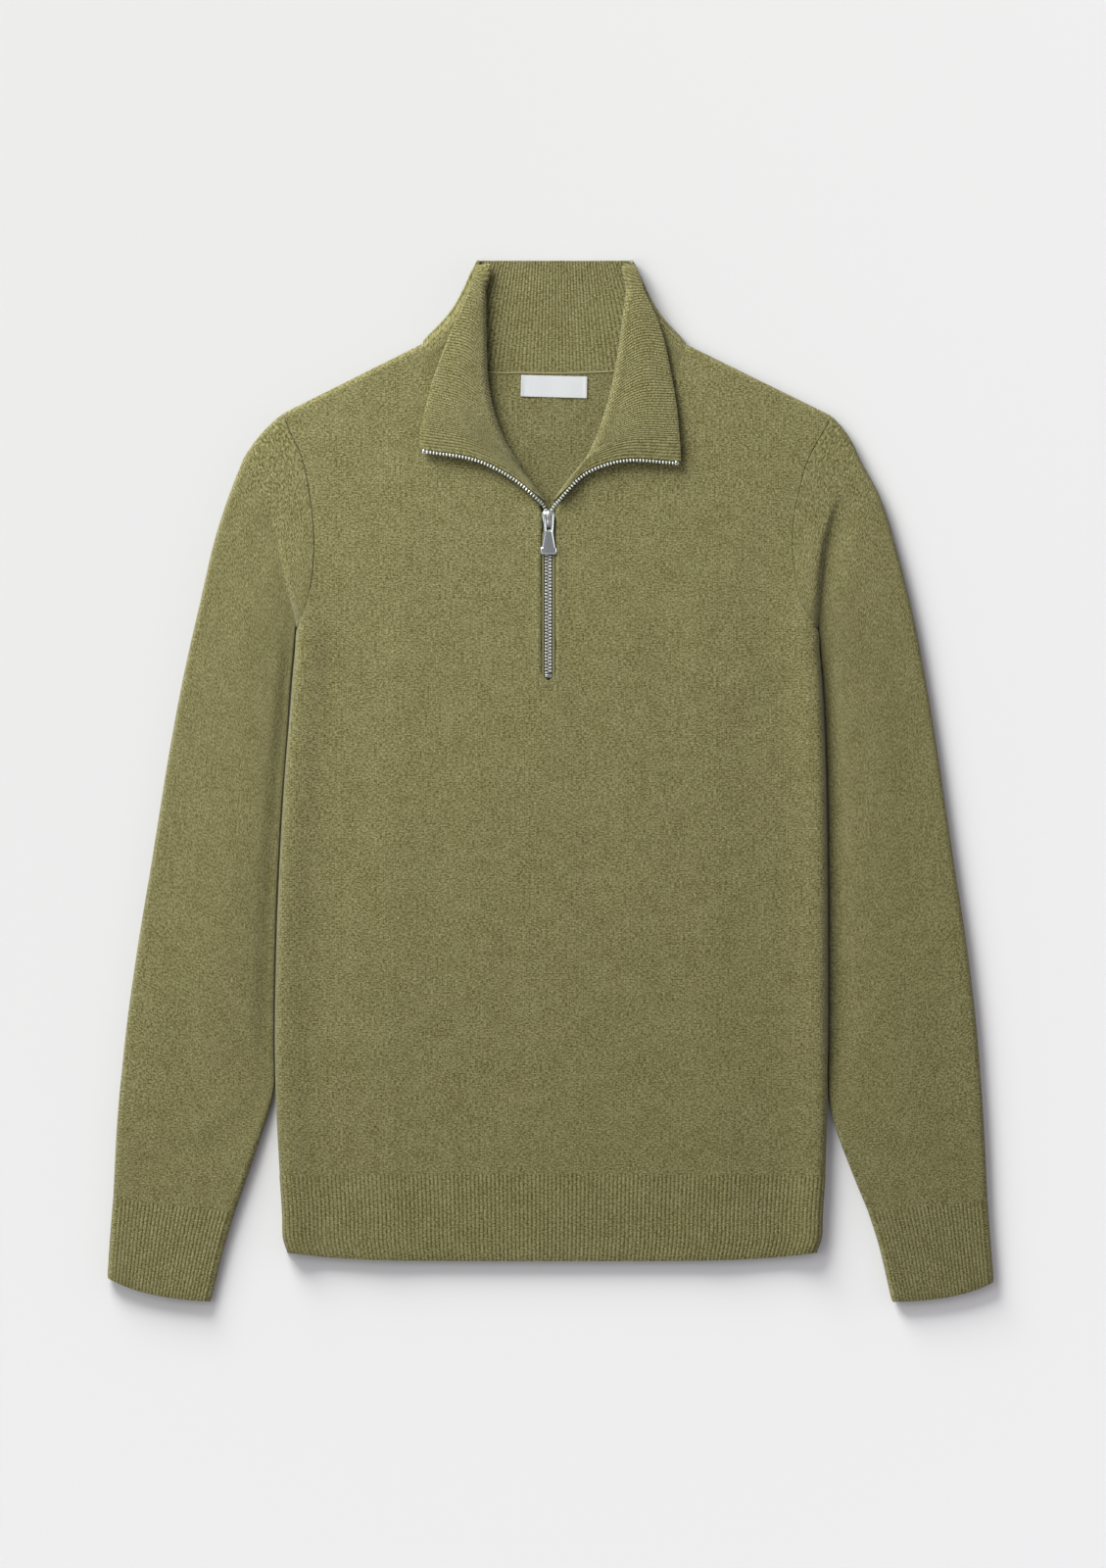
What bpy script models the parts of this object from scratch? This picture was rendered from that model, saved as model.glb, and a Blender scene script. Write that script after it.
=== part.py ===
"""Quarter zip sweater laid flat, front up, modelled from its sizes.

Metres, +Z up, +Y towards the collar, +X towards the sweater's left sleeve as
seen from above. The sweater rests on z = 0. Tables hold millimetres.
"""
import math
from collections import namedtuple

import bmesh
import bpy
import numpy as np
from mathutils import Matrix

MM = 0.001

# ---- Cloth sizes (mm) ----
BODY_WALL = 2.6
BACK_WALL = 2.6
RIB_WALL = 2.8
COLLAR_WALL = 2.2
SEAM_GAP = 0.3
HALF_GAP = 0.5 * SEAM_GAP
PANEL_TOP = 8.3
SIDE_TOP = 12.4
SLEEVE_TOP = 9.0
CREASE_TOP = 7.0
CUFF_TOP = 8.6
SIDE_RADIUS = 0.5 * SIDE_TOP
SHOULDER_RADIUS = 0.5 * (PANEL_TOP + 0.4)
HEM_PITCH = 3.05
COLLAR_PITCH = 2.15
RIB_HEIGHT = 0.5
COLLAR_RIB_HEIGHT = 0.4
CENTRE_X = -1.5
SLIT_HALF = 5.3

# ---- Zip sizes (mm) ----
TAPE_WIDTH = 9.0
TAPE_THICK = 0.6
TAPE_TOP_Z = 6.0
TAPE_LOW_Y = 71.0
TAPE_HIGH_Y = 203.0
CHAIN_WIDTH = 4.6
CHAIN_HEIGHT = 2.0
CHAIN_BOTTOM_Z = 6.3
CHAIN_LOW_Y = 81.0
CHAIN_HIGH_Y = 190.0
STOP_WIDTH = 5.0
STOP_LENGTH = 2.4
STOP_LOW_Y = 78.2
TEETH_WIDTH = 2.2
TEETH_HEIGHT = 2.2
TOP_STOP_RADIUS = 1.7
SLIDER_BOTTOM_Z = 6.4
SLIDER_TOP_Z = 10.1
# Half of the slider's outline: distance from its middle, and height.
SLIDER_OUTLINE = [(2.4, 203.6), (4.7, 201.6), (4.8, 199.6), (4.2, 196.0), (3.7, 192.6), (3.2, 190.6)]
ARCH_WIDTH = 2.4
ARCH_OUTLINE = [(196.2, 9.6), (196.2, 13.0), (197.1, 13.9), (202.5, 13.9), (203.4, 13.0), (203.4, 9.6),
                (202.2, 9.6), (202.2, 12.5), (201.8, 12.9), (197.8, 12.9), (197.4, 12.5), (197.4, 9.6)]
TAB_AXIS_Y = 200.1
TAB_AXIS_Z = 11.8
TAB_THICK = 1.4
TAB_LENGTH = 29.6
TAB_SLOPE = math.atan2(1.6, TAB_LENGTH)
# Half of the tab's outline: distance from its middle, and from the axis.
TAB_OUTLINE = [(3.2, 0.6), (3.75, 0.1), (3.75, -7.4), (3.05, -14.0), (4.9, -24.9), (6.0, -25.4), (6.0, -28.8),
               (5.2, -29.6)]
TAB_WINDOW_HALF = 2.1
TAB_WINDOW_TOP = -0.6
TAB_WINDOW_END = -7.1

# ---- Neck label (mm) ----
LABEL_CORNERS = [(-22.05, 305.0), (27.4, 303.7), (27.1, 287.6), (-22.4, 289.0)]
LABEL_BOTTOM_Z = 2.9
LABEL_TOP_Z = 3.5

OLIVE = (0.205, 0.191, 0.082, 1.0)
NICKEL = (0.60, 0.60, 0.59, 1.0)
LABEL_WHITE = (0.78, 0.78, 0.79, 1.0)

# A row runs from the centre, slit, opening or neck seam out to the side,
# the armhole seam or the shoulder point. Row 10 ends at the armpit.
BodyRow = namedtuple("BodyRow", "left_in left_out right_in right_out")
BODY_ROWS = [
    BodyRow((-1.5, -293.3), (-202.9, -294.5), (-1.5, -293.3), (205.8, -294.5)),
    BodyRow((-1.5, -244.0), (-205.6, -244.0), (-1.5, -244.0), (207.3, -244.0)),
    BodyRow((-1.5, -192.6), (-206.5, -192.6), (-1.5, -192.6), (207.3, -192.6)),
    BodyRow((-1.5, -141.0), (-205.8, -141.0), (-1.5, -141.0), (207.3, -141.0)),
    BodyRow((-1.5, -89.7), (-204.3, -89.7), (-1.5, -89.7), (207.3, -89.7)),
    BodyRow((-1.5, -38.2), (-201.8, -38.2), (-1.5, -38.2), (206.8, -38.2)),
    BodyRow((-1.5, 13.2), (-198.5, 13.2), (-1.5, 13.2), (205.8, 13.2)),
    BodyRow((-1.5, 50.0), (-195.4, 50.0), (-1.5, 50.0), (204.3, 50.0)),
    BodyRow((-1.5, 76.0), (-193.3, 79.0), (-1.5, 76.0), (202.9, 79.0)),
    BodyRow((-6.8, 97.0), (-191.5, 98.0), (3.8, 97.0), (201.4, 98.0)),
    BodyRow((-6.8, 112.0), (-190.0, 115.4), (3.8, 112.0), (199.9, 115.4)),
    BodyRow((-6.8, 128.0), (-183.2, 133.8), (3.8, 128.0), (187.5, 133.8)),
    BodyRow((-6.8, 147.0), (-178.5, 154.4), (3.8, 147.0), (182.9, 156.0)),
    BodyRow((-6.8, 168.0), (-177.0, 180.8), (3.8, 168.0), (180.8, 180.0)),
    BodyRow((-6.8, 189.0), (-178.8, 205.8), (3.8, 189.0), (182.9, 204.0)),
    BodyRow((-7.2, 203.5), (-183.2, 232.3), (4.4, 203.5), (189.5, 232.3)),
    BodyRow((-17.5, 218.5), (-187.8, 247.7), (14.0, 218.5), (195.7, 247.7)),
    BodyRow((-45.6, 242.0), (-191.0, 254.5), (42.0, 244.0), (200.0, 255.5)),
    BodyRow((-66.0, 259.0), (-194.2, 261.0), (66.0, 263.0), (203.5, 261.5)),
    BodyRow((-78.6, 277.8), (-196.5, 266.5), (81.0, 282.0), (206.3, 266.0)),
    BodyRow((-87.5, 303.6), (-198.4, 271.5), (93.0, 304.3), (208.4, 270.3)),
    BodyRow((-95.6, 327.8), (-199.9, 276.4), (101.4, 325.2), (210.2, 274.5)),
]
HEM_ROW = 0.0
SLIT_ROW = 8.0
SLIT_ROUND_ROWS = 0.25
ARMPIT_ROW = 10.0
SHOULDER_ROW = float(len(BODY_ROWS) - 1)

# Edge of the body's raised side: the side, then the fold above the armpit.
EdgePoint = namedtuple("EdgePoint", "y left_x right_x")
BODY_EDGE = [
    EdgePoint(-294.5, -202.9, 205.8),
    EdgePoint(-192.6, -206.5, 207.3),
    EdgePoint(-89.7, -204.3, 207.3),
    EdgePoint(13.2, -198.5, 205.8),
    EdgePoint(79.0, -193.3, 202.9),
    EdgePoint(115.4, -190.0, 199.9),
    EdgePoint(136.7, -194.8, 201.6),
    EdgePoint(154.4, -199.2, 202.9),
    EdgePoint(178.6, -203.6, 205.8),
    EdgePoint(196.2, -208.0, 210.2),
    EdgePoint(212.0, -214.0, 215.4),
    EdgePoint(225.0, -220.5, 221.5),
    EdgePoint(242.0, -229.5, 231.0),
]

# The sleeve's outer and inner edges below the fold, by share of its length.
SleeveRow = namedtuple("SleeveRow", "share left_out left_in right_out right_in")
SLEEVE_ROWS = [
    SleeveRow(0.00, (-229.3, 241.1), (-190.9, 116.2), (231.0, 242.0), (200.8, 116.2)),
    SleeveRow(0.07, (-239.6, 216.5), (-192.4, 98.0), (246.2, 214.0), (202.3, 98.0)),
    SleeveRow(0.15, (-251.0, 183.0), (-195.3, 68.0), (258.0, 178.0), (204.7, 68.0)),
    SleeveRow(0.25, (-262.8, 134.0), (-198.0, 28.0), (270.5, 130.0), (206.4, 28.0)),
    SleeveRow(0.37, (-275.2, 79.0), (-201.4, -18.0), (281.2, 76.0), (207.6, -18.0)),
    SleeveRow(0.50, (-286.5, 18.0), (-204.6, -76.0), (291.0, 16.0), (208.3, -76.0)),
    SleeveRow(0.63, (-298.5, -57.0), (-206.6, -134.0), (301.8, -57.0), (208.5, -134.0)),
    SleeveRow(0.76, (-311.0, -134.0), (-207.4, -194.0), (313.5, -134.0), (208.5, -194.0)),
    SleeveRow(0.86, (-319.4, -198.0), (-208.0, -236.0), (320.5, -198.0), (208.6, -238.0)),
    SleeveRow(0.92, (-324.6, -252.0), (-216.0, -262.5), (324.4, -252.0), (215.0, -264.0)),
    SleeveRow(0.96, (-326.4, -283.0), (-225.5, -291.0), (326.0, -281.0), (226.5, -294.0)),
    SleeveRow(1.00, (-327.8, -311.6), (-236.5, -322.3), (327.4, -312.7), (237.9, -321.7)),
]

# The cuff's edges below its seam.
CuffRow = namedtuple("CuffRow", "share left_out left_in right_out right_in")
CUFF_ROWS = [
    CuffRow(0.0, (-327.8, -311.6), (-236.5, -322.3), (327.4, -312.7), (237.9, -321.7)),
    CuffRow(0.5, (-330.2, -341.0), (-244.6, -349.0), (329.6, -342.0), (246.4, -349.0)),
    CuffRow(1.0, (-332.2, -371.4), (-254.7, -389.2), (331.9, -374.4), (255.8, -389.4)),
]
CUFF_END_BOW = 4.8

# The hem rib's outline below its seam.
HemRow = namedtuple("HemRow", "left right middle_y corner_y")
HEM_ROWS = [
    HemRow(-202.9, 205.8, -293.3, -294.5),
    HemRow(-201.0, 203.8, -324.0, -324.0),
    HemRow(-200.4, 203.0, -344.0, -342.0),
    HemRow(-197.2, 199.2, -358.8, -352.2),
]

# A collar section runs from the neck seam over the roll to the free edge.
CollarRow = namedtuple("CollarRow", "neck roll bend flap edge flap_z edge_z")
LEFT_COLLAR = [
    CollarRow((-8.1, 206.5), (-4.0, 210.6), (-25.4, 227.2), (-51.8, 241.1), (-97.0, 249.4), 14.6, 13.4),
    CollarRow((-12.6, 212.4), (-8.2, 216.2), (-25.2, 231.2), (-51.2, 245.8), (-98.0, 254.4), 15.0, 13.6),
    CollarRow((-24.3, 226.4), (-16.9, 227.1), (-28.5, 237.2), (-53.0, 252.6), (-97.6, 262.4), 15.4, 13.8),
    CollarRow((-36.8, 238.1), (-25.7, 241.1), (-40.0, 250.0), (-59.0, 263.0), (-95.2, 273.0), 15.2, 13.4),
    CollarRow((-51.4, 249.9), (-35.3, 258.0), (-48.0, 266.8), (-64.5, 277.5), (-92.2, 286.0), 14.6, 12.8),
    CollarRow((-66.9, 263.1), (-42.6, 278.6), (-54.0, 286.2), (-66.6, 293.8), (-88.6, 299.8), 13.8, 12.2),
    CollarRow((-78.6, 277.8), (-46.7, 299.9), (-55.8, 306.6), (-65.4, 313.6), (-83.2, 317.4), 13.2, 11.8),
    CollarRow((-84.5, 291.1), (-48.1, 323.4), (-54.2, 329.0), (-60.7, 334.6), (-75.6, 338.4), 12.8, 11.6),
    CollarRow((-87.5, 303.6), (-49.2, 347.7), (-52.5, 352.0), (-56.4, 356.6), (-66.2, 359.5), 12.4, 11.6),
    CollarRow((-90.4, 314.6), (-50.2, 369.0), (-52.1, 371.1), (-54.4, 373.6), (-60.2, 375.6), 12.2, 11.4),
    CollarRow((-93.2, 324.4), (-51.0, 383.0), (-52.0, 384.4), (-53.4, 385.8), (-56.0, 386.6), 10.4, 10.2),
]
RIGHT_COLLAR = [
    CollarRow((5.1, 206.5), (1.8, 210.6), (26.0, 232.6), (48.0, 240.9), (97.4, 240.2), 14.6, 13.6),
    CollarRow((9.5, 213.0), (6.0, 216.5), (25.2, 236.2), (47.5, 245.4), (97.3, 245.6), 15.0, 13.8),
    CollarRow((20.6, 225.6), (14.7, 227.9), (27.5, 241.5), (50.0, 252.5), (96.8, 254.0), 15.6, 14.0),
    CollarRow((32.3, 237.4), (25.4, 241.1), (40.0, 252.5), (58.0, 263.0), (95.9, 264.5), 15.4, 13.6),
    CollarRow((47.0, 249.2), (34.5, 259.5), (48.0, 269.0), (64.0, 277.5), (94.6, 279.0), 14.8, 13.0),
    CollarRow((63.2, 262.4), (41.5, 280.0), (53.5, 287.5), (67.6, 294.0), (92.2, 294.7), 14.0, 12.4),
    CollarRow((77.9, 277.1), (46.3, 299.1), (57.0, 306.0), (69.1, 312.4), (89.6, 309.7), 13.4, 12.0),
    CollarRow((87.5, 291.1), (50.3, 320.5), (59.0, 325.6), (69.1, 330.0), (85.6, 329.3), 13.0, 11.8),
    CollarRow((93.0, 304.3), (53.7, 344.0), (59.6, 348.0), (67.0, 351.0), (78.6, 349.9), 12.6, 11.8),
    CollarRow((97.0, 315.3), (56.2, 366.8), (59.2, 368.4), (63.0, 369.4), (69.8, 367.5), 12.4, 11.4),
    CollarRow((99.7, 324.2), (58.1, 381.6), (59.6, 383.0), (61.4, 384.0), (64.7, 383.6), 10.4, 10.2),
]
ROLL_RADIUS = 2.45
FOLD_RADIUS = 2.6
BACK_MID_Z = 0.5 * COLLAR_WALL
STAND_MID_Z = BACK_MID_Z + 2.0 * FOLD_RADIUS
COLLAR_TOP_Y = 391.0
BACK_NECK_Y = 306.1

def start_scene():
    """Remove every object and its mesh, and make the two collections."""
    for obj in list(bpy.data.objects):
        bpy.data.objects.remove(obj, do_unlink=True)
    made = {}
    for name in ("quarter_zip_sweater", "cutters"):
        made[name] = bpy.data.collections.new(name)
        bpy.context.scene.collection.children.link(made[name])
    return made["quarter_zip_sweater"], made["cutters"]


def make_material(name, color, roughness, metallic):
    """A Principled material with one colour."""
    material = bpy.data.materials.new(name)
    material.use_nodes = True
    shader = material.node_tree.nodes["Principled BSDF"]
    shader.inputs["Base Color"].default_value = color
    shader.inputs["Roughness"].default_value = roughness
    shader.inputs["Metallic"].default_value = metallic
    return material


def smooth(values, knots, at):
    """Cubic Hermite curve through rows of values at their knots."""
    values = np.asarray(values, dtype=float)
    knots = np.asarray(knots, dtype=float)
    at = np.asarray(at, dtype=float)
    slopes = np.gradient(values, knots, axis=0)
    index = np.clip(np.searchsorted(knots, at, side="right") - 1, 0, len(knots) - 2)
    width = knots[index + 1] - knots[index]
    share = (at - knots[index]) / width
    if values.ndim > 1:
        width = width[..., None]
        share = share[..., None]
    first = values[index]
    second = values[index + 1]
    square = share * share
    cube = square * share
    return ((2 * cube - 3 * square + 1) * first + (cube - 2 * square + share) * width * slopes[index]
            + (3 * square - 2 * cube) * second + (cube - square) * width * slopes[index + 1])


def smoothstep(low, high, value):
    """0 below low, 1 above high and an S curve between."""
    share = np.clip((value - low) / (high - low), 0.0, 1.0)
    return share * share * (3.0 - 2.0 * share)


def side_name(side, part):
    """Field name of a table for the left (-1) or the right (1) side."""
    return ("left_" if side < 0 else "right_") + part


def table_column(rows, field):
    """One named column of a table."""
    return np.array([getattr(row, field) for row in rows], dtype=float)


def row_point(side, part, row):
    """Point of the body's inner or outer boundary at a row number."""
    values = table_column(BODY_ROWS, side_name(side, part))
    point = smooth(values, np.arange(len(BODY_ROWS)), np.clip(row, 0.0, SHOULDER_ROW))
    if part == "in" and row < SLIT_ROW + 1.0:
        share = np.clip((row - SLIT_ROW) / SLIT_ROUND_ROWS, 0.0, 1.0)
        point[0] = CENTRE_X + side * SLIT_HALF * math.sin(0.5 * math.pi * share)
    return point


def inside_edge(side, x, y):
    """Distance in from the edge of the body's raised side."""
    heights = table_column(BODY_EDGE, "y")
    edge = table_column(BODY_EDGE, side_name(side, "x"))
    at = np.clip(y, heights[0], heights[-1])
    edge_x = smooth(edge, heights, at)
    step = 0.5
    slope = (smooth(edge, heights, np.clip(at + step, heights[0], heights[-1]))
             - smooth(edge, heights, np.clip(at - step, heights[0], heights[-1]))) / (2.0 * step)
    return (edge_x - x) * side / np.sqrt(1.0 + slope * slope)


def side_crest(y):
    """How much of the side's raised crest is left at a height on the body."""
    return 1.0 - smoothstep(125.0, 222.0, y)


def body_top(side, x, y):
    """Height of the body's upper face away from its rolled edges."""
    return body_level(inside_edge(side, x, y), x, y)


def body_level(inside, x, y):
    """Height of the body's upper face at a distance in from its side."""
    crest = (SIDE_TOP - PANEL_TOP - 0.2) * np.exp(-(np.maximum(inside - SIDE_RADIUS, 0.0) / 15.0) ** 2)
    ridge = 0.9 * np.exp(-((inside - 82.0) / 22.0) ** 2) * (1.0 - smoothstep(60.0, 200.0, y))
    chest = 0.4 * np.exp(-(x / 60.0) ** 2) * smoothstep(-150.0, 50.0, y)
    return PANEL_TOP + 0.2 + crest * side_crest(y) + ridge + chest


def sleeve_level(across, along):
    """Height of a sleeve's upper face, by share across and along it."""
    beside = 1.0 - smoothstep(0.82, 0.96, along)
    lowered = (SLEEVE_TOP - CREASE_TOP) * smoothstep(0.45, 1.0, across)
    ripple = 0.35 * np.sin(2.0 * math.pi * (1.6 * along + 0.5 * across))
    return SLEEVE_TOP - lowered * (0.35 + 0.65 * beside) + ripple * smoothstep(0.1, 0.3, along)


def over_fold(side, x, y, low):
    """Upper face across the fold: low outside it, the body's height inside."""
    inside = inside_edge(side, x, y)
    share = np.clip(inside / SIDE_RADIUS, 0.0, 1.0)
    rise = np.sqrt(np.clip(1.0 - (1.0 - share) ** 2, 0.0, 1.0))
    return low + (body_top(side, x, y) - low) * rise


def under_angle(radius):
    """Angle in degrees where an edge's roll stops, just above the back."""
    return -math.degrees(math.asin(1.0 - (BACK_WALL + SEAM_GAP) / radius))


def front_point(side, row, column, depth=0.0):
    """Point of the front, at a depth below its upper face.

    Column 0 to 1 is flat, 1 to 2 its outer edge; a row past the shoulder is its roll.
    """
    turn = max(0.0, row - SHOULDER_ROW)
    base_row = min(row, SHOULDER_ROW)
    inner = row_point(side, "in", base_row)
    outer = row_point(side, "out", base_row)
    length = np.linalg.norm(outer - inner)
    direction = (outer - inner) / length
    reach = (length - SIDE_RADIUS) * min(column, 1.0)
    edge = max(0.0, column - 1.0)
    if base_row <= ARMPIT_ROW and edge > 0.0:
        inset, z = roll_section(SIDE_RADIUS, depth, edge)
        place = inner + direction * (length - inset)
        return np.array([place[0], place[1], z])
    reach += SIDE_RADIUS * edge
    reach = min(reach, length - HALF_GAP)
    place = inner + direction * reach
    if turn == 0.0:
        z = float(over_fold(side, place[0], place[1], CREASE_TOP)) - depth
        return np.array([place[0], place[1], z])
    inset, z = roll_section(SHOULDER_RADIUS, depth, turn)
    place = place + shoulder_inward(side) * inset
    return np.array([place[0], place[1], z])


def roll_section(radius, depth, turn):
    """Inset and height on a rolled edge, from its top (0) to its lower end (1)."""
    angle = math.radians(90.0 - turn * (90.0 - under_angle(radius)))
    reach = radius - depth
    return radius - reach * math.cos(angle), radius + reach * math.sin(angle)


def shoulder_inward(side):
    """Unit direction in from the shoulder's edge."""
    top_in = row_point(side, "in", SHOULDER_ROW)
    top_out = row_point(side, "out", SHOULDER_ROW)
    line = (top_out - top_in) / np.linalg.norm(top_out - top_in)
    return np.array([line[1], -line[0]]) * side


def grid_faces(rows, columns, ring=False, flip=False):
    """Quads of a grid of points, wrapped round its columns for a ring."""
    faces = []
    last = columns if ring else columns - 1
    for row in range(rows - 1):
        for column in range(last):
            following = (column + 1) % columns
            quad = (row * columns + column, row * columns + following,
                    (row + 1) * columns + following, (row + 1) * columns + column)
            faces.append(quad[::-1] if flip else quad)
    return faces


def add_object(name, points, faces, collection, material):
    """Object made from points in mm, with its normals made consistent."""
    mesh = bpy.data.meshes.new(name)
    mesh.from_pydata([tuple(float(v) * MM for v in point) for point in points], [], faces)
    shape = bmesh.new()
    shape.from_mesh(mesh)
    bmesh.ops.remove_doubles(shape, verts=shape.verts, dist=0.00001)
    bmesh.ops.recalc_face_normals(shape, faces=shape.faces)
    shape.to_mesh(mesh)
    shape.free()
    mesh.materials.append(material)
    obj = bpy.data.objects.new(name, mesh)
    collection.objects.link(obj)
    mesh.shade_smooth()
    mesh.set_sharp_from_angle(angle=math.radians(50.0))
    return obj


def point_normals(grid, ring=False):
    """Unit normals of a grid of points, across its rows and columns."""
    along = np.gradient(grid, axis=0)
    if ring:
        wrapped = np.concatenate([grid[:, -1:], grid, grid[:, :1]], axis=1)
        across = np.gradient(wrapped, axis=1)[:, 1:-1]
    else:
        across = np.gradient(grid, axis=1)
    normals = np.cross(across, along)
    return normals / np.linalg.norm(normals, axis=2, keepdims=True)


def zipper(first, second, first_share, second_share):
    """Triangles between two edges with unlike numbers of points."""
    faces = []
    i = 0
    j = 0
    while i < len(first) - 1 or j < len(second) - 1:
        step_first = j == len(second) - 1
        if i < len(first) - 1 and j < len(second) - 1:
            step_first = first_share[i + 1] <= second_share[j + 1]
        if step_first:
            faces.append((first[i], first[i + 1], second[j]))
            i += 1
        else:
            faces.append((first[i], second[j + 1], second[j]))
            j += 1
    return faces


def wall_mesh(outer, inner, outer_share, inner_share, row_share_outer, row_share_inner, ring=False):
    """Points and faces of a closed wall between an outer and an inner grid."""
    outer_rows, outer_columns = outer.shape[:2]
    inner_rows, inner_columns = inner.shape[:2]
    offset = outer_rows * outer_columns
    points = np.concatenate([outer.reshape(-1, 3), inner.reshape(-1, 3)])
    faces = grid_faces(outer_rows, outer_columns, ring)
    faces += [tuple(offset + v for v in face) for face in grid_faces(inner_rows, inner_columns, ring, True)]
    outer_ids = np.arange(offset).reshape(outer_rows, outer_columns)
    inner_ids = np.arange(inner_rows * inner_columns).reshape(inner_rows, inner_columns) + offset
    ends = ((outer_ids[0], inner_ids[0]), (outer_ids[-1], inner_ids[-1]))
    for outer_end, inner_end in ends:
        first = list(outer_end)
        second = list(inner_end)
        shares = [list(outer_share), list(inner_share)]
        if ring:
            first.append(first[0])
            second.append(second[0])
            shares = [list(outer_share) + [1.0], list(inner_share) + [1.0]]
        faces += zipper(first, second, shares[0], shares[1])
    if not ring:
        for column in (0, -1):
            faces += zipper(list(outer_ids[:, column]), list(inner_ids[:, column]),
                            row_share_outer, row_share_inner)
    return points, [tuple(int(v) for v in face) for face in faces]


def closed_sheet(outer, inner, faces):
    """Points and faces of a wall whose two faces have the same grid."""
    index = {}
    mapping = []
    for place in np.round(outer, 4):
        mapping.append(index.setdefault(tuple(place), len(index)))
    count = len(index)
    points = np.zeros((2 * count, 3))
    for old, new in enumerate(mapping):
        points[new] = outer[old]
        points[new + count] = inner[old]
    shared = {}
    made = []
    for face in faces:
        ids = [mapping[v] for v in face]
        made.append(tuple(ids))
        made.append(tuple(v + count for v in reversed(ids)))
        for first, second in zip(ids, ids[1:] + ids[:1]):
            key = (min(first, second), max(first, second))
            shared.setdefault(key, []).append((first, second))
    for uses in shared.values():
        if len(uses) == 1:
            first, second = uses[0]
            made.append((second, first, first + count, second + count))
    return points, made


FRONT_ROWS = [0.0, 2.0, 4.0, 6.0, 7.0, 8.0, 8.04, 8.12, 8.25, 9.0, 10.0, 10.35, 10.7, 11.2, 12.0, 13.0, 14.0, 15.0,
              15.5, 16.0, 16.35, 16.7, 17.0, 17.5, 18.0, 18.5, 19.0, 19.5, 20.0, 20.5]
SHOULDER_TURNS = [0.0, 0.25, 0.5, 0.75, 1.0]
FRONT_COLUMNS = [0.0, 0.14, 0.3, 0.46, 0.6, 0.74, 0.86, 0.95, 1.0, 1.25, 1.5, 1.75, 2.0]


def build_front(collection, material):
    """Front panel: a sheet with a zip slit, rolled round at sides and shoulders."""
    rows = FRONT_ROWS + [SHOULDER_ROW + turn for turn in SHOULDER_TURNS]
    layers = {0.0: [], BODY_WALL: []}
    faces = []
    for side in (-1, 1):
        start = len(layers[0.0])
        for depth, points in layers.items():
            grid = np.array([[front_point(side, row, column, depth) for column in FRONT_COLUMNS] for row in rows])
            grid[0, :, 1] += HALF_GAP
            points.extend(grid.reshape(-1, 3))
        faces += [tuple(start + v for v in face)
                  for face in grid_faces(len(rows), len(FRONT_COLUMNS), flip=side < 0)]
    points, faces = closed_sheet(np.array(layers[0.0]), np.array(layers[BODY_WALL]), faces)
    return add_object("front_panel", points, faces, collection, material)


def flat_piece(name, outline, bottom, top, collection, material, hole=None):
    """Flat piece from a closed outline in mm, between two heights."""
    curve = bpy.data.curves.new(name, "CURVE")
    curve.dimensions = "2D"
    curve.fill_mode = "BOTH"
    curve.extrude = 0.5 * (top - bottom) * MM
    for ring in ([outline] if hole is None else [outline, hole]):
        spline = curve.splines.new("POLY")
        spline.points.add(len(ring) - 1)
        for point, place in zip(spline.points, ring):
            point.co = (place[0] * MM, place[1] * MM, 0.0, 1.0)
        spline.use_cyclic_u = True
    drawn = bpy.data.objects.new(name + "_outline", curve)
    collection.objects.link(drawn)
    bpy.context.view_layer.update()
    mesh = bpy.data.meshes.new_from_object(drawn.evaluated_get(bpy.context.evaluated_depsgraph_get()))
    bpy.data.objects.remove(drawn)
    mesh.name = name
    shape = bmesh.new()
    shape.from_mesh(mesh)
    bmesh.ops.remove_doubles(shape, verts=shape.verts, dist=0.00001)
    bmesh.ops.translate(shape, verts=shape.verts, vec=(0.0, 0.0, 0.5 * (top + bottom) * MM))
    bmesh.ops.recalc_face_normals(shape, faces=shape.faces)
    shape.to_mesh(mesh)
    shape.free()
    mesh.materials.clear()
    mesh.materials.append(material)
    obj = bpy.data.objects.new(name, mesh)
    collection.objects.link(obj)
    return obj


ARM_ROWS = [10.0, 10.35, 10.7, 11.2, 12.0, 13.0, 14.0, 15.0, 16.0, 18.0, 20.0, 21.0]


def arm_inset(row):
    """How far the back keeps in from the armhole seam, more at the armpit."""
    return SEAM_GAP + 1.4 * max(0.0, 1.0 - (row - ARMPIT_ROW) / 2.0) + 0.5 * max(0.0, row - SHOULDER_ROW + 1.0)


def back_inset(radius):
    """How far the back keeps in from the side, to end under the side's roll."""
    return radius * (1.0 - math.cos(math.radians(under_angle(radius)))) + 0.2


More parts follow.
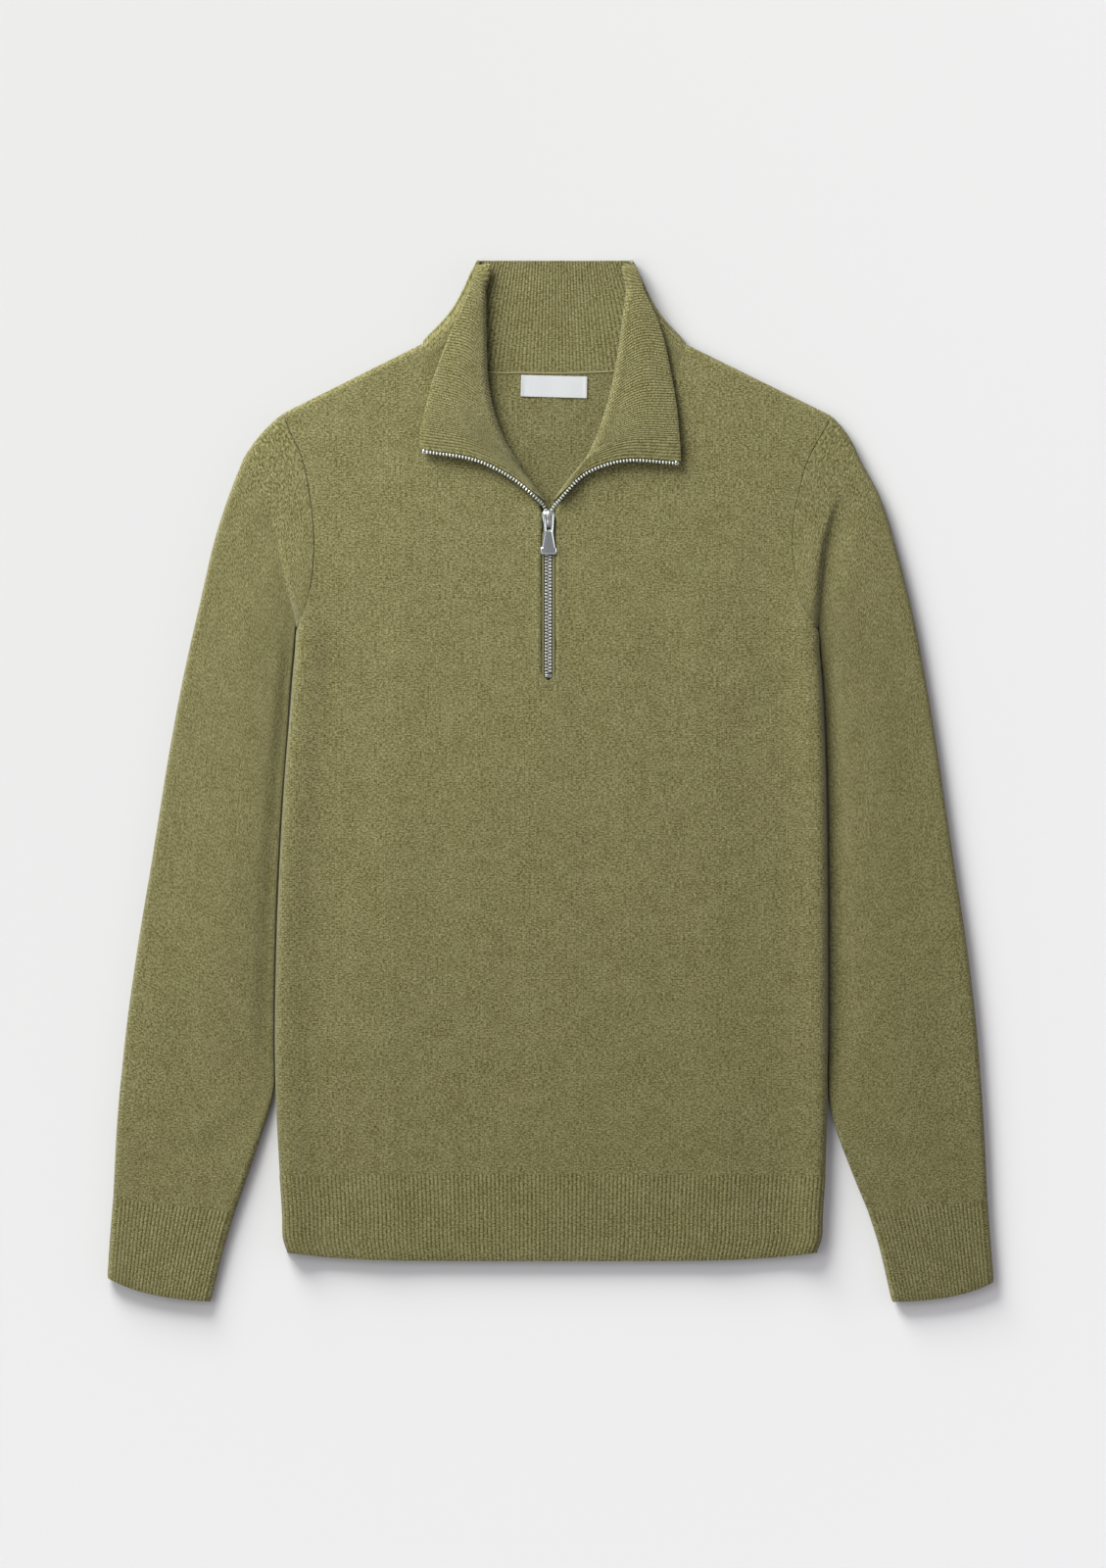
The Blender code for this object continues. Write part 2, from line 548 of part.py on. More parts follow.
def build_back(collection, material):
    """Back panel: a flat piece that the whole sweater rests on."""
    inset = back_inset(SIDE_RADIUS)
    sections = collar_sections()
    knots = collar_knots(sections)
    first = len(LEFT_COLLAR) + 1
    across = np.linspace(knots[first], knots[len(knots) - first - 1], 25)
    seam = smooth_sections(sections, knots, across)[:, 0, :2]
    neck = [(101.4, 324.6)] + [tuple(place) for place in reversed(seam)] + [(-95.6, 326.6)]
    outline = [(205.8 - inset, -294.35), (-202.9 + inset, -294.35)]
    left_side = [row_point(-1, "out", row) for row in (2.0, 4.0, 6.0, 8.0, 9.5)]
    outline += [(point[0] + inset, point[1]) for point in left_side]
    left_arm = [row_point(-1, "out", row) for row in ARM_ROWS]
    outline += [(point[0] + arm_inset(row), point[1]) for point, row in zip(left_arm, ARM_ROWS)]
    outline += [(point[0], point[1] - 0.8) for point in reversed(neck)]
    right_arm = [row_point(1, "out", row) for row in reversed(ARM_ROWS)]
    outline += [(point[0] - arm_inset(row), point[1]) for point, row in zip(right_arm, reversed(ARM_ROWS))]
    right_side = [row_point(1, "out", row) for row in (9.5, 8.0, 6.0, 4.0, 2.0)]
    outline += [(point[0] - inset, point[1]) for point in right_side]
    return flat_piece("back_panel", outline, 0.0, BACK_WALL, collection, material)


def sleeve_edges(side, along):
    """Outer and inner edge of a sleeve below the fold."""
    shares = table_column(SLEEVE_ROWS, "share")
    outer = smooth(table_column(SLEEVE_ROWS, side_name(side, "out")), shares, along)
    inner = smooth(table_column(SLEEVE_ROWS, side_name(side, "in")), shares, along)
    return outer, inner


def seam_curve(side, across):
    """Armhole seam from the shoulder point (0) to the armpit (1)."""
    return row_point(side, "out", SHOULDER_ROW - across * (SHOULDER_ROW - ARMPIT_ROW))


def fold_curve(side, across):
    """Fold above the armpit, from the sleeve's outer edge to the armpit."""
    heights = table_column(BODY_EDGE, "y")[5:]
    edge = table_column(BODY_EDGE, side_name(side, "x"))[5:] + side * 0.8
    lengths = np.concatenate([[0.0], np.cumsum(np.hypot(np.diff(heights), np.diff(edge)))])
    at = (1.0 - across) * lengths[-1]
    return smooth(np.stack([edge, heights], axis=1), lengths, at)


CAP_KNOT = 0.12


def sleeve_plan(side, across, along):
    """Place on the sleeve seen from above: across 0 outer to 1 inner edge."""
    fold_across = np.array(across, dtype=float)
    if along < CAP_KNOT:
        share = along / CAP_KNOT
        seam = seam_curve(side, across)
        fold = fold_curve(side, seam_share(side, across))
        bulge = 4.0 * share * (1.0 - share) * (1.0 - fold_across) ** 4 * 2.4
        return seam + (fold - seam) * share + np.array([side * 0.7, 0.75]) * bulge
    share = (along - CAP_KNOT) / (1.0 - CAP_KNOT)
    outer, inner = sleeve_edges(side, share)
    fold_out, fold_in = sleeve_edges(side, 0.0)
    across = seam_share(side, across)
    bow = fold_curve(side, across) - (fold_out + (fold_in - fold_out) * across)
    return outer + (inner - outer) * across + bow * max(0.0, 1.0 - share / 0.3) ** 2


def seam_share(side, across):
    """Share of the seam's length at a place given by body rows."""
    places = np.array([seam_curve(side, value) for value in np.linspace(0.0, 1.0, 45)])
    lengths = np.concatenate([[0.0], np.cumsum(np.linalg.norm(np.diff(places, axis=0), axis=1))])
    return float(np.interp(across, np.linspace(0.0, 1.0, 45), lengths / lengths[-1]))


def sleeve_top(side, across, along, place):
    """Height of the sleeve's upper face."""
    share = max(0.0, (along - CAP_KNOT) / (1.0 - CAP_KNOT))
    low = float(sleeve_level(seam_share(side, across), share))
    blend = float(smoothstep(0.0, 0.25, along))
    low = low * blend + (PANEL_TOP + 0.2 - (PANEL_TOP + 0.2 - CREASE_TOP) * side_crest(place[1])) * (1.0 - blend)
    return float(over_fold(side, place[0], place[1], low))


OUTER_ANGLES = [-35.0, 0.0, 30.0, 60.0]
INNER_ANGLES = [50.0, 0.0, -45.0]


def tube_ring(edge_out, edge_in, places, tops, depth):
    """Ring of a flattened tube: over its top, round both edges, back below."""
    ring = []
    outer_radius = 0.5 * tops[0]
    inner_radius = 0.5 * tops[-1]
    out_way = (edge_out - places[0]) / np.linalg.norm(edge_out - places[0])
    in_way = (edge_in - places[-1]) / np.linalg.norm(edge_in - places[-1])
    for angle in OUTER_ANGLES:
        ring.append(edge_point(edge_out, out_way, outer_radius, depth, angle))
    for place, top in zip(places, tops):
        ring.append([place[0], place[1], top - depth])
    for angle in INNER_ANGLES:
        ring.append(edge_point(edge_in, in_way, inner_radius, depth, angle))
    for place in reversed(places):
        ring.append([place[0], place[1], depth])
    return ring


def edge_point(edge, way, radius, depth, angle):
    """Point on the rolled edge of a tube that lies on the ground."""
    turn = math.radians(angle)
    reach = radius - depth
    place = edge - way * (radius - reach * math.cos(turn))
    return [place[0], place[1], radius + reach * math.sin(turn)]


SLEEVE_ALONG = [0.0, 0.03, 0.06, 0.09, 0.118, 0.135, 0.16, 0.2, 0.27, 0.35, 0.45, 0.56, 0.68, 0.8, 0.88, 0.93,
                0.965, 1.0]
SLEEVE_ACROSS = [1.0, 3.0, 5.0, 6.0, 7.0, 8.0, 9.0, 9.8, 10.3, 10.65]


def sleeve_grid(side, depth, alongs, acrosses):
    """Rings of a sleeve at a depth below its outer face."""
    span = SHOULDER_ROW - ARMPIT_ROW
    rings = []
    for along in alongs:
        places = [sleeve_plan(side, rows / span, along) for rows in acrosses]
        tops = [sleeve_top(side, rows / span, along, place) for rows, place in zip(acrosses, places)]
        rings.append(tube_ring(sleeve_plan(side, 0.0, along), sleeve_plan(side, 1.0, along), places, tops, depth))
    grid = np.array(rings)
    first = grid[1, :, :2] - grid[0, :, :2]
    grid[0, :, :2] += first / np.linalg.norm(first, axis=1, keepdims=True) * HALF_GAP
    grid[-1, :, 1] += HALF_GAP
    return grid


def build_sleeve(side, collection, material):
    """A sleeve: a flattened tube from the armhole seam to the cuff seam."""
    outer = sleeve_grid(side, 0.0, SLEEVE_ALONG, SLEEVE_ACROSS)
    inner = sleeve_grid(side, BODY_WALL, SLEEVE_ALONG, SLEEVE_ACROSS)
    faces = grid_faces(outer.shape[0], outer.shape[1], ring=True, flip=side < 0)
    points, faces = closed_sheet(outer.reshape(-1, 3), inner.reshape(-1, 3), faces)
    name = "sleeve_left" if side < 0 else "sleeve_right"
    return add_object(name, points, faces, collection, material)


def beside_line(polyline, point, room, towards):
    """Place nearest to a point on a polyline, moved off it by some room."""
    starts = polyline[:-1]
    ways = polyline[1:] - starts
    shares = np.clip(((point - starts) * ways).sum(axis=1) / (ways * ways).sum(axis=1), 0.0, 1.0)
    places = starts + ways * shares[:, None]
    best = int(np.argmin(np.linalg.norm(places - point, axis=1)))
    normal = np.array([-ways[best][1], ways[best][0]]) / np.linalg.norm(ways[best])
    if np.dot(normal, towards - places[best]) < 0.0:
        normal = -normal
    return places[best] + normal * room


BEND_RISE = 0.6
NECK_ROOM = 0.55
NECK_CENTRE = np.array([0.0, 300.0])


def neck_seam(side):
    """The front's neckline as a fine line, from the slider to the shoulder."""
    return np.array([row_point(side, "in", row) for row in np.arange(14.0, SHOULDER_ROW + 0.01, 0.125)])


def front_section(side, row):
    """Control points across the collar where it turns over, neck seam to edge."""
    neck = beside_line(neck_seam(side), np.array(row.neck), NECK_ROOM, NECK_CENTRE)
    roll, bend, flap, edge = (np.array(place) for place in (row.roll, row.bend, row.flap, row.edge))
    inward = (roll - neck) / np.linalg.norm(roll - neck)
    outward = (bend - roll) / np.linalg.norm(bend - roll)
    crown = roll - inward * 0.5 * COLLAR_WALL
    before = crown - inward * ROLL_RADIUS
    stand = 0.5 * (neck + before)
    after = crown + outward * ROLL_RADIUS
    after_z = min(STAND_MID_Z + 2.0 * ROLL_RADIUS, row.flap_z)
    bend_z = after_z + (row.flap_z - after_z) * BEND_RISE
    heights = (STAND_MID_Z, STAND_MID_Z, STAND_MID_Z, 0.5 * (STAND_MID_Z + after_z), after_z, bend_z,
               row.flap_z, row.edge_z)
    places = (neck, stand, before, crown, after, bend, flap, edge)
    return [(place[0], place[1], z) for place, z in zip(places, heights)]


BACK_SHARES = (0.0, 0.45, 0.84, 0.88, 0.92, 0.95, 0.98, 1.0)


def line_section(places, heights):
    """Control points along a short curve from the neck seam to the top edge."""
    places = np.array(places, dtype=float)
    steps = np.linalg.norm(np.diff(places, axis=0), axis=1)
    knots = np.concatenate([[0.0], np.cumsum(steps)]) / steps.sum()
    line = smooth(places, knots, np.array(BACK_SHARES))
    return [(place[0], place[1], z) for place, z in zip(line, heights)]


FoldRow = namedtuple("FoldRow", "side neck middle top")
FOLDS = [
    FoldRow(-1, (-94.0, 329.2), (-71.6, 350.4), (-51.6, 389.6)),
    FoldRow(1, (99.8, 326.8), (80.2, 349.4), (59.6, 389.6)),
]
BackRow = namedtuple("BackRow", "neck_x top_x")
BACK_COLLAR = [BackRow(-70.0, -43.0), BackRow(-45.0, -31.0), BackRow(-22.0, -15.5), BackRow(4.0, 4.0),
               BackRow(29.0, 23.5), BackRow(52.0, 38.5), BackRow(76.0, 50.5)]
BACK_NECKLINE = [(-95.6, 329.0), (-70.0, 312.6), (-47.0, 307.5), (-1.5, 306.5), (45.0, 307.5), (72.0, 312.4),
                 (101.4, 326.6)]


def collar_sections():
    """Control sections round the collar, from the left zip edge to the right."""
    sections = []
    for row in LEFT_COLLAR:
        sections.append(front_section(-1, row))
    neckline = np.array(BACK_NECKLINE)
    back = []
    for row in BACK_COLLAR:
        neck_y = float(np.interp(row.neck_x, neckline[:, 0], neckline[:, 1]))
        back.append(line_section([(row.neck_x, neck_y), (row.top_x, COLLAR_TOP_Y)], [BACK_MID_Z] * 8))
    folded = []
    for fold in FOLDS:
        centre_z = BACK_MID_Z + FOLD_RADIUS
        rising = [centre_z] * 3 + [centre_z + 0.2, centre_z + 0.5, centre_z + 0.9, centre_z + 1.3, centre_z + 1.6]
        edge = line_section([fold.neck, fold.middle, fold.top], rising)
        inset = np.array([-fold.side * 2.2, -1.1])
        under = [np.array(place) + inset for place in (fold.neck, fold.middle, fold.top)]
        under[0] = under[0] + np.array([0.0, 0.6])
        under[2][1] = COLLAR_TOP_Y
        folded.append((edge, line_section(under, [BACK_MID_Z] * 8)))
    sections.append(folded[0][0])
    sections.append(folded[0][1])
    sections += back
    sections.append(folded[1][1])
    sections.append(folded[1][0])
    for row in reversed(RIGHT_COLLAR):
        sections.append(front_section(1, row))
    return np.array(sections)


def collar_knots(sections):
    """Distance round the collar of each control section."""
    steps = np.linalg.norm(np.diff(sections, axis=0), axis=2)[:, 5:].mean(axis=1)
    return np.concatenate([[0.0], np.cumsum(steps)])


def collar_grid(sections, knots, at, lift):
    """Face of the collar at distances round it, lifted off the middle surface."""
    grid = smooth_sections(sections, knots, at)
    seams = {-1: neck_seam(-1), 1: neck_seam(1)}
    left_end = knots[len(LEFT_COLLAR) - 1]
    right_start = knots[len(knots) - len(RIGHT_COLLAR)]
    for index, distance in enumerate(at):
        if distance <= left_end or distance >= right_start:
            seam = seams[-1 if distance <= left_end else 1]
            grid[index, 0, :2] = beside_line(seam, grid[index, 0, :2], NECK_ROOM, NECK_CENTRE)
    normals = point_normals(grid)
    return grid - normals * np.asarray(lift)[:, None, None]


def smooth_sections(sections, knots, at):
    """Curve through whole sections."""
    flat = smooth(sections.reshape(len(sections), -1), knots, at)
    return flat.reshape(len(at), sections.shape[1], 3)


def build_collar(collection, material):
    """Collar: one ribbed wall, flat at the back, folded at the sides, turned over in front."""
    sections = collar_sections()
    knots = collar_knots(sections)
    ribs = int(round(knots[-1] / COLLAR_PITCH))
    ribs += ribs % 2
    ribbed_at = np.linspace(0.0, knots[-1], 2 * ribs + 1)
    plain_at = ribbed_at[::4]
    left_fold = knots[len(LEFT_COLLAR)]
    right_fold = knots[len(knots) - len(RIGHT_COLLAR) - 1]
    clear = np.minimum(np.abs(ribbed_at - left_fold), np.abs(ribbed_at - right_fold))
    ends = np.minimum(ribbed_at, knots[-1] - ribbed_at)
    fade = smoothstep(6.0, 14.0, clear) * smoothstep(1.0, 5.0, ends)
    lift = np.where(np.arange(2 * ribs + 1) % 2 == 1, COLLAR_RIB_HEIGHT, 0.0) * fade
    ribbed = collar_grid(sections, knots, ribbed_at, 0.5 * COLLAR_WALL + lift)
    plain = collar_grid(sections, knots, plain_at, np.full(len(plain_at), -0.5 * COLLAR_WALL))
    across = np.linspace(0.0, 1.0, sections.shape[1])
    points, faces = wall_mesh(ribbed, plain, across, across, ribbed_at, plain_at)
    return add_object("collar", points, faces, collection, material)


HEM_KNOTS = [0.0, 0.47, 0.78, 1.0]
HEM_LEVELS = [0.0, 0.45, 0.88, 1.0]
HEM_EDGE_SCALE = 0.9
HEM_STATIONS = 21


def hem_row(level):
    """Left and right edge, middle and corner of the hem rib at a level down it."""
    return smooth(np.array(HEM_ROWS, dtype=float), HEM_KNOTS, level)


def hem_point(level, along, depth):
    """Point of the front hem rib: along runs 0 to 1 from roll to roll."""
    left, right, middle_y, corner_y = hem_row(level)
    scale = 1.0 - (1.0 - HEM_EDGE_SCALE) * level
    radius = SIDE_RADIUS * scale
    arc = radius * math.radians(90.0 - under_angle(radius))
    total = right - left - 2.0 * radius + 2.0 * arc
    distance = along * total
    side = -1 if along < 0.5 else 1
    from_end = min(distance, total - distance)
    if from_end < arc:
        inset, z = roll_section(radius, depth, 1.0 - from_end / arc)
    else:
        inset = radius + from_end - arc
        reach = left + inset if side < 0 else right - inset
        z = body_level(inset * SIDE_RADIUS / radius, reach, HEM_ROWS[0].corner_y) * scale - depth
    x = left + inset if side < 0 else right - inset
    share = abs(2.0 * (x - left) / (right - left) - 1.0)
    y = middle_y + (corner_y - middle_y) * share ** (1.0 + 4.0 * level)
    return [x, y - HALF_GAP * (level == 0.0), z]


def build_hem(collection, material):
    """Hem rib: a ribbed front wall over a flat back piece."""
    left, right = hem_row(0.0)[:2]
    ribs = int(round((right - left + 2.0 * SIDE_RADIUS) / HEM_PITCH))
    ribs += ribs % 2
    ribbed_at = np.linspace(0.0, 1.0, 2 * ribs + 1)
    plain_at = ribbed_at[::4]
    ends = np.minimum(ribbed_at, 1.0 - ribbed_at) * (right - left)
    lift = np.where(np.arange(2 * ribs + 1) % 2 == 1, RIB_HEIGHT, 0.0) * smoothstep(4.0, 10.0, ends)
    outer = np.array([[hem_point(level, at, -raised) for at, raised in zip(ribbed_at, lift)]
                      for level in HEM_LEVELS])
    inner = np.array([[hem_point(level, at, RIB_WALL) for at in plain_at] for level in HEM_LEVELS])
    points, faces = wall_mesh(outer, inner, ribbed_at, plain_at, HEM_LEVELS, HEM_LEVELS)
    add_object("hem_front", points, faces, collection, material)
    outline = [(hem_row(0.0)[0] + back_inset(SIDE_RADIUS), HEM_ROWS[0].corner_y - SEAM_GAP)]
    for level in HEM_LEVELS[1:3]:
        outline.append((hem_row(level)[0] + back_inset(SIDE_RADIUS), hem_row(level)[3]))
    lowest = [hem_point(1.0, at, RIB_WALL) for at in np.linspace(0.04, 0.96, HEM_STATIONS)]
    outline += [(place[0], place[1] + 1.0) for place in lowest]
    for level in reversed(HEM_LEVELS[1:3]):
        outline.append((hem_row(level)[1] - back_inset(SIDE_RADIUS), hem_row(level)[3]))
    outline.append((hem_row(0.0)[1] - back_inset(SIDE_RADIUS), HEM_ROWS[0].corner_y - SEAM_GAP))
    flat_piece("hem_back", outline[::-1], 0.0, BACK_WALL, collection, material)


CUFF_LEVELS = [0.0, 0.5, 1.0]
CUFF_RIBS = 28
CUFF_UNDER_STATIONS = 8
CUFF_PLAIN_STATIONS = 15


def cuff_ring(side, level, depth, acrosses, lifts, unders):
    """Ring of a cuff: over its top, round both edges, back below."""
    shares = table_column(CUFF_ROWS, "share")
    edge_out = smooth(table_column(CUFF_ROWS, side_name(side, "out")), shares, level)
    edge_in = smooth(table_column(CUFF_ROWS, side_name(side, "in")), shares, level)
    way = (edge_out - edge_in) / np.linalg.norm(edge_out - edge_in)
    blend = float(smoothstep(0.0, 1.0, level))
    heights = [(float(sleeve_level(across, 1.0)) * (1.0 - blend) + CUFF_TOP * blend) for across in acrosses]
    ring = [edge_point(edge_out, way, 0.5 * heights[0], depth, angle) for angle in OUTER_ANGLES]
    for across, height, lift in zip(acrosses, heights, lifts):
        place = edge_out + (edge_in - edge_out) * across
        ring.append([place[0], place[1], height + lift - depth])
    ring += [edge_point(edge_in, -way, 0.5 * heights[-1], depth, angle) for angle in INNER_ANGLES]
    for across in reversed(unders):
        place = edge_out + (edge_in - edge_out) * across
        ring.append([place[0], place[1], depth])
    ring = np.array(ring)
    share = np.clip(np.dot(ring[:, :2] - edge_out, -way) / np.linalg.norm(edge_out - edge_in), 0.0, 1.0)
    ring[:, 1] -= CUFF_END_BOW * 4.0 * share * (1.0 - share) * (1.25 - 0.6 * share) * blend
    ring[:, 1] -= HALF_GAP * (level == 0.0)
    return ring


def ring_shares(ring):
    """Share of the way round a ring at each of its points."""
    steps = np.linalg.norm(np.diff(np.concatenate([ring, ring[:1]]), axis=0), axis=1)
    return np.concatenate([[0.0], np.cumsum(steps)[:-1]]) / steps.sum()


def build_cuff(side, collection, material):
    """A cuff: a flattened ribbed tube below the sleeve."""
    ribbed = np.linspace(0.05, 0.95, 2 * CUFF_RIBS + 1)
    lifts = np.where(np.arange(2 * CUFF_RIBS + 1) % 2 == 1, RIB_HEIGHT, 0.0)
    under = list(np.linspace(0.06, 0.94, CUFF_UNDER_STATIONS))
    plain = np.linspace(0.05, 0.95, CUFF_PLAIN_STATIONS)
    outer = np.array([cuff_ring(side, level, 0.0, ribbed, lifts, under) for level in CUFF_LEVELS])
    inner = np.array([cuff_ring(side, level, RIB_WALL, plain, plain * 0.0, under) for level in CUFF_LEVELS])
    points, faces = wall_mesh(outer, inner, ring_shares(outer[0]), ring_shares(inner[0]),
                              CUFF_LEVELS, CUFF_LEVELS, ring=True)
    add_object("cuff_left" if side < 0 else "cuff_right", points, faces, collection, material)


def box_outline(left, right, low, high):
    """Corners of a rectangle."""
    return [(left, low), (right, low), (right, high), (left, high)]


def build_zip(collection, metal, cloth):
    """Tapes, closed chain and stop in the slit, open teeth beside the collar."""
    for side, name in ((-1, "zip_tape_left"), (1, "zip_tape_right")):
        near = CENTRE_X + side * HALF_GAP
        far = CENTRE_X + side * TAPE_WIDTH
        outline = box_outline(min(near, far), max(near, far), TAPE_LOW_Y, TAPE_HIGH_Y)
        flat_piece(name, outline, TAPE_TOP_Z - TAPE_THICK, TAPE_TOP_Z, collection, cloth)
    half = 0.5 * CHAIN_WIDTH
    outline = box_outline(CENTRE_X - half, CENTRE_X + half, CHAIN_LOW_Y, CHAIN_HIGH_Y)
    flat_piece("zip_teeth_closed", outline, CHAIN_BOTTOM_Z, CHAIN_BOTTOM_Z + CHAIN_HEIGHT, collection, metal)
    half = 0.5 * STOP_WIDTH
    outline = box_outline(CENTRE_X - half, CENTRE_X + half, STOP_LOW_Y, STOP_LOW_Y + STOP_LENGTH)
    flat_piece("zip_bottom_stop", outline, CHAIN_BOTTOM_Z, CHAIN_BOTTOM_Z + CHAIN_HEIGHT, collection, metal)
    sections = collar_sections()
    knots = collar_knots(sections)
    for side in (-1, 1):
        path = teeth_path(sections, knots, side)
        build_teeth(side, path, collection, metal)
        build_top_stop(side, path, collection, metal)


TEETH_FIRST = 4
TEETH_ROOM = 0.8
TEETH_STATIONS = 26


def teeth_path(sections, knots, side):
    """Line beside the collar's zip edge, from near the slider outwards."""
    at = np.array([0.0, 3.0]) if side < 0 else np.array([knots[-1], knots[-1] - 3.0])
    edge, inside = smooth_sections(sections, knots, at)
    edge = edge[TEETH_FIRST:]
    inside = inside[TEETH_FIRST:]
    steps = np.concatenate([[0.0], np.cumsum(np.linalg.norm(np.diff(edge, axis=0), axis=1))])
    stations = np.unique(np.concatenate([steps, np.linspace(0.0, steps[-1], TEETH_STATIONS)]))
    line = np.stack([np.interp(stations, steps, edge[:, axis]) for axis in range(3)], axis=1)
    depth = np.stack([np.interp(stations, steps, inside[:, axis]) for axis in range(3)], axis=1)
    ways = np.gradient(line[:, :2], axis=0)
    ways /= np.linalg.norm(ways, axis=1, keepdims=True)
    off = line[:, :2] - depth[:, :2]
    off -= ways * (off * ways).sum(axis=1, keepdims=True)
    off /= np.linalg.norm(off, axis=1, keepdims=True)
    line[:, :2] += off * (TEETH_ROOM + 0.5 * TEETH_WIDTH)
    return line


def build_teeth(side, path, collection, material):
    """A row of open teeth as one plain strip of square section."""
    path = path[:-1]
    ways = np.gradient(path[:, :2], axis=0)
    ways /= np.linalg.norm(ways, axis=1, keepdims=True)
    aside = np.stack([-ways[:, 1], ways[:, 0]], axis=1)
    ring = []
    for across, up in ((-1, -1), (1, -1), (1, 1), (-1, 1)):
        corner = path.copy()
        corner[:, :2] += aside * across * 0.5 * TEETH_WIDTH
        corner[:, 2] += up * 0.5 * TEETH_HEIGHT
        ring.append(corner)
    grid = np.stack(ring, axis=1)
    faces = grid_faces(len(path), 4, ring=True)
    faces += [(3, 2, 1, 0), tuple(4 * (len(path) - 1) + corner for corner in range(4))]
    name = "zip_teeth_left" if side < 0 else "zip_teeth_right"
    add_object(name, grid.reshape(-1, 3), faces, collection, material)


def build_top_stop(side, path, collection, material):
    """Round metal stop at the end of an open row of teeth."""
    way = path[-1] - path[-2]
    centre = path[-2] + way / np.linalg.norm(way) * (TOP_STOP_RADIUS + SEAM_GAP)
    turns = np.linspace(0.0, 2.0 * math.pi, 13)[:-1]
    outline = [(centre[0] + TOP_STOP_RADIUS * math.cos(turn), centre[1] + TOP_STOP_RADIUS * math.sin(turn))
               for turn in turns]
    name = "zip_top_stop_left" if side < 0 else "zip_top_stop_right"
    flat_piece(name, outline, centre[2] - 0.5 * TEETH_HEIGHT, centre[2] + 0.5 * TEETH_HEIGHT, collection, material)


def mirrored(half):
    """Closed outline about the zip's middle from its right half, top first."""
    right = [(CENTRE_X + x, y) for x, y in half]
    left = [(CENTRE_X - x, y) for x, y in reversed(half)]
    return right + left


def build_slider(collection, cutters, material):
    """Slider: a shield-shaped block with an arch that holds the pull tab."""
    slider = flat_piece("zip_slider", mirrored(SLIDER_OUTLINE)[::-1], SLIDER_BOTTOM_Z, SLIDER_TOP_Z,
                        collection, material)
    arch = flat_piece("arch_tool", ARCH_OUTLINE[::-1], -0.5 * ARCH_WIDTH, 0.5 * ARCH_WIDTH, cutters, material)
    stand_up = Matrix.Rotation(math.radians(90.0), 4, "Y") @ Matrix.Rotation(math.radians(90.0), 4, "Z")
    arch.data.transform(Matrix.Translation((CENTRE_X * MM, 0.0, 0.0)) @ stand_up)
    join = slider.modifiers.new("join_arch", "BOOLEAN")
    join.operation = "UNION"
    join.solver = "EXACT"
    join.object = arch
    arch.hide_render = True
    bpy.context.view_layer.update()
    mesh = bpy.data.meshes.new_from_object(slider.evaluated_get(bpy.context.evaluated_depsgraph_get()))
    slider.modifiers.clear()
    slider.data = mesh
    bpy.data.objects.remove(arch, do_unlink=True)


def build_pull_tab(collection, material):
    """Pull tab: a waisted plate with a window, lying down the front."""
    outline = [(CENTRE_X + x, y) for x, y in TAB_OUTLINE]
    outline += [(CENTRE_X - x, y) for x, y in reversed(TAB_OUTLINE)]
    window = box_outline(CENTRE_X - TAB_WINDOW_HALF, CENTRE_X + TAB_WINDOW_HALF, TAB_WINDOW_END, TAB_WINDOW_TOP)
    tab = flat_piece("zip_pull_tab", outline[::-1], -0.5 * TAB_THICK, 0.5 * TAB_THICK, collection, material,
                     hole=window)
    turn = Matrix.Rotation(TAB_SLOPE, 4, "X")
    tab.data.transform(Matrix.Translation((0.0, TAB_AXIS_Y * MM, TAB_AXIS_Z * MM)) @ turn)


def main():
    """Build every piece."""
    collection, cutters = start_scene()
    knit = make_material("knit", OLIVE, 0.95, 0.0)
    metal = make_material("polished_nickel", NICKEL, 0.22, 1.0)
    tape = make_material("zip_tape", OLIVE, 0.9, 0.0)
    label = make_material("woven_label", LABEL_WHITE, 0.8, 0.0)
    build_front(collection, knit)
    build_back(collection, knit)
    for side in (-1, 1):
        build_sleeve(side, collection, knit)
        build_cuff(side, collection, knit)
    build_hem(collection, knit)
    build_collar(collection, knit)
    build_zip(collection, metal, tape)
    build_slider(collection, cutters, metal)
    build_pull_tab(collection, metal)
    flat_piece("neck_label", LABEL_CORNERS[::-1], LABEL_BOTTOM_Z, LABEL_TOP_Z, collection, label)


main()
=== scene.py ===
"""Looks of a quarter zip sweater laid flat, front up, on a pale ground.

The forms are worked out from named sizes and short tables, in millimetres, in
the frame of the part: +Z up, +Y towards the collar, origin under the middle.
"""
import functools
import logging
import math
from collections.abc import Iterable, Sequence
from dataclasses import dataclass
from enum import Enum
from typing import NamedTuple, TypeVar

import bmesh
import bpy
import numpy as np
from mathutils import Matrix, Vector


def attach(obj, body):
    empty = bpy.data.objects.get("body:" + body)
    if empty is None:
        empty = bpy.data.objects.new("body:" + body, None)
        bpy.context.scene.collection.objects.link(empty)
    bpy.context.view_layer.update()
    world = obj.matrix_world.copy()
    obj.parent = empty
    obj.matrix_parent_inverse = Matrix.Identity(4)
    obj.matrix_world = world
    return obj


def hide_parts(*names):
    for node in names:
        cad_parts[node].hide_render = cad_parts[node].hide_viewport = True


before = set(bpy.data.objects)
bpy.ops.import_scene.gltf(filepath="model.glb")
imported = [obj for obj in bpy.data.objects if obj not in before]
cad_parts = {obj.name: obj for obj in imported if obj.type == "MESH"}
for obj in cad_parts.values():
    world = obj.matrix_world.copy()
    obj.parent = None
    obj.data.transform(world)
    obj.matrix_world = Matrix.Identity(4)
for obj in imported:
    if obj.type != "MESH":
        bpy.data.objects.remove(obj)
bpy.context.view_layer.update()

LOG = logging.getLogger("sweater")
MM = 0.001
GARMENT = "garment"
PULL_TAB = "pull_tab"
Choice = TypeVar("Choice")
Values = float | np.ndarray
Socket = bpy.types.NodeSocket
Feed = Socket | float | Sequence[float]


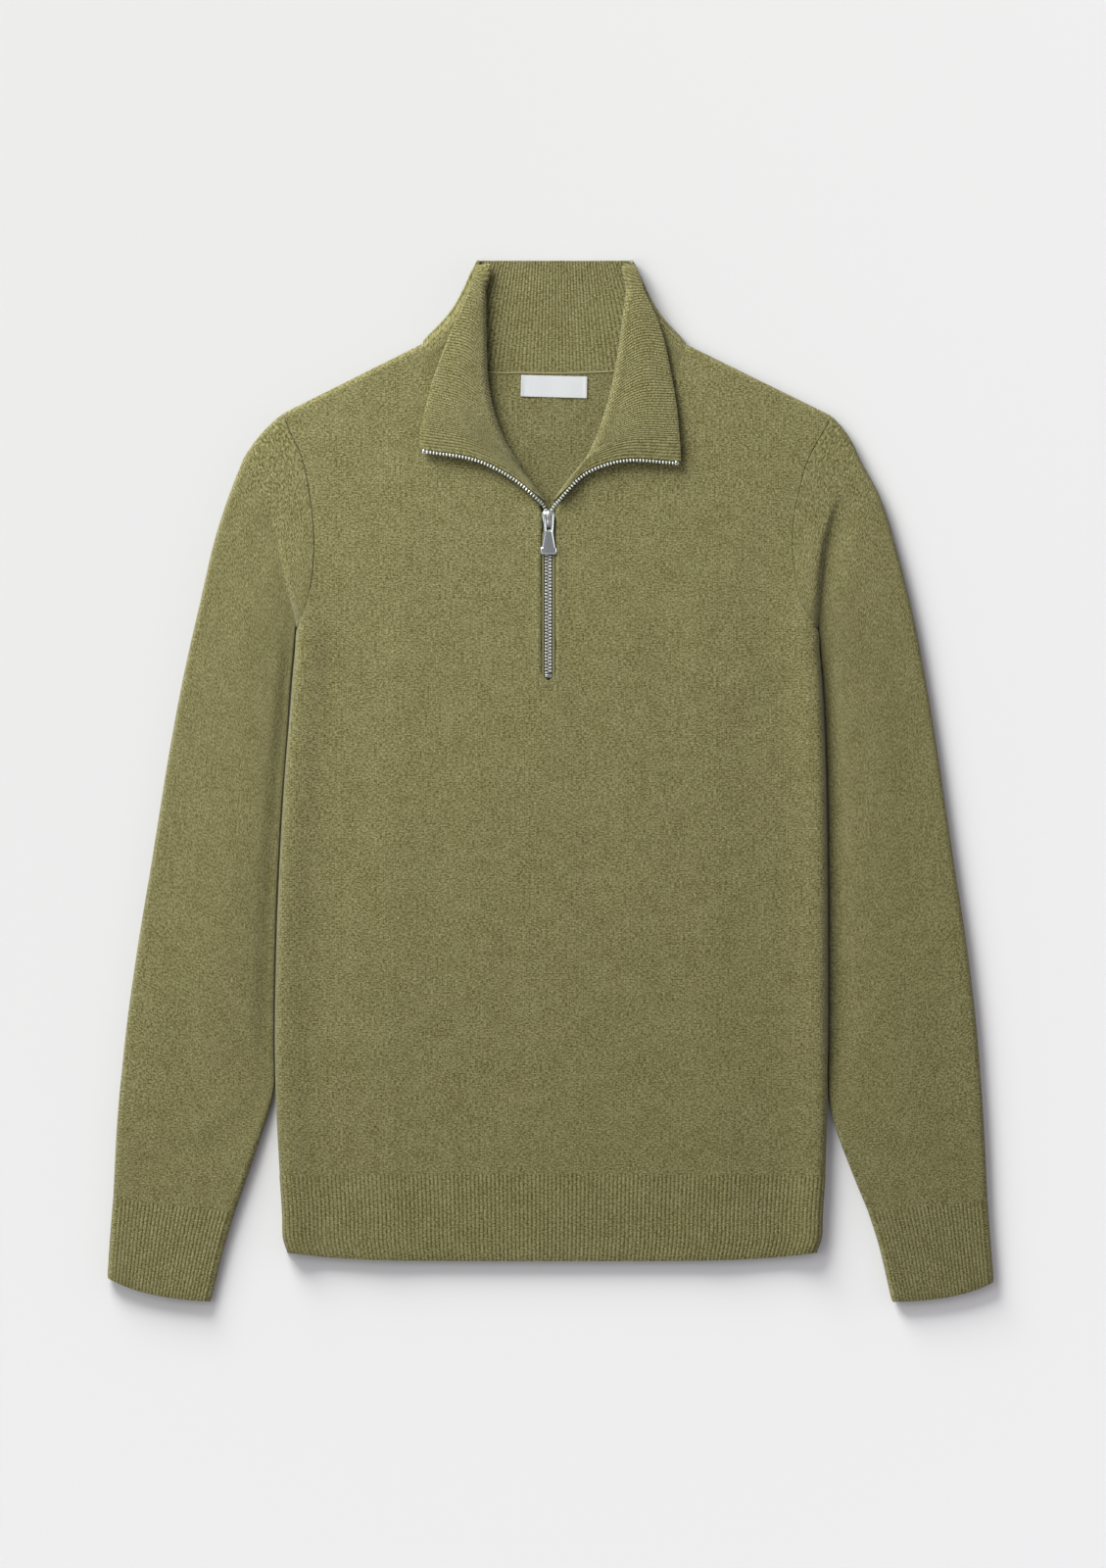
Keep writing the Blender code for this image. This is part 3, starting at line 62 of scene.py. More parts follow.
class Side(Enum):
    """Half of the sweater as seen from above."""

    LEFT = -1
    RIGHT = 1

    @property
    def sign(self) -> int:
        """-1 on the left half and 1 on the right half."""
        return self.value

    @property
    def word(self) -> str:
        """The side's name in node names."""
        return self.name.lower()

    def pick(self, left: Choice, right: Choice) -> Choice:
        """One of two values.

        Args:
            left: Value of the left half.
            right: Value of the right half.

        Returns:
            The value of this side.
        """
        return left if self is Side.LEFT else right


# --------------------------------------------------------------------------
# Curves and grids
# --------------------------------------------------------------------------


def smooth(values: Sequence, knots: Sequence, at: Values) -> np.ndarray:
    """Cubic Hermite curve through rows of values.

    Args:
        values: One value or row of values at each knot.
        knots: Rising positions of the values.
        at: Positions to work out.

    Returns:
        The curve's values at the positions.
    """
    values = np.asarray(values, dtype=float)
    knots = np.asarray(knots, dtype=float)
    at = np.asarray(at, dtype=float)
    slopes = np.gradient(values, knots, axis=0)
    index = np.clip(np.searchsorted(knots, at, side="right") - 1, 0, len(knots) - 2)
    width = knots[index + 1] - knots[index]
    share = (at - knots[index]) / width
    if values.ndim > 1:
        width = width[..., None]
        share = share[..., None]
    first = values[index]
    second = values[index + 1]
    square = share * share
    cube = square * share
    return ((2 * cube - 3 * square + 1) * first + (cube - 2 * square + share) * width * slopes[index]
            + (3 * square - 2 * cube) * second + (cube - square) * width * slopes[index + 1])


def smoothstep(low: float, high: float, value: Values) -> np.ndarray:
    """S curve from 0 at low to 1 at high.

    Args:
        low: Where the curve leaves 0.
        high: Where the curve reaches 1.
        value: Positions to work out.

    Returns:
        The curve's values.
    """
    share = np.clip((value - low) / (high - low), 0.0, 1.0)
    return share * share * (3.0 - 2.0 * share)


def window(rise: Sequence[float], fall: Sequence[float], value: Values) -> np.ndarray:
    """S curve up from 0 to 1 and down again.

    Args:
        rise: Where the curve leaves 0 and reaches 1.
        fall: Where it leaves 1 and is back at 0.
        value: Positions to work out.

    Returns:
        The curve's values.
    """
    return smoothstep(*rise, value) * (1.0 - smoothstep(*fall, value))


def bell(distance: Values, width: float) -> np.ndarray:
    """Bell curve, 1 at the middle and about a third at its width."""
    return np.exp(-(distance / width) ** 2)


def run_lengths(points: np.ndarray) -> np.ndarray:
    """Distance along a line of points at each of them.

    Args:
        points: Points in order.

    Returns:
        Distances, the first 0.
    """
    return np.concatenate([[0.0], np.cumsum(np.linalg.norm(np.diff(points, axis=0), axis=1))])


def interp_rows(at: np.ndarray, knots: np.ndarray, rows: np.ndarray) -> np.ndarray:
    """Straight-line values between rows of values.

    Args:
        at: Positions to work out.
        knots: Rising position of each row.
        rows: A row of values at each knot.

    Returns:
        A row of values at each position.
    """
    return np.stack([np.interp(at, knots, column) for column in rows.T], axis=1)


def unit_rows(vectors: np.ndarray) -> np.ndarray:
    """Vectors scaled to length 1.

    Args:
        vectors: Array whose last axis holds each vector.

    Returns:
        The unit vectors.
    """
    return vectors / np.maximum(np.linalg.norm(vectors, axis=-1, keepdims=True), 1e-9)


def grid_quads(rows: int, columns: int, start: int = 0, ring: bool = False, flip: bool = False
               ) -> list[tuple]:
    """Quads of a grid of points that are numbered row by row.

    Args:
        rows: Number of rows.
        columns: Number of columns.
        start: Number of the first point.
        ring: Whether the last column joins the first.
        flip: Whether the quads face the other way.

    Returns:
        Point numbers of each quad.
    """
    quads = []
    last = columns if ring else columns - 1
    for row in range(rows - 1):
        for column in range(last):
            following = (column + 1) % columns
            quad = (start + row * columns + column, start + row * columns + following,
                    start + (row + 1) * columns + following, start + (row + 1) * columns + column)
            quads.append(quad[::-1] if flip else quad)
    return quads


def grid_normals(grid: np.ndarray) -> np.ndarray:
    """Unit normals of a grid of points.

    Args:
        grid: Points, row by column.

    Returns:
        A normal at each point.
    """
    along = np.gradient(grid, axis=0)
    across = np.gradient(grid, axis=1)
    return unit_rows(np.cross(across, along))


def uv_grid(across: np.ndarray, along: np.ndarray) -> np.ndarray:
    """Texture positions from places across and along that are given for the grid, a row or a column."""
    return np.dstack(np.broadcast_arrays(across, along))


def new_piece(name: str, points: np.ndarray, faces: Iterable[tuple], uvs: np.ndarray | None,
              material: bpy.types.Material, sharp_degrees: float = 60.0) -> bpy.types.Object:
    """Make a mesh object from points in mm.

    Args:
        name: Name of the object.
        points: Points in mm.
        faces: Point numbers of each face.
        uvs: A texture position in mm for each face corner, in order, or None.
        material: The surface's material.
        sharp_degrees: Edges sharper than this stay sharp.

    Returns:
        The new object, linked to the scene.
    """
    mesh = bpy.data.meshes.new(name)
    mesh.from_pydata([tuple(point) for point in np.asarray(points, dtype=float) * MM], [], faces)
    if uvs is not None:
        layer = mesh.uv_layers.new(name="knit")
        layer.data.foreach_set("uv", np.asarray(uvs, dtype=np.float32).ravel())
    mesh.materials.append(material)
    faced = bmesh.new()
    faced.from_mesh(mesh)
    bmesh.ops.recalc_face_normals(faced, faces=faced.faces[:])
    faced.to_mesh(mesh)
    faced.free()
    mesh.shade_smooth()
    mesh.set_sharp_from_angle(angle=math.radians(sharp_degrees))
    mesh.update()
    obj = bpy.data.objects.new(name, mesh)
    bpy.context.scene.collection.objects.link(obj)
    LOG.info("%s: %d faces", name, len(mesh.polygons))
    return obj


class Shell:
    """A closed thin wall of cloth gathered from grids of outer and inner points."""

    def __init__(self) -> None:
        """Start with no points."""
        self.outer: list[np.ndarray] = []
        self.inner: list[np.ndarray] = []
        self.uvs: list[np.ndarray] = []
        self.faces: list[tuple] = []
        self.count = 0

    def add_grid(self, outer: np.ndarray, inner: np.ndarray, uvs: np.ndarray, ring: bool = False,
                 flip: bool = False) -> None:
        """Add one grid of the wall.

        Args:
            outer: Outer points, row by column, in mm.
            inner: Inner points on the same rows and columns.
            uvs: Texture position of each point in mm.
            ring: Whether the last column joins the first.
            flip: Whether the outer face looks the other way.
        """
        rows, columns = outer.shape[:2]
        self.faces += grid_quads(rows, columns, self.count, ring, flip)
        self.outer.append(outer.reshape(-1, 3))
        self.inner.append(inner.reshape(-1, 3))
        self.uvs.append(uvs.reshape(-1, 2))
        self.count += rows * columns

    def build(self, name: str, material: bpy.types.Material) -> bpy.types.Object:
        """Close the wall round its free edges and make the object.

        Args:
            name: Name of the object.
            material: The cloth's material.

        Returns:
            The new object.
        """
        outer = np.concatenate(self.outer)
        inner = np.concatenate(self.inner)
        uvs = np.concatenate(self.uvs)
        index: dict[tuple, int] = {}
        merged = [index.setdefault(tuple(place), len(index)) for place in np.round(outer, 4)]
        count = len(index)
        points = np.zeros((2 * count, 3))
        points[merged] = outer
        points[np.array(merged) + count] = inner
        faces = []
        corners = []
        edges: dict[tuple, list] = {}
        for face in self.faces:
            ids = [merged[v] for v in face]
            faces.append(tuple(ids))
            corners += [uvs[v] for v in face]
            faces.append(tuple(v + count for v in reversed(ids)))
            corners += [uvs[v] for v in reversed(face)]
            for (first, second), pair in zip(zip(ids, ids[1:] + ids[:1]), zip(face, face[1:] + face[:1])):
                edges.setdefault((min(first, second), max(first, second)), []).append((first, second, *pair))
        for uses in edges.values():
            if len(uses) == 1:
                first, second, uv_first, uv_second = uses[0]
                faces.append((second, first, first + count, second + count))
                corners += [uvs[uv_second], uvs[uv_first], uvs[uv_first], uvs[uv_second]]
        return new_piece(name, points, faces, np.array(corners), material)


def sheet_of_cloth(name: str, outer: np.ndarray, inner: np.ndarray, uvs: np.ndarray,
                   material: bpy.types.Material, ring: bool = False) -> bpy.types.Object:
    """A thin wall made from a single grid.

    Args:
        name: Name of the object.
        outer: Outer points, row by column, in mm.
        inner: Inner points on the same rows and columns.
        uvs: Texture position of each point in mm.
        material: The cloth's material.
        ring: Whether the last column joins the first.

    Returns:
        The new object.
    """
    shell = Shell()
    shell.add_grid(outer, inner, uvs, ring)
    return shell.build(name, material)


# --------------------------------------------------------------------------
# Body
# --------------------------------------------------------------------------


class BodyRow(NamedTuple):
    """Ends of a row across each half of the body, in mm."""

    left_in: tuple[float, float]
    left_out: tuple[float, float]
    right_in: tuple[float, float]
    right_out: tuple[float, float]


class EdgePoint(NamedTuple):
    """Edge of the body's raised side at a height, in mm."""

    y: float
    left_x: float
    right_x: float


class Crease(NamedTuple):
    """A soft ridge (height over 0) or trough between two places, in mm."""

    x0: float
    y0: float
    x1: float
    y1: float
    width: float
    height: float


BODY_ROWS = [
    BodyRow((-1.5, -293.3), (-202.9, -294.5), (-1.5, -293.3), (205.8, -294.5)),
    BodyRow((-1.5, -244.0), (-205.6, -244.0), (-1.5, -244.0), (207.3, -244.0)),
    BodyRow((-1.5, -192.6), (-206.5, -192.6), (-1.5, -192.6), (207.3, -192.6)),
    BodyRow((-1.5, -141.0), (-205.8, -141.0), (-1.5, -141.0), (207.3, -141.0)),
    BodyRow((-1.5, -89.7), (-204.3, -89.7), (-1.5, -89.7), (207.3, -89.7)),
    BodyRow((-1.5, -38.2), (-201.8, -38.2), (-1.5, -38.2), (206.8, -38.2)),
    BodyRow((-1.5, 13.2), (-198.5, 13.2), (-1.5, 13.2), (205.8, 13.2)),
    BodyRow((-1.5, 50.0), (-195.4, 50.0), (-1.5, 50.0), (204.3, 50.0)),
    BodyRow((-1.5, 76.0), (-193.3, 79.0), (-1.5, 76.0), (202.9, 79.0)),
    BodyRow((-6.8, 97.0), (-191.5, 98.0), (3.8, 97.0), (201.4, 98.0)),
    BodyRow((-6.8, 112.0), (-190.0, 115.4), (3.8, 112.0), (199.9, 115.4)),
    BodyRow((-6.8, 128.0), (-183.2, 133.8), (3.8, 128.0), (187.5, 133.8)),
    BodyRow((-6.8, 147.0), (-178.5, 154.4), (3.8, 147.0), (182.9, 156.0)),
    BodyRow((-6.8, 168.0), (-177.0, 180.8), (3.8, 168.0), (180.8, 180.0)),
    BodyRow((-6.8, 189.0), (-178.8, 205.8), (3.8, 189.0), (182.9, 204.0)),
    BodyRow((-7.2, 203.5), (-183.2, 232.3), (4.4, 203.5), (189.5, 232.3)),
    BodyRow((-17.5, 218.5), (-187.8, 247.7), (14.0, 218.5), (195.7, 247.7)),
    BodyRow((-45.6, 242.0), (-191.0, 254.5), (42.0, 244.0), (200.0, 255.5)),
    BodyRow((-66.0, 259.0), (-194.2, 261.0), (66.0, 263.0), (203.5, 261.5)),
    BodyRow((-78.6, 277.8), (-196.5, 266.5), (81.0, 282.0), (206.3, 266.0)),
    BodyRow((-87.5, 303.6), (-198.4, 271.5), (93.0, 304.3), (208.4, 270.3)),
    BodyRow((-95.6, 328.6), (-199.9, 276.4), (101.4, 328.0), (210.2, 274.5)),
]
BODY_EDGE = [
    EdgePoint(-294.5, -202.9, 205.8),
    EdgePoint(-192.6, -206.5, 207.3),
    EdgePoint(-89.7, -204.3, 207.3),
    EdgePoint(13.2, -198.5, 205.8),
    EdgePoint(79.0, -193.3, 202.9),
    EdgePoint(115.4, -190.0, 199.9),
    EdgePoint(136.7, -194.8, 201.6),
    EdgePoint(154.4, -199.2, 202.9),
    EdgePoint(178.6, -203.6, 205.8),
    EdgePoint(196.2, -208.0, 210.2),
    EdgePoint(212.0, -214.0, 215.4),
    EdgePoint(225.0, -220.5, 221.5),
    EdgePoint(242.0, -229.5, 231.0),
]
BODY_CREASES = [
    Crease(-176.0, 118.0, -118.0, 92.0, 9.0, 0.45),
    Crease(-170.0, 100.0, -126.0, 58.0, 11.0, -0.4),
    Crease(-182.0, 60.0, -150.0, 8.0, 10.0, 0.35),
    Crease(-150.0, 214.0, -122.0, 168.0, 12.0, 0.35),
    Crease(-120.0, -40.0, -104.0, -150.0, 16.0, 0.3),
    Crease(-60.0, 40.0, -48.0, -90.0, 20.0, 0.3),
    Crease(-34.0, -120.0, -40.0, -230.0, 18.0, -0.3),
    Crease(24.0, 50.0, 40.0, -70.0, 20.0, -0.3),
    Crease(70.0, 20.0, 62.0, -120.0, 20.0, 0.32),
    Crease(126.0, -10.0, 140.0, -160.0, 18.0, -0.3),
    Crease(184.0, 92.0, 140.0, 72.0, 9.0, 0.4),
    Crease(178.0, 70.0, 140.0, 34.0, 11.0, -0.35),
    Crease(160.0, 210.0, 130.0, 158.0, 12.0, 0.35),
    Crease(20.0, -180.0, 24.0, -270.0, 16.0, 0.28),
    Crease(150.0, -190.0, 156.0, -276.0, 14.0, 0.25),
    Crease(-150.0, -190.0, -158.0, -280.0, 14.0, 0.25),
]


def crease_height(creases: Sequence[Crease], x: np.ndarray, y: np.ndarray) -> np.ndarray:
    """Height added by soft creases, fading out at their ends.

    Args:
        creases: The creases.
        x: Places across, in mm.
        y: Places along, in mm.

    Returns:
        Added height in mm.
    """
    height = np.zeros_like(np.asarray(x, dtype=float) + np.asarray(y, dtype=float))
    for crease in creases:
        way_x, way_y = crease.x1 - crease.x0, crease.y1 - crease.y0
        length = math.hypot(way_x, way_y)
        along = ((x - crease.x0) * way_x + (y - crease.y0) * way_y) / length
        aside = ((x - crease.x0) * way_y - (y - crease.y0) * way_x) / length
        beyond = np.maximum(np.maximum(-along, along - length), 0.0)
        height += crease.height * bell(aside, crease.width) * bell(beyond, 1.6 * crease.width)
    return height


def under_angle(radius: float) -> float:
    """Angle where the front's roll stops, just above the back.

    Args:
        radius: Radius of the roll in mm.

    Returns:
        The angle in degrees below level, negative.
    """
    return -math.degrees(math.asin(1.0 - (BodyForm.back_wall + BodyForm.seam_gap) / radius))


def roll_section(radius: float, depth: Values, turn: Values) -> tuple[np.ndarray, np.ndarray]:
    """Section of a rolled edge.

    Args:
        radius: Radius of the roll's outside in mm.
        depth: Depth below the outer face in mm.
        turn: 0 at its top to 1 at its lower end.

    Returns:
        Inset from the edge and height, in mm.
    """
    angle = np.radians(90.0 - np.asarray(turn) * (90.0 - under_angle(radius)))
    reach = radius - depth
    return radius - reach * np.cos(angle), radius + reach * np.sin(angle)


@dataclass(frozen=True)
class BodyForm:
    """Sizes and shape of the body's front and back, in mm."""

    wall: float = 2.6
    back_wall: float = 2.6
    seam_gap: float = 0.3
    sewn_gap: float = 0.04
    panel_top: float = 8.3
    side_top: float = 12.4
    crease_top: float = 7.0
    centre_x: float = -1.5
    slit_half: float = 5.3
    slit_row: float = 8.0
    slit_round_rows: float = 0.25
    slit_ridge: float = 0.5
    slit_ridge_inside: float = 2.4
    slit_ridge_width: float = 1.3
    slit_ridge_last_row: float = 15.5
    armpit_row: float = 10.0
    crest_width: float = 15.0
    crest_ends: tuple[float, float] = (125.0, 222.0)
    side_ridge: float = 0.9
    side_ridge_inside: float = 82.0
    side_ridge_width: float = 22.0
    side_ridge_ends: tuple[float, float] = (60.0, 200.0)
    chest_rise: float = 0.4
    chest_width: float = 60.0
    chest_ends: tuple[float, float] = (-150.0, 50.0)

    @property
    def side_radius(self) -> float:
        """Radius of the rolled sides."""
        return 0.5 * self.side_top

    @property
    def shoulder_radius(self) -> float:
        """Radius of the rolled shoulders."""
        return 0.5 * (self.panel_top + 0.4)

    @property
    def shoulder_row(self) -> float:
        """Row number of the shoulder line."""
        return float(len(BODY_ROWS) - 1)

    def boundary(self, side: Side, part: str, row: float) -> np.ndarray:
        """Point of the body's inner or outer boundary.

        Args:
            side: Half of the body.
            part: "in" for the centre, slit and neckline, "out" for side and armhole.
            row: Row number.

        Returns:
            The point in mm.
        """
        values = np.array([getattr(entry, f"{side.word}_{part}") for entry in BODY_ROWS])
        point = smooth(values, np.arange(len(BODY_ROWS)), min(max(row, 0.0), self.shoulder_row))
        if part == "in" and row < self.slit_row + 1.0:
            share = min(max((row - self.slit_row) / self.slit_round_rows, 0.0), 1.0)
            point[0] = self.centre_x + side.sign * self.slit_half * math.sin(0.5 * math.pi * share)
        return point

    def inside_edge(self, side: Side, x: np.ndarray, y: np.ndarray) -> np.ndarray:
        """Distance in from the edge of the raised side.

        Args:
            side: Half of the body.
            x: Places across in mm.
            y: Places along in mm.

        Returns:
            Distances in mm, negative outside.
        """
        heights = np.array([entry.y for entry in BODY_EDGE])
        edge = np.array([side.pick(entry.left_x, entry.right_x) for entry in BODY_EDGE])
        at = np.clip(y, heights[0], heights[-1])
        step = 0.5
        slope = (smooth(edge, heights, np.clip(at + step, heights[0], heights[-1]))
                 - smooth(edge, heights, np.clip(at - step, heights[0], heights[-1]))) / (2.0 * step)
        return (smooth(edge, heights, at) - x) * side.sign / np.sqrt(1.0 + slope * slope)

    def side_crest(self, y: np.ndarray) -> np.ndarray:
        """Share of the side's raised crest that is left at a height on the body."""
        return 1.0 - smoothstep(*self.crest_ends, y)

    def level(self, inside: np.ndarray, x: np.ndarray, y: np.ndarray) -> np.ndarray:
        """Height of the upper face at a distance in from its side.

        Args:
            inside: Distance in from the side's edge in mm.
            x: Places across in mm.
            y: Places along in mm.

        Returns:
            Heights in mm.
        """
        rise = self.side_top - self.panel_top - 0.2
        crest = rise * bell(np.maximum(inside - self.side_radius, 0.0), self.crest_width)
        ridge = self.side_ridge * bell(inside - self.side_ridge_inside, self.side_ridge_width)
        ridge = ridge * (1.0 - smoothstep(*self.side_ridge_ends, y))
        chest = self.chest_rise * bell(x, self.chest_width) * smoothstep(*self.chest_ends, y)
        return self.panel_top + 0.2 + crest * self.side_crest(y) + ridge + chest

    def top(self, side: Side, x: np.ndarray, y: np.ndarray) -> np.ndarray:
        """Height of the upper face with its soft creases."""
        inside = self.inside_edge(side, x, y)
        off_middle = np.abs(x - self.centre_x)
        flat = smoothstep(8.0, 22.0, inside) * smoothstep(-294.0, -276.0, y)
        flat = flat * smoothstep(6.0, 24.0, off_middle)
        return self.level(inside, x, y) + crease_height(BODY_CREASES, x, y) * flat

    def over_fold(self, side: Side, x: np.ndarray, y: np.ndarray, low: Values) -> np.ndarray:
        """Upper face across the fold: low outside it and the body's height inside."""
        share = np.clip(self.inside_edge(side, x, y) / self.side_radius, 0.0, 1.0)
        rise = np.sqrt(np.clip(1.0 - (1.0 - share) ** 2, 0.0, 1.0))
        return low + (self.top(side, x, y) - low) * rise

    def shoulder_inward(self, side: Side) -> np.ndarray:
        """Unit direction in from the shoulder's edge."""
        top_in = self.boundary(side, "in", self.shoulder_row)
        top_out = self.boundary(side, "out", self.shoulder_row)
        line = (top_out - top_in) / np.linalg.norm(top_out - top_in)
        return np.array([line[1], -line[0]]) * side.sign

    def front_row(self, side: Side, row: float, columns: np.ndarray, depth: float) -> np.ndarray:
        """One row of the front.

        Args:
            side: Half of the body.
            row: Row number; past the shoulder's it goes round the shoulder's roll.
            columns: 0 to 1 on the flat and 1 to 2 round the side's roll.
            depth: Depth below the outer face in mm.

        Returns:
            Points in mm.
        """
        turn = max(0.0, row - self.shoulder_row)
        base_row = min(row, self.shoulder_row)
        inner = self.boundary(side, "in", base_row)
        outer = self.boundary(side, "out", base_row)
        length = float(np.linalg.norm(outer - inner))
        way = (outer - inner) / length
        edge = np.maximum(columns - 1.0, 0.0)
        reach = (length - self.side_radius) * np.minimum(columns, 1.0) + self.side_radius * edge
        reach = np.minimum(reach, length - 0.5 * self.sewn_gap)
        place = inner + way * reach[:, None]
        height = self.over_fold(side, place[:, 0], place[:, 1], self.crease_top) - depth
        beside_slit = smoothstep(self.slit_row - 0.1, self.slit_row + 0.4, base_row)
        beside_slit = beside_slit * (base_row < self.slit_ridge_last_row)
        ridge = bell(reach - self.slit_ridge_inside, self.slit_ridge_width)
        height = height + self.slit_ridge * beside_slit * ridge
        if base_row <= self.armpit_row:
            inset, rolled = roll_section(self.side_radius, depth, edge)
            round_edge = edge > 0.0
            place[round_edge] = inner + way * (length - inset[round_edge])[:, None]
            height[round_edge] = rolled[round_edge]
        else:
            place, height = self.roll_shoulder(side, place, height, turn, depth)
        return np.column_stack([place, height])

    def roll_shoulder(self, side: Side, place: np.ndarray, height: np.ndarray, turn: float, depth: float
                      ) -> tuple[np.ndarray, np.ndarray]:
        """Bend a row of the front round the shoulder's roll.

        Args:
            side: Half of the body.
            place: Places seen from above in mm.
            height: Heights before the roll in mm.
            turn: 0 up to the shoulder's edge, then up to 1 round its under side.
            depth: Depth below the outer face in mm.

        Returns:
            Places and heights on the roll.
        """
        radius = self.shoulder_radius
        inward = self.shoulder_inward(side)
        inside = (place - self.boundary(side, "in", self.shoulder_row)) @ inward
        last = math.radians(90.0 - under_angle(radius))
        angle = np.arcsin(np.clip(1.0 - inside / radius, 0.0, 1.0)) + turn * (last - 0.5 * math.pi)
        rolled = np.sin(angle) > 1e-6
        inset = radius - (radius - depth) * np.sin(angle) - inside
        place = place + inward * np.where(rolled, inset, 0.0)[:, None]
        side_level = height + depth - radius
        drop = (1.0 - depth / radius) * (side_level - self.back_wall - self.seam_gap) / math.cos(last)
        above = side_level + (radius - depth) * np.cos(angle)
        return place, np.where(angle > 0.5 * math.pi, side_level - drop * np.cos(angle), above)


# --------------------------------------------------------------------------
# Sleeves and cuffs
# --------------------------------------------------------------------------


class TubeRow(NamedTuple):
    """Edges of a sleeve or cuff at a share of its length, in mm."""

    share: float
    left_out: tuple[float, float]
    left_in: tuple[float, float]
    right_out: tuple[float, float]
    right_in: tuple[float, float]


SLEEVE_ROWS = [
    TubeRow(0.00, (-229.3, 241.1), (-190.9, 116.2), (231.0, 242.0), (200.8, 116.2)),
    TubeRow(0.07, (-239.6, 216.5), (-192.4, 98.0), (246.2, 214.0), (202.3, 98.0)),
    TubeRow(0.15, (-251.0, 183.0), (-195.3, 68.0), (258.0, 178.0), (204.7, 68.0)),
    TubeRow(0.25, (-262.8, 134.0), (-198.0, 28.0), (270.5, 130.0), (206.4, 28.0)),
    TubeRow(0.37, (-275.2, 79.0), (-201.4, -18.0), (281.2, 76.0), (207.6, -18.0)),
    TubeRow(0.50, (-286.5, 18.0), (-204.6, -76.0), (291.0, 16.0), (208.3, -76.0)),
    TubeRow(0.63, (-298.5, -57.0), (-206.6, -134.0), (301.8, -57.0), (208.5, -134.0)),
    TubeRow(0.76, (-311.0, -134.0), (-207.4, -194.0), (313.5, -134.0), (208.5, -194.0)),
    TubeRow(0.86, (-319.4, -198.0), (-208.0, -236.0), (320.5, -198.0), (208.6, -238.0)),
    TubeRow(0.92, (-324.6, -252.0), (-216.0, -262.5), (324.4, -252.0), (215.0, -264.0)),
    TubeRow(0.96, (-326.4, -283.0), (-225.5, -291.0), (326.0, -281.0), (226.5, -294.0)),
    TubeRow(1.00, (-327.8, -311.6), (-236.5, -322.3), (327.4, -312.7), (237.9, -321.7)),
]
CUFF_ROWS = [
    TubeRow(0.0, (-327.8, -311.6), (-236.5, -322.3), (327.4, -312.7), (237.9, -321.7)),
    TubeRow(0.5, (-330.2, -341.0), (-244.6, -349.0), (329.6, -342.0), (246.4, -349.0)),
    TubeRow(1.0, (-332.2, -371.4), (-254.7, -389.2), (332.2, -374.4), (255.8, -389.4)),
]
SLEEVE_CREASES = [
    Crease(-200.0, 232.0, -228.0, 190.0, 7.0, 0.4),
    Crease(-206.0, 196.0, -226.0, 150.0, 8.0, -0.4),
    Crease(-204.0, 160.0, -214.0, 118.0, 7.0, 0.5),
    Crease(-232.0, 120.0, -246.0, 10.0, 12.0, 0.45),
    Crease(-262.0, 60.0, -276.0, -60.0, 10.0, -0.35),
    Crease(-236.0, -40.0, -250.0, -170.0, 13.0, 0.45),
    Crease(-300.0, -120.0, -308.0, -230.0, 10.0, 0.3),
    Crease(-226.0, -230.0, -262.0, -262.0, 9.0, 0.45),
    Crease(-236.0, -262.0, -300.0, -288.0, 10.0, -0.35),
    Crease(-248.0, -296.0, -310.0, -300.0, 9.0, 0.35),
    Crease(212.0, 236.0, 236.0, 190.0, 7.0, 0.4),
    Crease(214.0, 190.0, 240.0, 150.0, 8.0, -0.4),
    Crease(212.0, 150.0, 230.0, 110.0, 7.0, 0.5),
    Crease(240.0, 110.0, 252.0, -10.0, 12.0, 0.45),
    Crease(272.0, 40.0, 282.0, -90.0, 10.0, -0.35),
    Crease(240.0, -60.0, 256.0, -180.0, 13.0, 0.45),
    Crease(304.0, -110.0, 312.0, -220.0, 10.0, 0.3),
    Crease(228.0, -238.0, 264.0, -268.0, 9.0, 0.45),
    Crease(240.0, -270.0, 300.0, -292.0, 10.0, -0.35),
    Crease(250.0, -300.0, 312.0, -302.0, 9.0, 0.35),
]


SLEEVE_TOP = 9.0
SLEEVE_RIPPLE = 0.35


def tube_row(rows: Sequence[TubeRow], side: Side, share: float) -> tuple[np.ndarray, np.ndarray]:
    """Outer and inner edge of a tube of cloth at a share of its length.

    Args:
        rows: Table of the tube's edges.
        side: Which sleeve.
        share: Share of the length.

    Returns:
        The two edge points in mm.
    """
    shares = [row.share for row in rows]
    outer = smooth([getattr(row, f"{side.word}_out") for row in rows], shares, share)
    inner = smooth([getattr(row, f"{side.word}_in") for row in rows], shares, share)
    return outer, inner


def sleeve_level(across: np.ndarray, along: float) -> np.ndarray:
    """Height of a sleeve's upper face.

    Args:
        across: Share of the way from the outer to the inner edge.
        along: Share of the length.

    Returns:
        Heights in mm.
    """
    beside = 1.0 - smoothstep(0.82, 0.96, along)
    lowered = (SLEEVE_TOP - BodyForm.crease_top) * smoothstep(0.45, 1.0, across)
    ripple = SLEEVE_RIPPLE * np.sin(2.0 * math.pi * (1.6 * along + 0.5 * across))
    return SLEEVE_TOP - lowered * (0.35 + 0.65 * beside) + ripple * smoothstep(0.1, 0.3, along)


def edge_arc(edge: np.ndarray, way: np.ndarray, radius: float, depth: float, angles: np.ndarray
             ) -> np.ndarray:
    """Points round the edge of a tube that lies on the ground.

    Args:
        edge: Outermost place of the edge in mm.
        way: Unit direction outwards.
        radius: Half of the tube's thickness in mm.
        depth: Depth below the outer face in mm.
        angles: Angles above level in degrees.

    Returns:
        Points in mm.
    """
    turn = np.radians(angles)
    reach = radius - depth
    place = edge - way * (radius - reach * np.cos(turn))[:, None]
    return np.column_stack([place, radius + reach * np.sin(turn)])


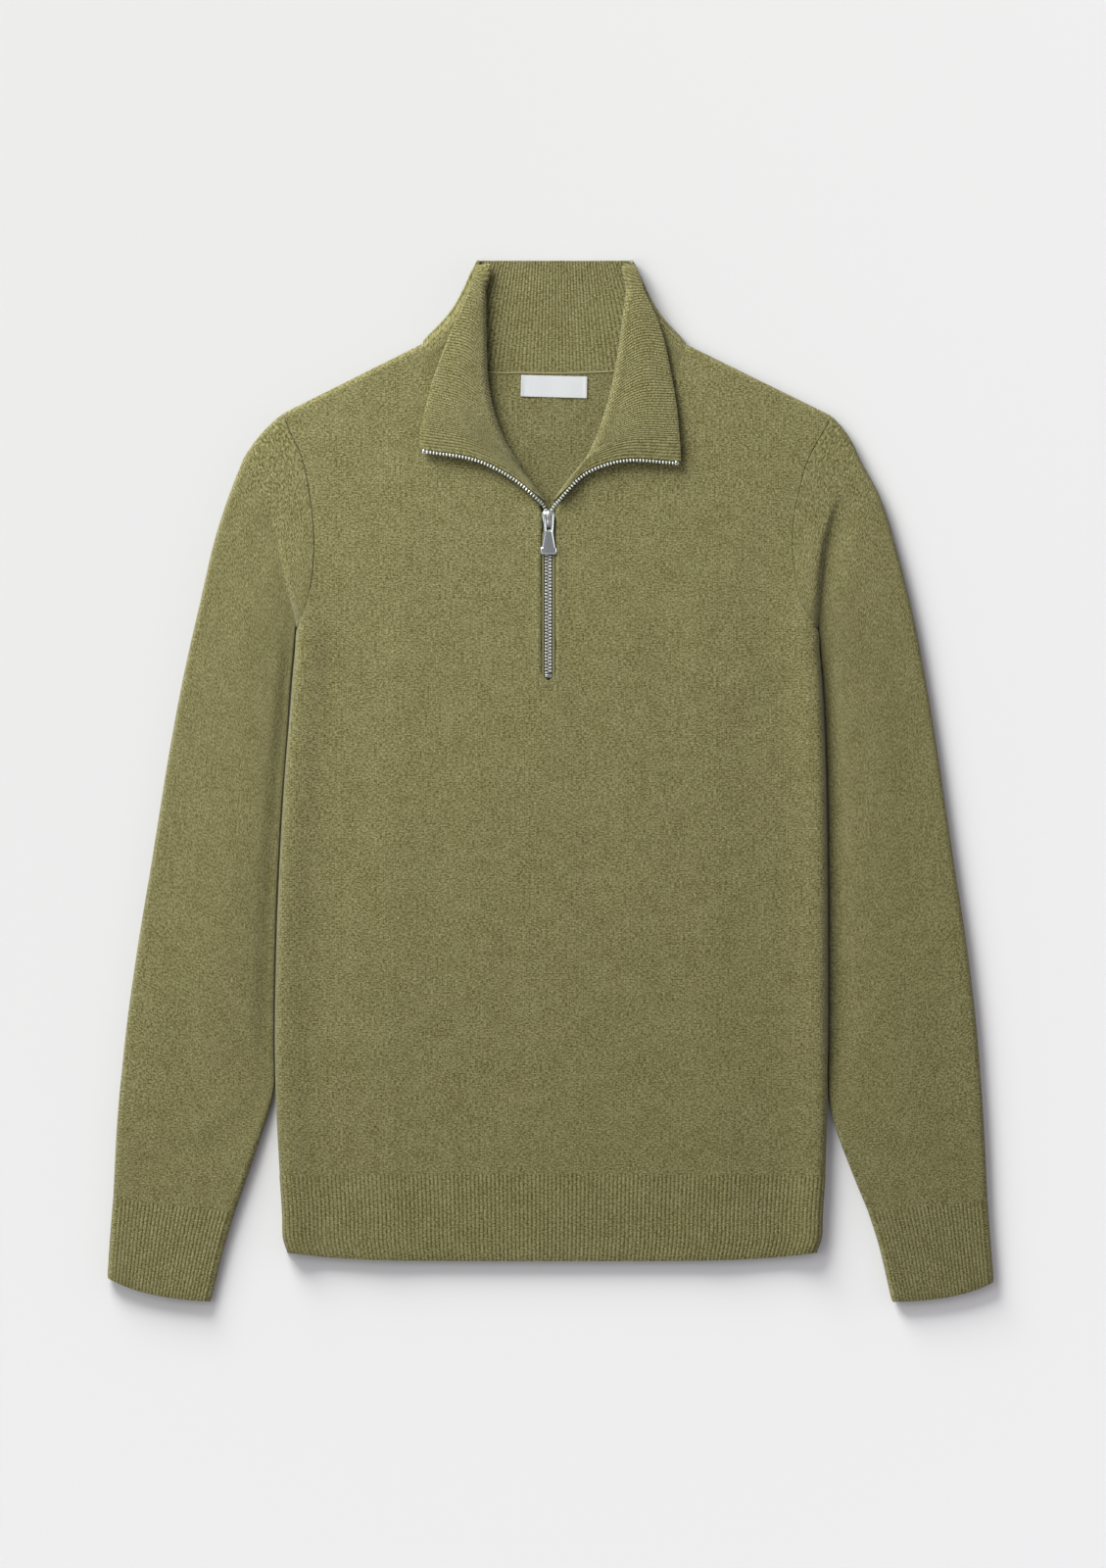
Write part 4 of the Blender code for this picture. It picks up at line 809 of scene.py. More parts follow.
def tube_ring(top: np.ndarray, edges: Sequence[np.ndarray], ways: Sequence[np.ndarray], depth: float,
              arcs: Sequence, arc_points: int) -> np.ndarray:
    """Ring of a flattened tube: upper face, round edges and flat under side.

    Args:
        top: Points across the upper face, from the outer to the inner edge, in mm.
        edges: Outermost place of the outer and of the inner edge.
        ways: Unit direction outwards at each edge.
        depth: Depth below the outer face in mm.
        arcs: First and last angle above level round each edge, in degrees.
        arc_points: Points round each edge.

    Returns:
        Points round the tube in mm.
    """
    out_arc, in_arc = (edge_arc(edge, way, 0.5 * (end[2] + depth), depth, np.linspace(*arc, arc_points))
                       for edge, way, end, arc in zip(edges, ways, (top[0], top[-1]), arcs))
    under = np.column_stack([top[::-1, :2], np.full(len(top), depth)])
    return np.concatenate([out_arc, top, in_arc, under])


@dataclass(frozen=True)
class SleeveForm:
    """Shape of one sleeve: a flattened tube from the armhole to the cuff."""

    body: BodyForm
    side: Side
    cap_share: float = 0.12
    cap_bulge: float = 9.6
    cap_bulge_way: tuple[float, float] = (0.7, 0.75)
    fold_room: float = 0.8
    bow_share: float = 0.3
    inner_drops: tuple[float, float] = (3.5, 3.9)
    inner_reaches: tuple[float, float] = (11.5, 15.5)
    armpit_dips: tuple[float, float] = (0.0, 3.0)
    dip_reach: float = 13.0
    dip_outside: float = 2.0
    dip_starts: tuple[float, float] = (120.0, 165.0)
    dip_stops: tuple[float, float] = (170.0, 238.0)
    stations: int = 120
    cap_stations: int = 36
    across_stations: int = 40
    seam_stations: int = 90
    across_ends: tuple[float, float] = (0.045, 0.975)
    across_rows: tuple[float, float] = (1.0, 10.65)
    arcs: tuple = ((-35.0, 78.0), (72.0, -45.0))
    arc_points: int = 9

    def seam(self, across: np.ndarray) -> np.ndarray:
        """Armhole seam from the shoulder point (0) to the armpit (1)."""
        span = self.body.shoulder_row - self.body.armpit_row
        return np.array([self.body.boundary(self.side, "out", self.body.shoulder_row - share * span)
                         for share in np.atleast_1d(across)])

    def fold(self, across: np.ndarray) -> np.ndarray:
        """Fold above the armpit, from the sleeve's outer edge to the armpit."""
        entries = BODY_EDGE[5:]
        aside = self.side.sign * self.fold_room
        line = np.array([[self.side.pick(entry.left_x, entry.right_x) + aside, entry.y] for entry in entries])
        lengths = run_lengths(line[:, ::-1])
        return smooth(line, lengths, (1.0 - np.asarray(across)) * lengths[-1])

    def ring(self, along: float, shares: np.ndarray, seam: np.ndarray, bulge_shape: np.ndarray, depth: float
             ) -> np.ndarray:
        """Places on the sleeve seen from above and the height of its face.

        Args:
            along: Share of the sleeve's length.
            shares: Places across by share of the seam's length.
            seam: Armhole seam at the places.
            bulge_shape: How far the cap bulges at the places.
            depth: Depth below the outer face in mm.

        Returns:
            Points in mm.
        """
        share = max(0.0, (along - self.cap_share) / (1.0 - self.cap_share))
        if along < self.cap_share:
            step = along / self.cap_share
            bulge = self.cap_bulge * step * (1.0 - step) * bulge_shape
            aside, upward = self.cap_bulge_way
            place = seam + (self.fold(shares) - seam) * step
            place = place + np.array([self.side.sign * aside, upward]) * bulge[:, None]
        else:
            outer, inner = tube_row(SLEEVE_ROWS, self.side, share)
            first_out, first_in = tube_row(SLEEVE_ROWS, self.side, 0.0)
            bow = self.fold(shares) - (first_out + (first_in - first_out) * shares[:, None])
            place = outer + (inner - outer) * shares[:, None]
            place = place + bow * max(0.0, 1.0 - share / self.bow_share) ** 2
        x, y = place[:, 0], place[:, 1]
        height = self.body.over_fold(self.side, x, y, self.upper_level(along, share, shares, x, y))
        from_inner = np.linalg.norm(place - place[-1], axis=1)
        below_armpit = float(window((0.1, 0.3), (0.75, 0.95), along))
        reach = self.side.pick(*self.inner_reaches)
        drop = self.side.pick(*self.inner_drops) * below_armpit
        height = height - drop * bell(from_inner, reach) - self.armpit_dip(x, y)
        return np.column_stack([place, height - depth])

    def upper_level(self, along: float, share: float, shares: np.ndarray, x: np.ndarray, y: np.ndarray
                    ) -> np.ndarray:
        """Height of the upper face beside the body, with its soft creases.

        Args:
            along: Share of the sleeve's length.
            share: Share of the length below the cap.
            shares: Places across by share of the seam's length.
            x: The same places across in mm.
            y: The same places along in mm.

        Returns:
            Heights in mm.
        """
        blend = float(smoothstep(0.0, 0.25, along))
        seam_level = self.body.panel_top + 0.2
        seam_level = seam_level - (seam_level - self.body.crease_top) * self.body.side_crest(y)
        flat = window((0.0, 0.15), (0.8, 1.0), shares) * window((0.0, 0.06), (0.95, 1.0), along)
        level = sleeve_level(shares, share) * blend + seam_level * (1.0 - blend)
        return level + crease_height(SLEEVE_CREASES, x, y) * flat

    def armpit_dip(self, x: np.ndarray, y: np.ndarray) -> np.ndarray:
        """Depth of the soft dip that runs beside the body's fold above the armpit."""
        outside = -self.body.inside_edge(self.side, x, y)
        share = window(self.dip_starts, self.dip_stops, y) * smoothstep(-3.0, 2.0, outside)
        return self.side.pick(*self.armpit_dips) * share * bell(outside - self.dip_outside, self.dip_reach)

    def grids(self, depth: float) -> tuple[np.ndarray, np.ndarray]:
        """Grid of the sleeve at a depth below its outer face.

        Args:
            depth: Depth in mm.

        Returns:
            Points ring by ring, and their texture positions in mm.
        """
        span = self.body.shoulder_row - self.body.armpit_row
        near_seam = np.array([0.0015, 0.003])
        alongs = np.unique(np.concatenate([near_seam, np.linspace(0.0, 0.2, self.cap_stations),
                                           np.linspace(0.2, 1.0, self.stations)]))
        fine = np.linspace(0.0, 1.0, self.seam_stations)
        lengths = run_lengths(self.seam(fine))
        even = np.linspace(*self.across_ends, self.across_stations)
        acrosses = np.interp(even, lengths / lengths[-1], fine)
        first_row, last_row = self.across_rows
        acrosses = np.unique(np.round(np.clip(acrosses, first_row / span, last_row / span), 5))
        shares = np.interp(acrosses, fine, lengths / lengths[-1])
        ends = np.array([0.0, 1.0])
        seam, seam_ends = self.seam(acrosses), self.seam(ends)
        bulge = (1.0 - acrosses) ** 4
        rings = []
        for along in alongs:
            top = self.ring(along, shares, seam, bulge, depth)
            tips = self.ring(along, ends, seam_ends, (1.0 - ends) ** 4, depth)[:, :2]
            ways = unit_rows(tips - top[[0, -1], :2])
            rings.append(tube_ring(top, tips, ways, depth, self.arcs, self.arc_points))
        grid = np.array(rings)
        first = unit_rows(grid[1, :, :2] - grid[0, :, :2])
        grid[0, :, :2] += first * 0.5 * self.body.sewn_gap
        grid[-1, :, 1] += 0.5 * self.body.sewn_gap
        return grid, tube_uvs(grid)


def tube_uvs(grid: np.ndarray) -> np.ndarray:
    """Texture positions on a tube: round it by distance and along it by length.

    Args:
        grid: Points ring by ring in mm.

    Returns:
        Texture positions in mm.
    """
    middle = grid[len(grid) // 2]
    round_it = run_lengths(middle)
    scale = np.array([run_lengths(ring)[-1] for ring in grid]) / round_it[-1]
    along = run_lengths(grid.mean(axis=1))
    return uv_grid(round_it * (0.35 + 0.65 * scale[:, None]), along[:, None])


def finish_band(outer: np.ndarray, inner: np.ndarray, sewn_gap: float) -> None:
    """Open a ribbed band's sewn seam a little and round its free rim.

    Args:
        outer: Outer points, from the seam to the rim, in mm.
        inner: Inner points, from the seam to the rim.
        sewn_gap: Room between sewn pieces in mm.
    """
    for layer in (outer, inner):
        layer[0, :, 1] -= 0.5 * sewn_gap
    outer[-1] += (0.5 * (outer[-1] + inner[-1]) - outer[-1]) * 0.35


@dataclass(frozen=True)
class CuffForm:
    """Shape of one ribbed cuff: a flattened tube below the sleeve."""

    body: BodyForm
    side: Side
    wall: float = 2.8
    top: float = 8.6
    end_bow: float = 4.8
    rib_height: float = 0.5
    ribs: int = 28
    rib_stations: int = 7
    rings: int = 22
    rib_start: float = 0.05
    rib_pitch: float = 3.05
    groove_inside: float = -0.6
    arcs: tuple = ((-38.0, 78.0), (76.0, -45.0))
    arc_points: int = 13

    def ring(self, level: float, depth: float, raised: bool) -> np.ndarray:
        """Points round the cuff at a level down it.

        Args:
            level: 0 at the sleeve and 1 at the cuff's end.
            depth: Depth below the outer face in mm.
            raised: Whether the ribs are raised.

        Returns:
            Points in mm.
        """
        edge_out, edge_in = tube_row(CUFF_ROWS, self.side, level)
        width = float(np.linalg.norm(edge_out - edge_in))
        way = (edge_out - edge_in) / width
        blend = float(smoothstep(0.0, 1.0, level))
        count = self.ribs * self.rib_stations + 1
        across = np.linspace(self.rib_start, 1.0 - self.rib_start, count)
        height = sleeve_level(across, 1.0) * (1.0 - blend) + self.top * blend
        wave = rib_wave(np.linspace(0.0, self.ribs, count)) * self.rib_height
        lift = wave * (1.0 if raised else self.groove_inside)
        top = np.column_stack([edge_out + (edge_in - edge_out) * across[:, None], height + lift - depth])
        ring = tube_ring(top, (edge_out, edge_in), (way, -way), depth, self.arcs, self.arc_points)
        share = np.clip((ring[:, :2] - edge_out) @ -way / width, 0.0, 1.0)
        ring[:, 1] -= self.end_bow * 4.0 * share * (1.0 - share) * (1.25 - 0.6 * share) * blend
        return ring

    def grids(self) -> tuple[np.ndarray, np.ndarray, np.ndarray]:
        """Outer and inner grids of the cuff and their texture positions in mm."""
        levels = np.linspace(0.0, 1.0, self.rings)
        outer = np.array([self.ring(level, 0.0, True) for level in levels])
        inner = np.array([self.ring(level, self.wall, False) for level in levels])
        finish_band(outer, inner, self.body.sewn_gap)
        uvs = tube_uvs(outer)
        uvs[:, :, 0] = (np.arange(outer.shape[1]) - self.arc_points) * self.rib_pitch / self.rib_stations
        return outer, inner, uvs


def rib_wave(phase: np.ndarray, roundness: float = 0.75) -> np.ndarray:
    """Rounded ribs with narrow grooves between them.

    Args:
        phase: Position counted in ribs.
        roundness: 1 for a sine wave, less for broader ribs.

    Returns:
        0 in the grooves to 1 on the ribs.
    """
    return np.abs(np.sin(math.pi * phase)) ** roundness


# --------------------------------------------------------------------------
# Hem rib
# --------------------------------------------------------------------------


class HemRow(NamedTuple):
    """Outline of the hem rib at a level down it, in mm."""

    level: float
    left: float
    right: float
    middle_y: float
    corner_y: float


HEM_ROWS = [
    HemRow(0.0, -202.9, 205.8, -293.3, -294.5),
    HemRow(0.47, -201.0, 203.8, -324.0, -324.0),
    HemRow(0.78, -200.4, 203.0, -344.0, -342.0),
    HemRow(1.0, -197.2, 199.2, -358.8, -352.2),
]


@dataclass(frozen=True)
class HemForm:
    """Shape of the ribbed front of the hem."""

    body: BodyForm
    wall: float = 2.8
    pitch: float = 3.05
    rib_height: float = 0.5
    edge_scale: float = 0.9
    rib_stations: int = 6
    rib_fade: tuple[float, float] = (2.0, 6.0)
    inside_share: float = 0.6
    rows: int = 20

    def row(self, level: float) -> np.ndarray:
        """Left and right edge, middle and corner at a level."""
        table = np.array(HEM_ROWS, dtype=float)
        return smooth(table[:, 1:], table[:, 0], level)

    def ribs(self) -> int:
        """Number of ribs across, with the rolled sides."""
        left, right = self.row(0.0)[:2]
        count = int(round((right - left + 2.0 * self.body.side_radius) / self.pitch))
        return count + count % 2

    def line(self, level: float, along: np.ndarray, depth: np.ndarray) -> np.ndarray:
        """Points across the hem at a level.

        Args:
            level: 0 at the seam and 1 at the lower edge.
            along: Shares of the way across, rolled sides included.
            depth: Depth below the outer face at each place, negative where raised.

        Returns:
            Points in mm.
        """
        left, right, middle_y, corner_y = self.row(level)
        scale = 1.0 - (1.0 - self.edge_scale) * level
        radius = self.body.side_radius * scale
        arc = radius * math.radians(90.0 - under_angle(radius))
        total = right - left - 2.0 * radius + 2.0 * arc
        distance = along * total
        from_end = np.minimum(distance, total - distance)
        on_left = along < 0.5
        rolled_inset, rolled_height = roll_section(radius, depth, np.clip(1.0 - from_end / arc, 0.0, 1.0))
        flat_inset = radius + from_end - arc
        rolled = from_end < arc
        inset = np.where(rolled, rolled_inset, flat_inset)
        reach = np.where(on_left, left + flat_inset, right - flat_inset)
        flat = self.body.level(flat_inset * self.body.side_radius / radius, reach, HEM_ROWS[0].corner_y)
        height = np.where(rolled, rolled_height, flat * scale - depth)
        x = np.where(on_left, left + inset, right - inset)
        share = np.abs(2.0 * (x - left) / (right - left) - 1.0)
        y = middle_y + (corner_y - middle_y) * share ** (1.0 + 4.0 * level)
        return np.column_stack([x, y, height])

    def grids(self) -> tuple[np.ndarray, np.ndarray, np.ndarray]:
        """Outer and inner grids of the hem and their texture positions in mm."""
        ribs = self.ribs()
        along = np.linspace(0.0, 1.0, ribs * self.rib_stations + 1)
        width = ribs * self.pitch
        fade = smoothstep(*self.rib_fade, np.minimum(along, 1.0 - along) * width)
        wave = rib_wave(np.linspace(0.0, ribs, len(along))) * fade * self.rib_height
        levels = np.linspace(0.0, 1.0, self.rows)
        outer = np.array([self.line(level, along, -wave) for level in levels])
        grooved = self.wall + self.inside_share * wave
        inner = np.array([self.line(level, along, grooved) for level in levels])
        finish_band(outer, inner, self.body.sewn_gap)
        return outer, inner, uv_grid(along * width, outer[:, len(along) // 2, 1:2])


# --------------------------------------------------------------------------
# Collar
# --------------------------------------------------------------------------


class CollarRow(NamedTuple):
    """Section of the turned-over collar, from the neck seam to its free edge, in mm."""

    neck: tuple[float, float]
    roll: tuple[float, float]
    bend: tuple[float, float]
    flap: tuple[float, float]
    edge: tuple[float, float]
    flap_z: float
    edge_z: float


class FoldRow(NamedTuple):
    """Line of the fold at the side of the neck, in mm."""

    side: Side
    neck: tuple[float, float]
    middle: tuple[float, float]
    top: tuple[float, float]


class BackRow(NamedTuple):
    """Section of the collar's flat back: places across at its two edges, in mm."""

    neck_x: float
    top_x: float


LEFT_COLLAR = [
    CollarRow((-8.1, 206.5), (-4.0, 210.6), (-25.4, 227.2), (-51.8, 241.1), (-97.0, 249.4), 14.6, 13.4),
    CollarRow((-12.6, 212.4), (-8.2, 216.2), (-25.2, 231.2), (-51.2, 245.8), (-98.0, 254.4), 15.0, 13.6),
    CollarRow((-24.3, 226.4), (-16.9, 227.1), (-28.5, 237.2), (-53.0, 252.6), (-97.6, 262.4), 15.4, 13.8),
    CollarRow((-36.8, 238.1), (-25.7, 241.1), (-40.0, 250.0), (-59.0, 263.0), (-95.2, 273.0), 15.2, 13.4),
    CollarRow((-51.4, 249.9), (-35.3, 258.0), (-48.0, 266.8), (-64.5, 277.5), (-92.2, 286.0), 14.6, 12.8),
    CollarRow((-66.9, 263.1), (-42.6, 278.6), (-54.0, 286.2), (-66.6, 293.8), (-88.6, 299.8), 13.8, 12.2),
    CollarRow((-78.6, 277.8), (-46.7, 299.9), (-55.8, 306.6), (-65.4, 313.6), (-82.4, 317.4), 13.2, 11.8),
    CollarRow((-84.5, 291.1), (-48.1, 323.4), (-54.2, 329.0), (-60.7, 334.6), (-74.2, 338.2), 12.8, 11.6),
    CollarRow((-87.5, 303.6), (-48.6, 347.7), (-52.5, 352.0), (-56.4, 356.6), (-64.9, 359.4), 12.4, 11.6),
    CollarRow((-90.4, 314.6), (-49.0, 369.0), (-52.1, 371.1), (-54.4, 373.6), (-58.4, 375.0), 10.6, 10.2),
    CollarRow((-93.2, 324.4), (-50.3, 386.8), (-52.0, 387.0), (-53.4, 387.2), (-55.2, 387.2), 7.2, 6.8),
]
RIGHT_COLLAR = [
    CollarRow((5.1, 206.5), (1.8, 210.6), (26.0, 232.6), (48.0, 240.9), (97.4, 240.2), 14.6, 13.6),
    CollarRow((9.5, 213.0), (6.0, 216.5), (25.2, 236.2), (47.5, 245.4), (97.3, 245.6), 15.0, 13.8),
    CollarRow((20.6, 225.6), (14.7, 227.9), (27.5, 241.5), (50.0, 252.5), (96.8, 254.0), 15.6, 14.0),
    CollarRow((32.3, 237.4), (25.4, 241.1), (40.0, 252.5), (58.0, 263.0), (95.9, 264.5), 15.4, 13.6),
    CollarRow((47.0, 249.2), (34.5, 259.5), (48.0, 269.0), (64.0, 277.5), (94.6, 279.0), 14.8, 13.0),
    CollarRow((63.2, 262.4), (41.5, 280.0), (53.5, 287.5), (67.6, 294.0), (92.2, 294.7), 14.0, 12.4),
    CollarRow((77.9, 277.1), (46.3, 299.1), (57.0, 306.0), (69.1, 312.4), (89.6, 309.7), 13.4, 12.0),
    CollarRow((87.5, 291.1), (50.3, 320.5), (59.0, 325.6), (69.1, 330.0), (85.6, 329.3), 13.0, 11.8),
    CollarRow((93.0, 304.3), (53.7, 344.0), (59.6, 348.0), (67.0, 351.0), (78.6, 349.9), 12.6, 11.8),
    CollarRow((97.0, 315.3), (57.0, 368.6), (59.2, 369.4), (63.0, 369.8), (70.2, 368.0), 10.8, 10.4),
    CollarRow((99.4, 324.6), (58.4, 386.6), (59.6, 386.6), (61.4, 386.4), (63.4, 386.0), 7.2, 6.8),
]
FOLDS = [
    FoldRow(Side.LEFT, (-94.9, 328.9), (-75.0, 350.0), (-54.2, 389.8)),
    FoldRow(Side.RIGHT, (100.9, 328.0), (81.4, 349.6), (61.0, 389.8)),
]
BACK_COLLAR = [BackRow(-70.0, -43.0), BackRow(-45.0, -31.0), BackRow(-22.0, -15.5), BackRow(4.0, 4.0),
               BackRow(29.0, 23.5), BackRow(52.0, 38.5), BackRow(76.0, 50.5)]
BACK_NECKLINE = [(-95.6, 329.0), (-70.0, 312.6), (-47.0, 307.5), (-1.5, 306.5), (45.0, 307.5), (72.0, 312.4),
                 (101.4, 326.6)]


def beside_line(polyline: np.ndarray, point: np.ndarray, room: float, towards: np.ndarray) -> np.ndarray:
    """Place nearest to a point on a polyline, moved off it.

    Args:
        polyline: The line's points.
        point: Where to look from.
        room: How far to move off the line in mm.
        towards: A place on the side to move to.

    Returns:
        The place in mm.
    """
    starts = polyline[:-1]
    ways = polyline[1:] - starts
    shares = np.clip(((point - starts) * ways).sum(axis=1) / (ways * ways).sum(axis=1), 0.0, 1.0)
    places = starts + ways * shares[:, None]
    best = int(np.argmin(np.linalg.norm(places - point, axis=1)))
    normal = np.array([-ways[best][1], ways[best][0]]) / np.linalg.norm(ways[best])
    if np.dot(normal, towards - places[best]) < 0.0:
        normal = -normal
    return places[best] + normal * room


@dataclass
class CollarForm:
    """Shape of the collar: flat at the back, folded at the sides, turned over in front."""

    body: BodyForm
    wall: float = 2.2
    pitch: float = 2.15
    rib_height: float = 0.42
    roll_radius: float = 2.45
    fold_radius: float = 2.6
    top_y: float = 390.6
    neck_room: float = -0.5
    neck_rise: float = 1.1
    neck_centre: tuple[float, float] = (0.0, 300.0)
    bend_rise: float = 0.6
    narrow_flap: float = 14.0
    stand_bow: float = 5.4
    stand_bow_way: tuple[float, float] = (0.75, -0.66)
    stand_bow_low_y: float = 290.0
    stand_bow_high_y: float = 324.4
    back_shares: tuple = (0.0, 0.45, 0.84, 0.88, 0.92, 0.95, 0.98, 1.0)
    rib_stations: int = 5
    rib_middle: float = 0.35
    row_shares: int = 42
    edge_shares: tuple = (0.988, 0.994, 1.0)
    control_shares: tuple = (0.0, 0.16, 0.3, 0.4, 0.5, 0.66, 0.82, 1.0)
    fold_lift: float = 1.0
    fold_rises: tuple = (0.0, 0.0, 0.0, 0.2, 0.5, 0.9, 1.3, 1.6)
    fold_inset: tuple[float, float] = (2.2, -1.1)
    end_fade: tuple[float, float] = (0.5, 3.0)
    fold_fade: tuple[float, float] = (4.0, 12.0)

    def __post_init__(self) -> None:
        """Work out the control sections and their distances round the collar."""
        self.back_z = 0.5 * self.wall
        self.stand_z = self.back_z + 2.0 * self.fold_radius
        self.seams = {side: self.neck_seam(side) for side in Side}
        self.sections = self.make_sections()
        steps = np.linalg.norm(np.diff(self.sections, axis=0), axis=2)[:, 5:].mean(axis=1)
        self.knots = np.concatenate([[0.0], np.cumsum(steps)])
        self.left_end = self.knots[len(LEFT_COLLAR) - 1]
        self.right_start = self.knots[len(self.knots) - len(RIGHT_COLLAR)]

    def neck_seam(self, side: Side) -> np.ndarray:
        """The front's neckline as a fine line, from the slider to the shoulder."""
        rows = np.arange(14.0, self.body.shoulder_row + 0.01, 0.125)
        return np.array([self.body.boundary(side, "in", row) for row in rows])

    def front_section(self, side: Side, row: CollarRow) -> list[tuple]:
        """Control points across the collar where it turns over.

        Args:
            side: Half of the collar.
            row: The section's table row.

        Returns:
            Points from the neck seam to the free edge in mm.
        """
        neck = beside_line(self.seams[side], np.array(row.neck), self.neck_room, self.neck_centre)
        roll, bend, flap, edge = (np.array(place) for place in (row.roll, row.bend, row.flap, row.edge))
        narrow = np.linalg.norm(edge - roll) < self.narrow_flap
        inward = (roll - neck) / np.linalg.norm(roll - neck)
        aim = edge if narrow else bend
        outward = (aim - roll) / np.linalg.norm(aim - roll)
        crown = roll - inward * 0.5 * self.wall
        before = crown - inward * self.roll_radius
        share = (row.neck[1] - self.stand_bow_low_y) / (self.stand_bow_high_y - self.stand_bow_low_y)
        bow = self.stand_bow * min(max(share, 0.0), 1.0)
        aside, upward = self.stand_bow_way
        stand = 0.5 * (neck + before) + np.array([-side.sign * aside, upward]) * bow
        after = crown + outward * self.roll_radius
        if narrow:
            bend = after + (edge - after) / 3.0
            flap = after + (edge - after) * 2.0 / 3.0
        after_z = min(self.stand_z + 2.0 * self.roll_radius, row.flap_z)
        heights = (self.stand_z + self.neck_rise, self.stand_z + 0.5 * self.neck_rise, self.stand_z,
                   0.5 * (self.stand_z + after_z), after_z, after_z + (row.flap_z - after_z) * self.bend_rise,
                   row.flap_z, row.edge_z)
        places = (neck, stand, before, crown, after, bend, flap, edge)
        return [(place[0], place[1], height) for place, height in zip(places, heights)]

    def line_section(self, places: Sequence, heights: Sequence[float]) -> list[tuple]:
        """Control points along a short curve from the neck seam to the top edge.

        Args:
            places: A few places on the curve in mm.
            heights: Height of each control point in mm.

        Returns:
            The control points in mm.
        """
        places = np.array(places, dtype=float)
        steps = run_lengths(places)
        line = smooth(places, steps / steps[-1], self.back_shares)
        return [(place[0], place[1], height) for place, height in zip(line, heights)]

    def make_sections(self) -> np.ndarray:
        """Control sections round the collar, from the left zip edge to the right."""
        neckline = np.array(BACK_NECKLINE)
        flat = [self.back_z] * 8
        back = []
        for row in BACK_COLLAR:
            neck_y = float(np.interp(row.neck_x, neckline[:, 0], neckline[:, 1]))
            back.append(self.line_section([(row.neck_x, neck_y), (row.top_x, self.top_y)], flat))
        folded = {}
        for fold in FOLDS:
            middle_z = self.back_z + self.fold_radius + self.fold_lift
            rising = [middle_z + rise for rise in self.fold_rises]
            edge = self.line_section([fold.neck, fold.middle, fold.top], rising)
            inset = np.array([-fold.side.sign * self.fold_inset[0], self.fold_inset[1]])
            under = [np.array(place) + inset for place in (fold.neck, fold.middle, fold.top)]
            under[0] = under[0] + np.array([0.0, 0.6])
            under[2][1] = self.top_y
            folded[fold.side] = (edge, self.line_section(under, flat))
        sections = [self.front_section(Side.LEFT, row) for row in LEFT_COLLAR]
        sections += list(folded[Side.LEFT]) + back + list(reversed(folded[Side.RIGHT]))
        sections += [self.front_section(Side.RIGHT, row) for row in reversed(RIGHT_COLLAR)]
        return np.array(sections)

    def middle(self, at: np.ndarray, fine: bool = True) -> np.ndarray:
        """Middle surface of the collar's wall.

        Args:
            at: Distances round the collar in mm.
            fine: Whether the sections are made into smooth curves.

        Returns:
            Points, distance by place across, in mm.
        """
        flat = smooth(self.sections.reshape(len(self.sections), -1), self.knots, at)
        grid = flat.reshape(len(at), self.sections.shape[1], 3)
        grid[:, :, 2] = np.maximum(grid[:, :, 2], self.back_z)
        grid[:, :2, 2] = np.minimum(grid[:, :2, 2], self.stand_z + self.neck_rise)
        for index, distance in enumerate(at):
            if distance <= self.left_end or distance >= self.right_start:
                seam = self.seams[Side.LEFT if distance <= self.left_end else Side.RIGHT]
                grid[index, 0, :2] = beside_line(seam, grid[index, 0, :2], self.neck_room, self.neck_centre)
        if not fine:
            return grid
        curves = []
        for section in grid:
            lengths = run_lengths(section)
            lengths /= lengths[-1]
            where = np.interp(self.row_places(), self.control_shares, lengths)
            curves.append(smooth(section, lengths, where))
        return np.array(curves)

    def row_places(self) -> np.ndarray:
        """Share of each fine row, closer together by the free edge."""
        return np.concatenate([np.linspace(0.0, 1.0, self.row_shares)[:-1], self.edge_shares])

    def ribs(self) -> int:
        """Number of ribs round the collar."""
        count = int(round(self.knots[-1] / self.pitch))
        return count + count % 2

    def grids(self) -> tuple[np.ndarray, np.ndarray, np.ndarray]:
        """Upper and lower grids of the wall and their texture positions in mm."""
        ribs = self.ribs()
        at = np.linspace(0.0, self.knots[-1], ribs * self.rib_stations + 1)
        middle = self.middle(at)
        normals = grid_normals(middle)
        ends = np.minimum(at, at[-1] - at)
        folds = np.minimum(np.abs(at - self.knots[len(LEFT_COLLAR)]),
                           np.abs(at - self.knots[len(self.knots) - len(RIGHT_COLLAR) - 1]))
        fade = smoothstep(*self.end_fade, ends) * smoothstep(*self.fold_fade, folds)
        wave = (rib_wave(np.linspace(0.0, ribs, len(at))) - self.rib_middle) * self.rib_height * fade
        wave = wave[:, None]
        half = 0.5 * self.wall
        across = self.row_places()
        thin = 1.0 - 0.65 * smoothstep(0.982, 1.0, across) ** 2
        thin = thin - 0.2 * (1.0 - smoothstep(0.0, 0.02, across))
        upper = middle - normals * ((half + wave) * thin)[..., None]
        lower = middle + normals * ((half + wave * 0.6) * thin)[..., None]
        upper[:, :, 2] = np.maximum(upper[:, :, 2], 0.02)
        lower[:, :, 2] = np.maximum(lower[:, :, 2], 0.0)
        return upper, lower, uv_grid(at[:, None], np.array([run_lengths(section) for section in middle]))

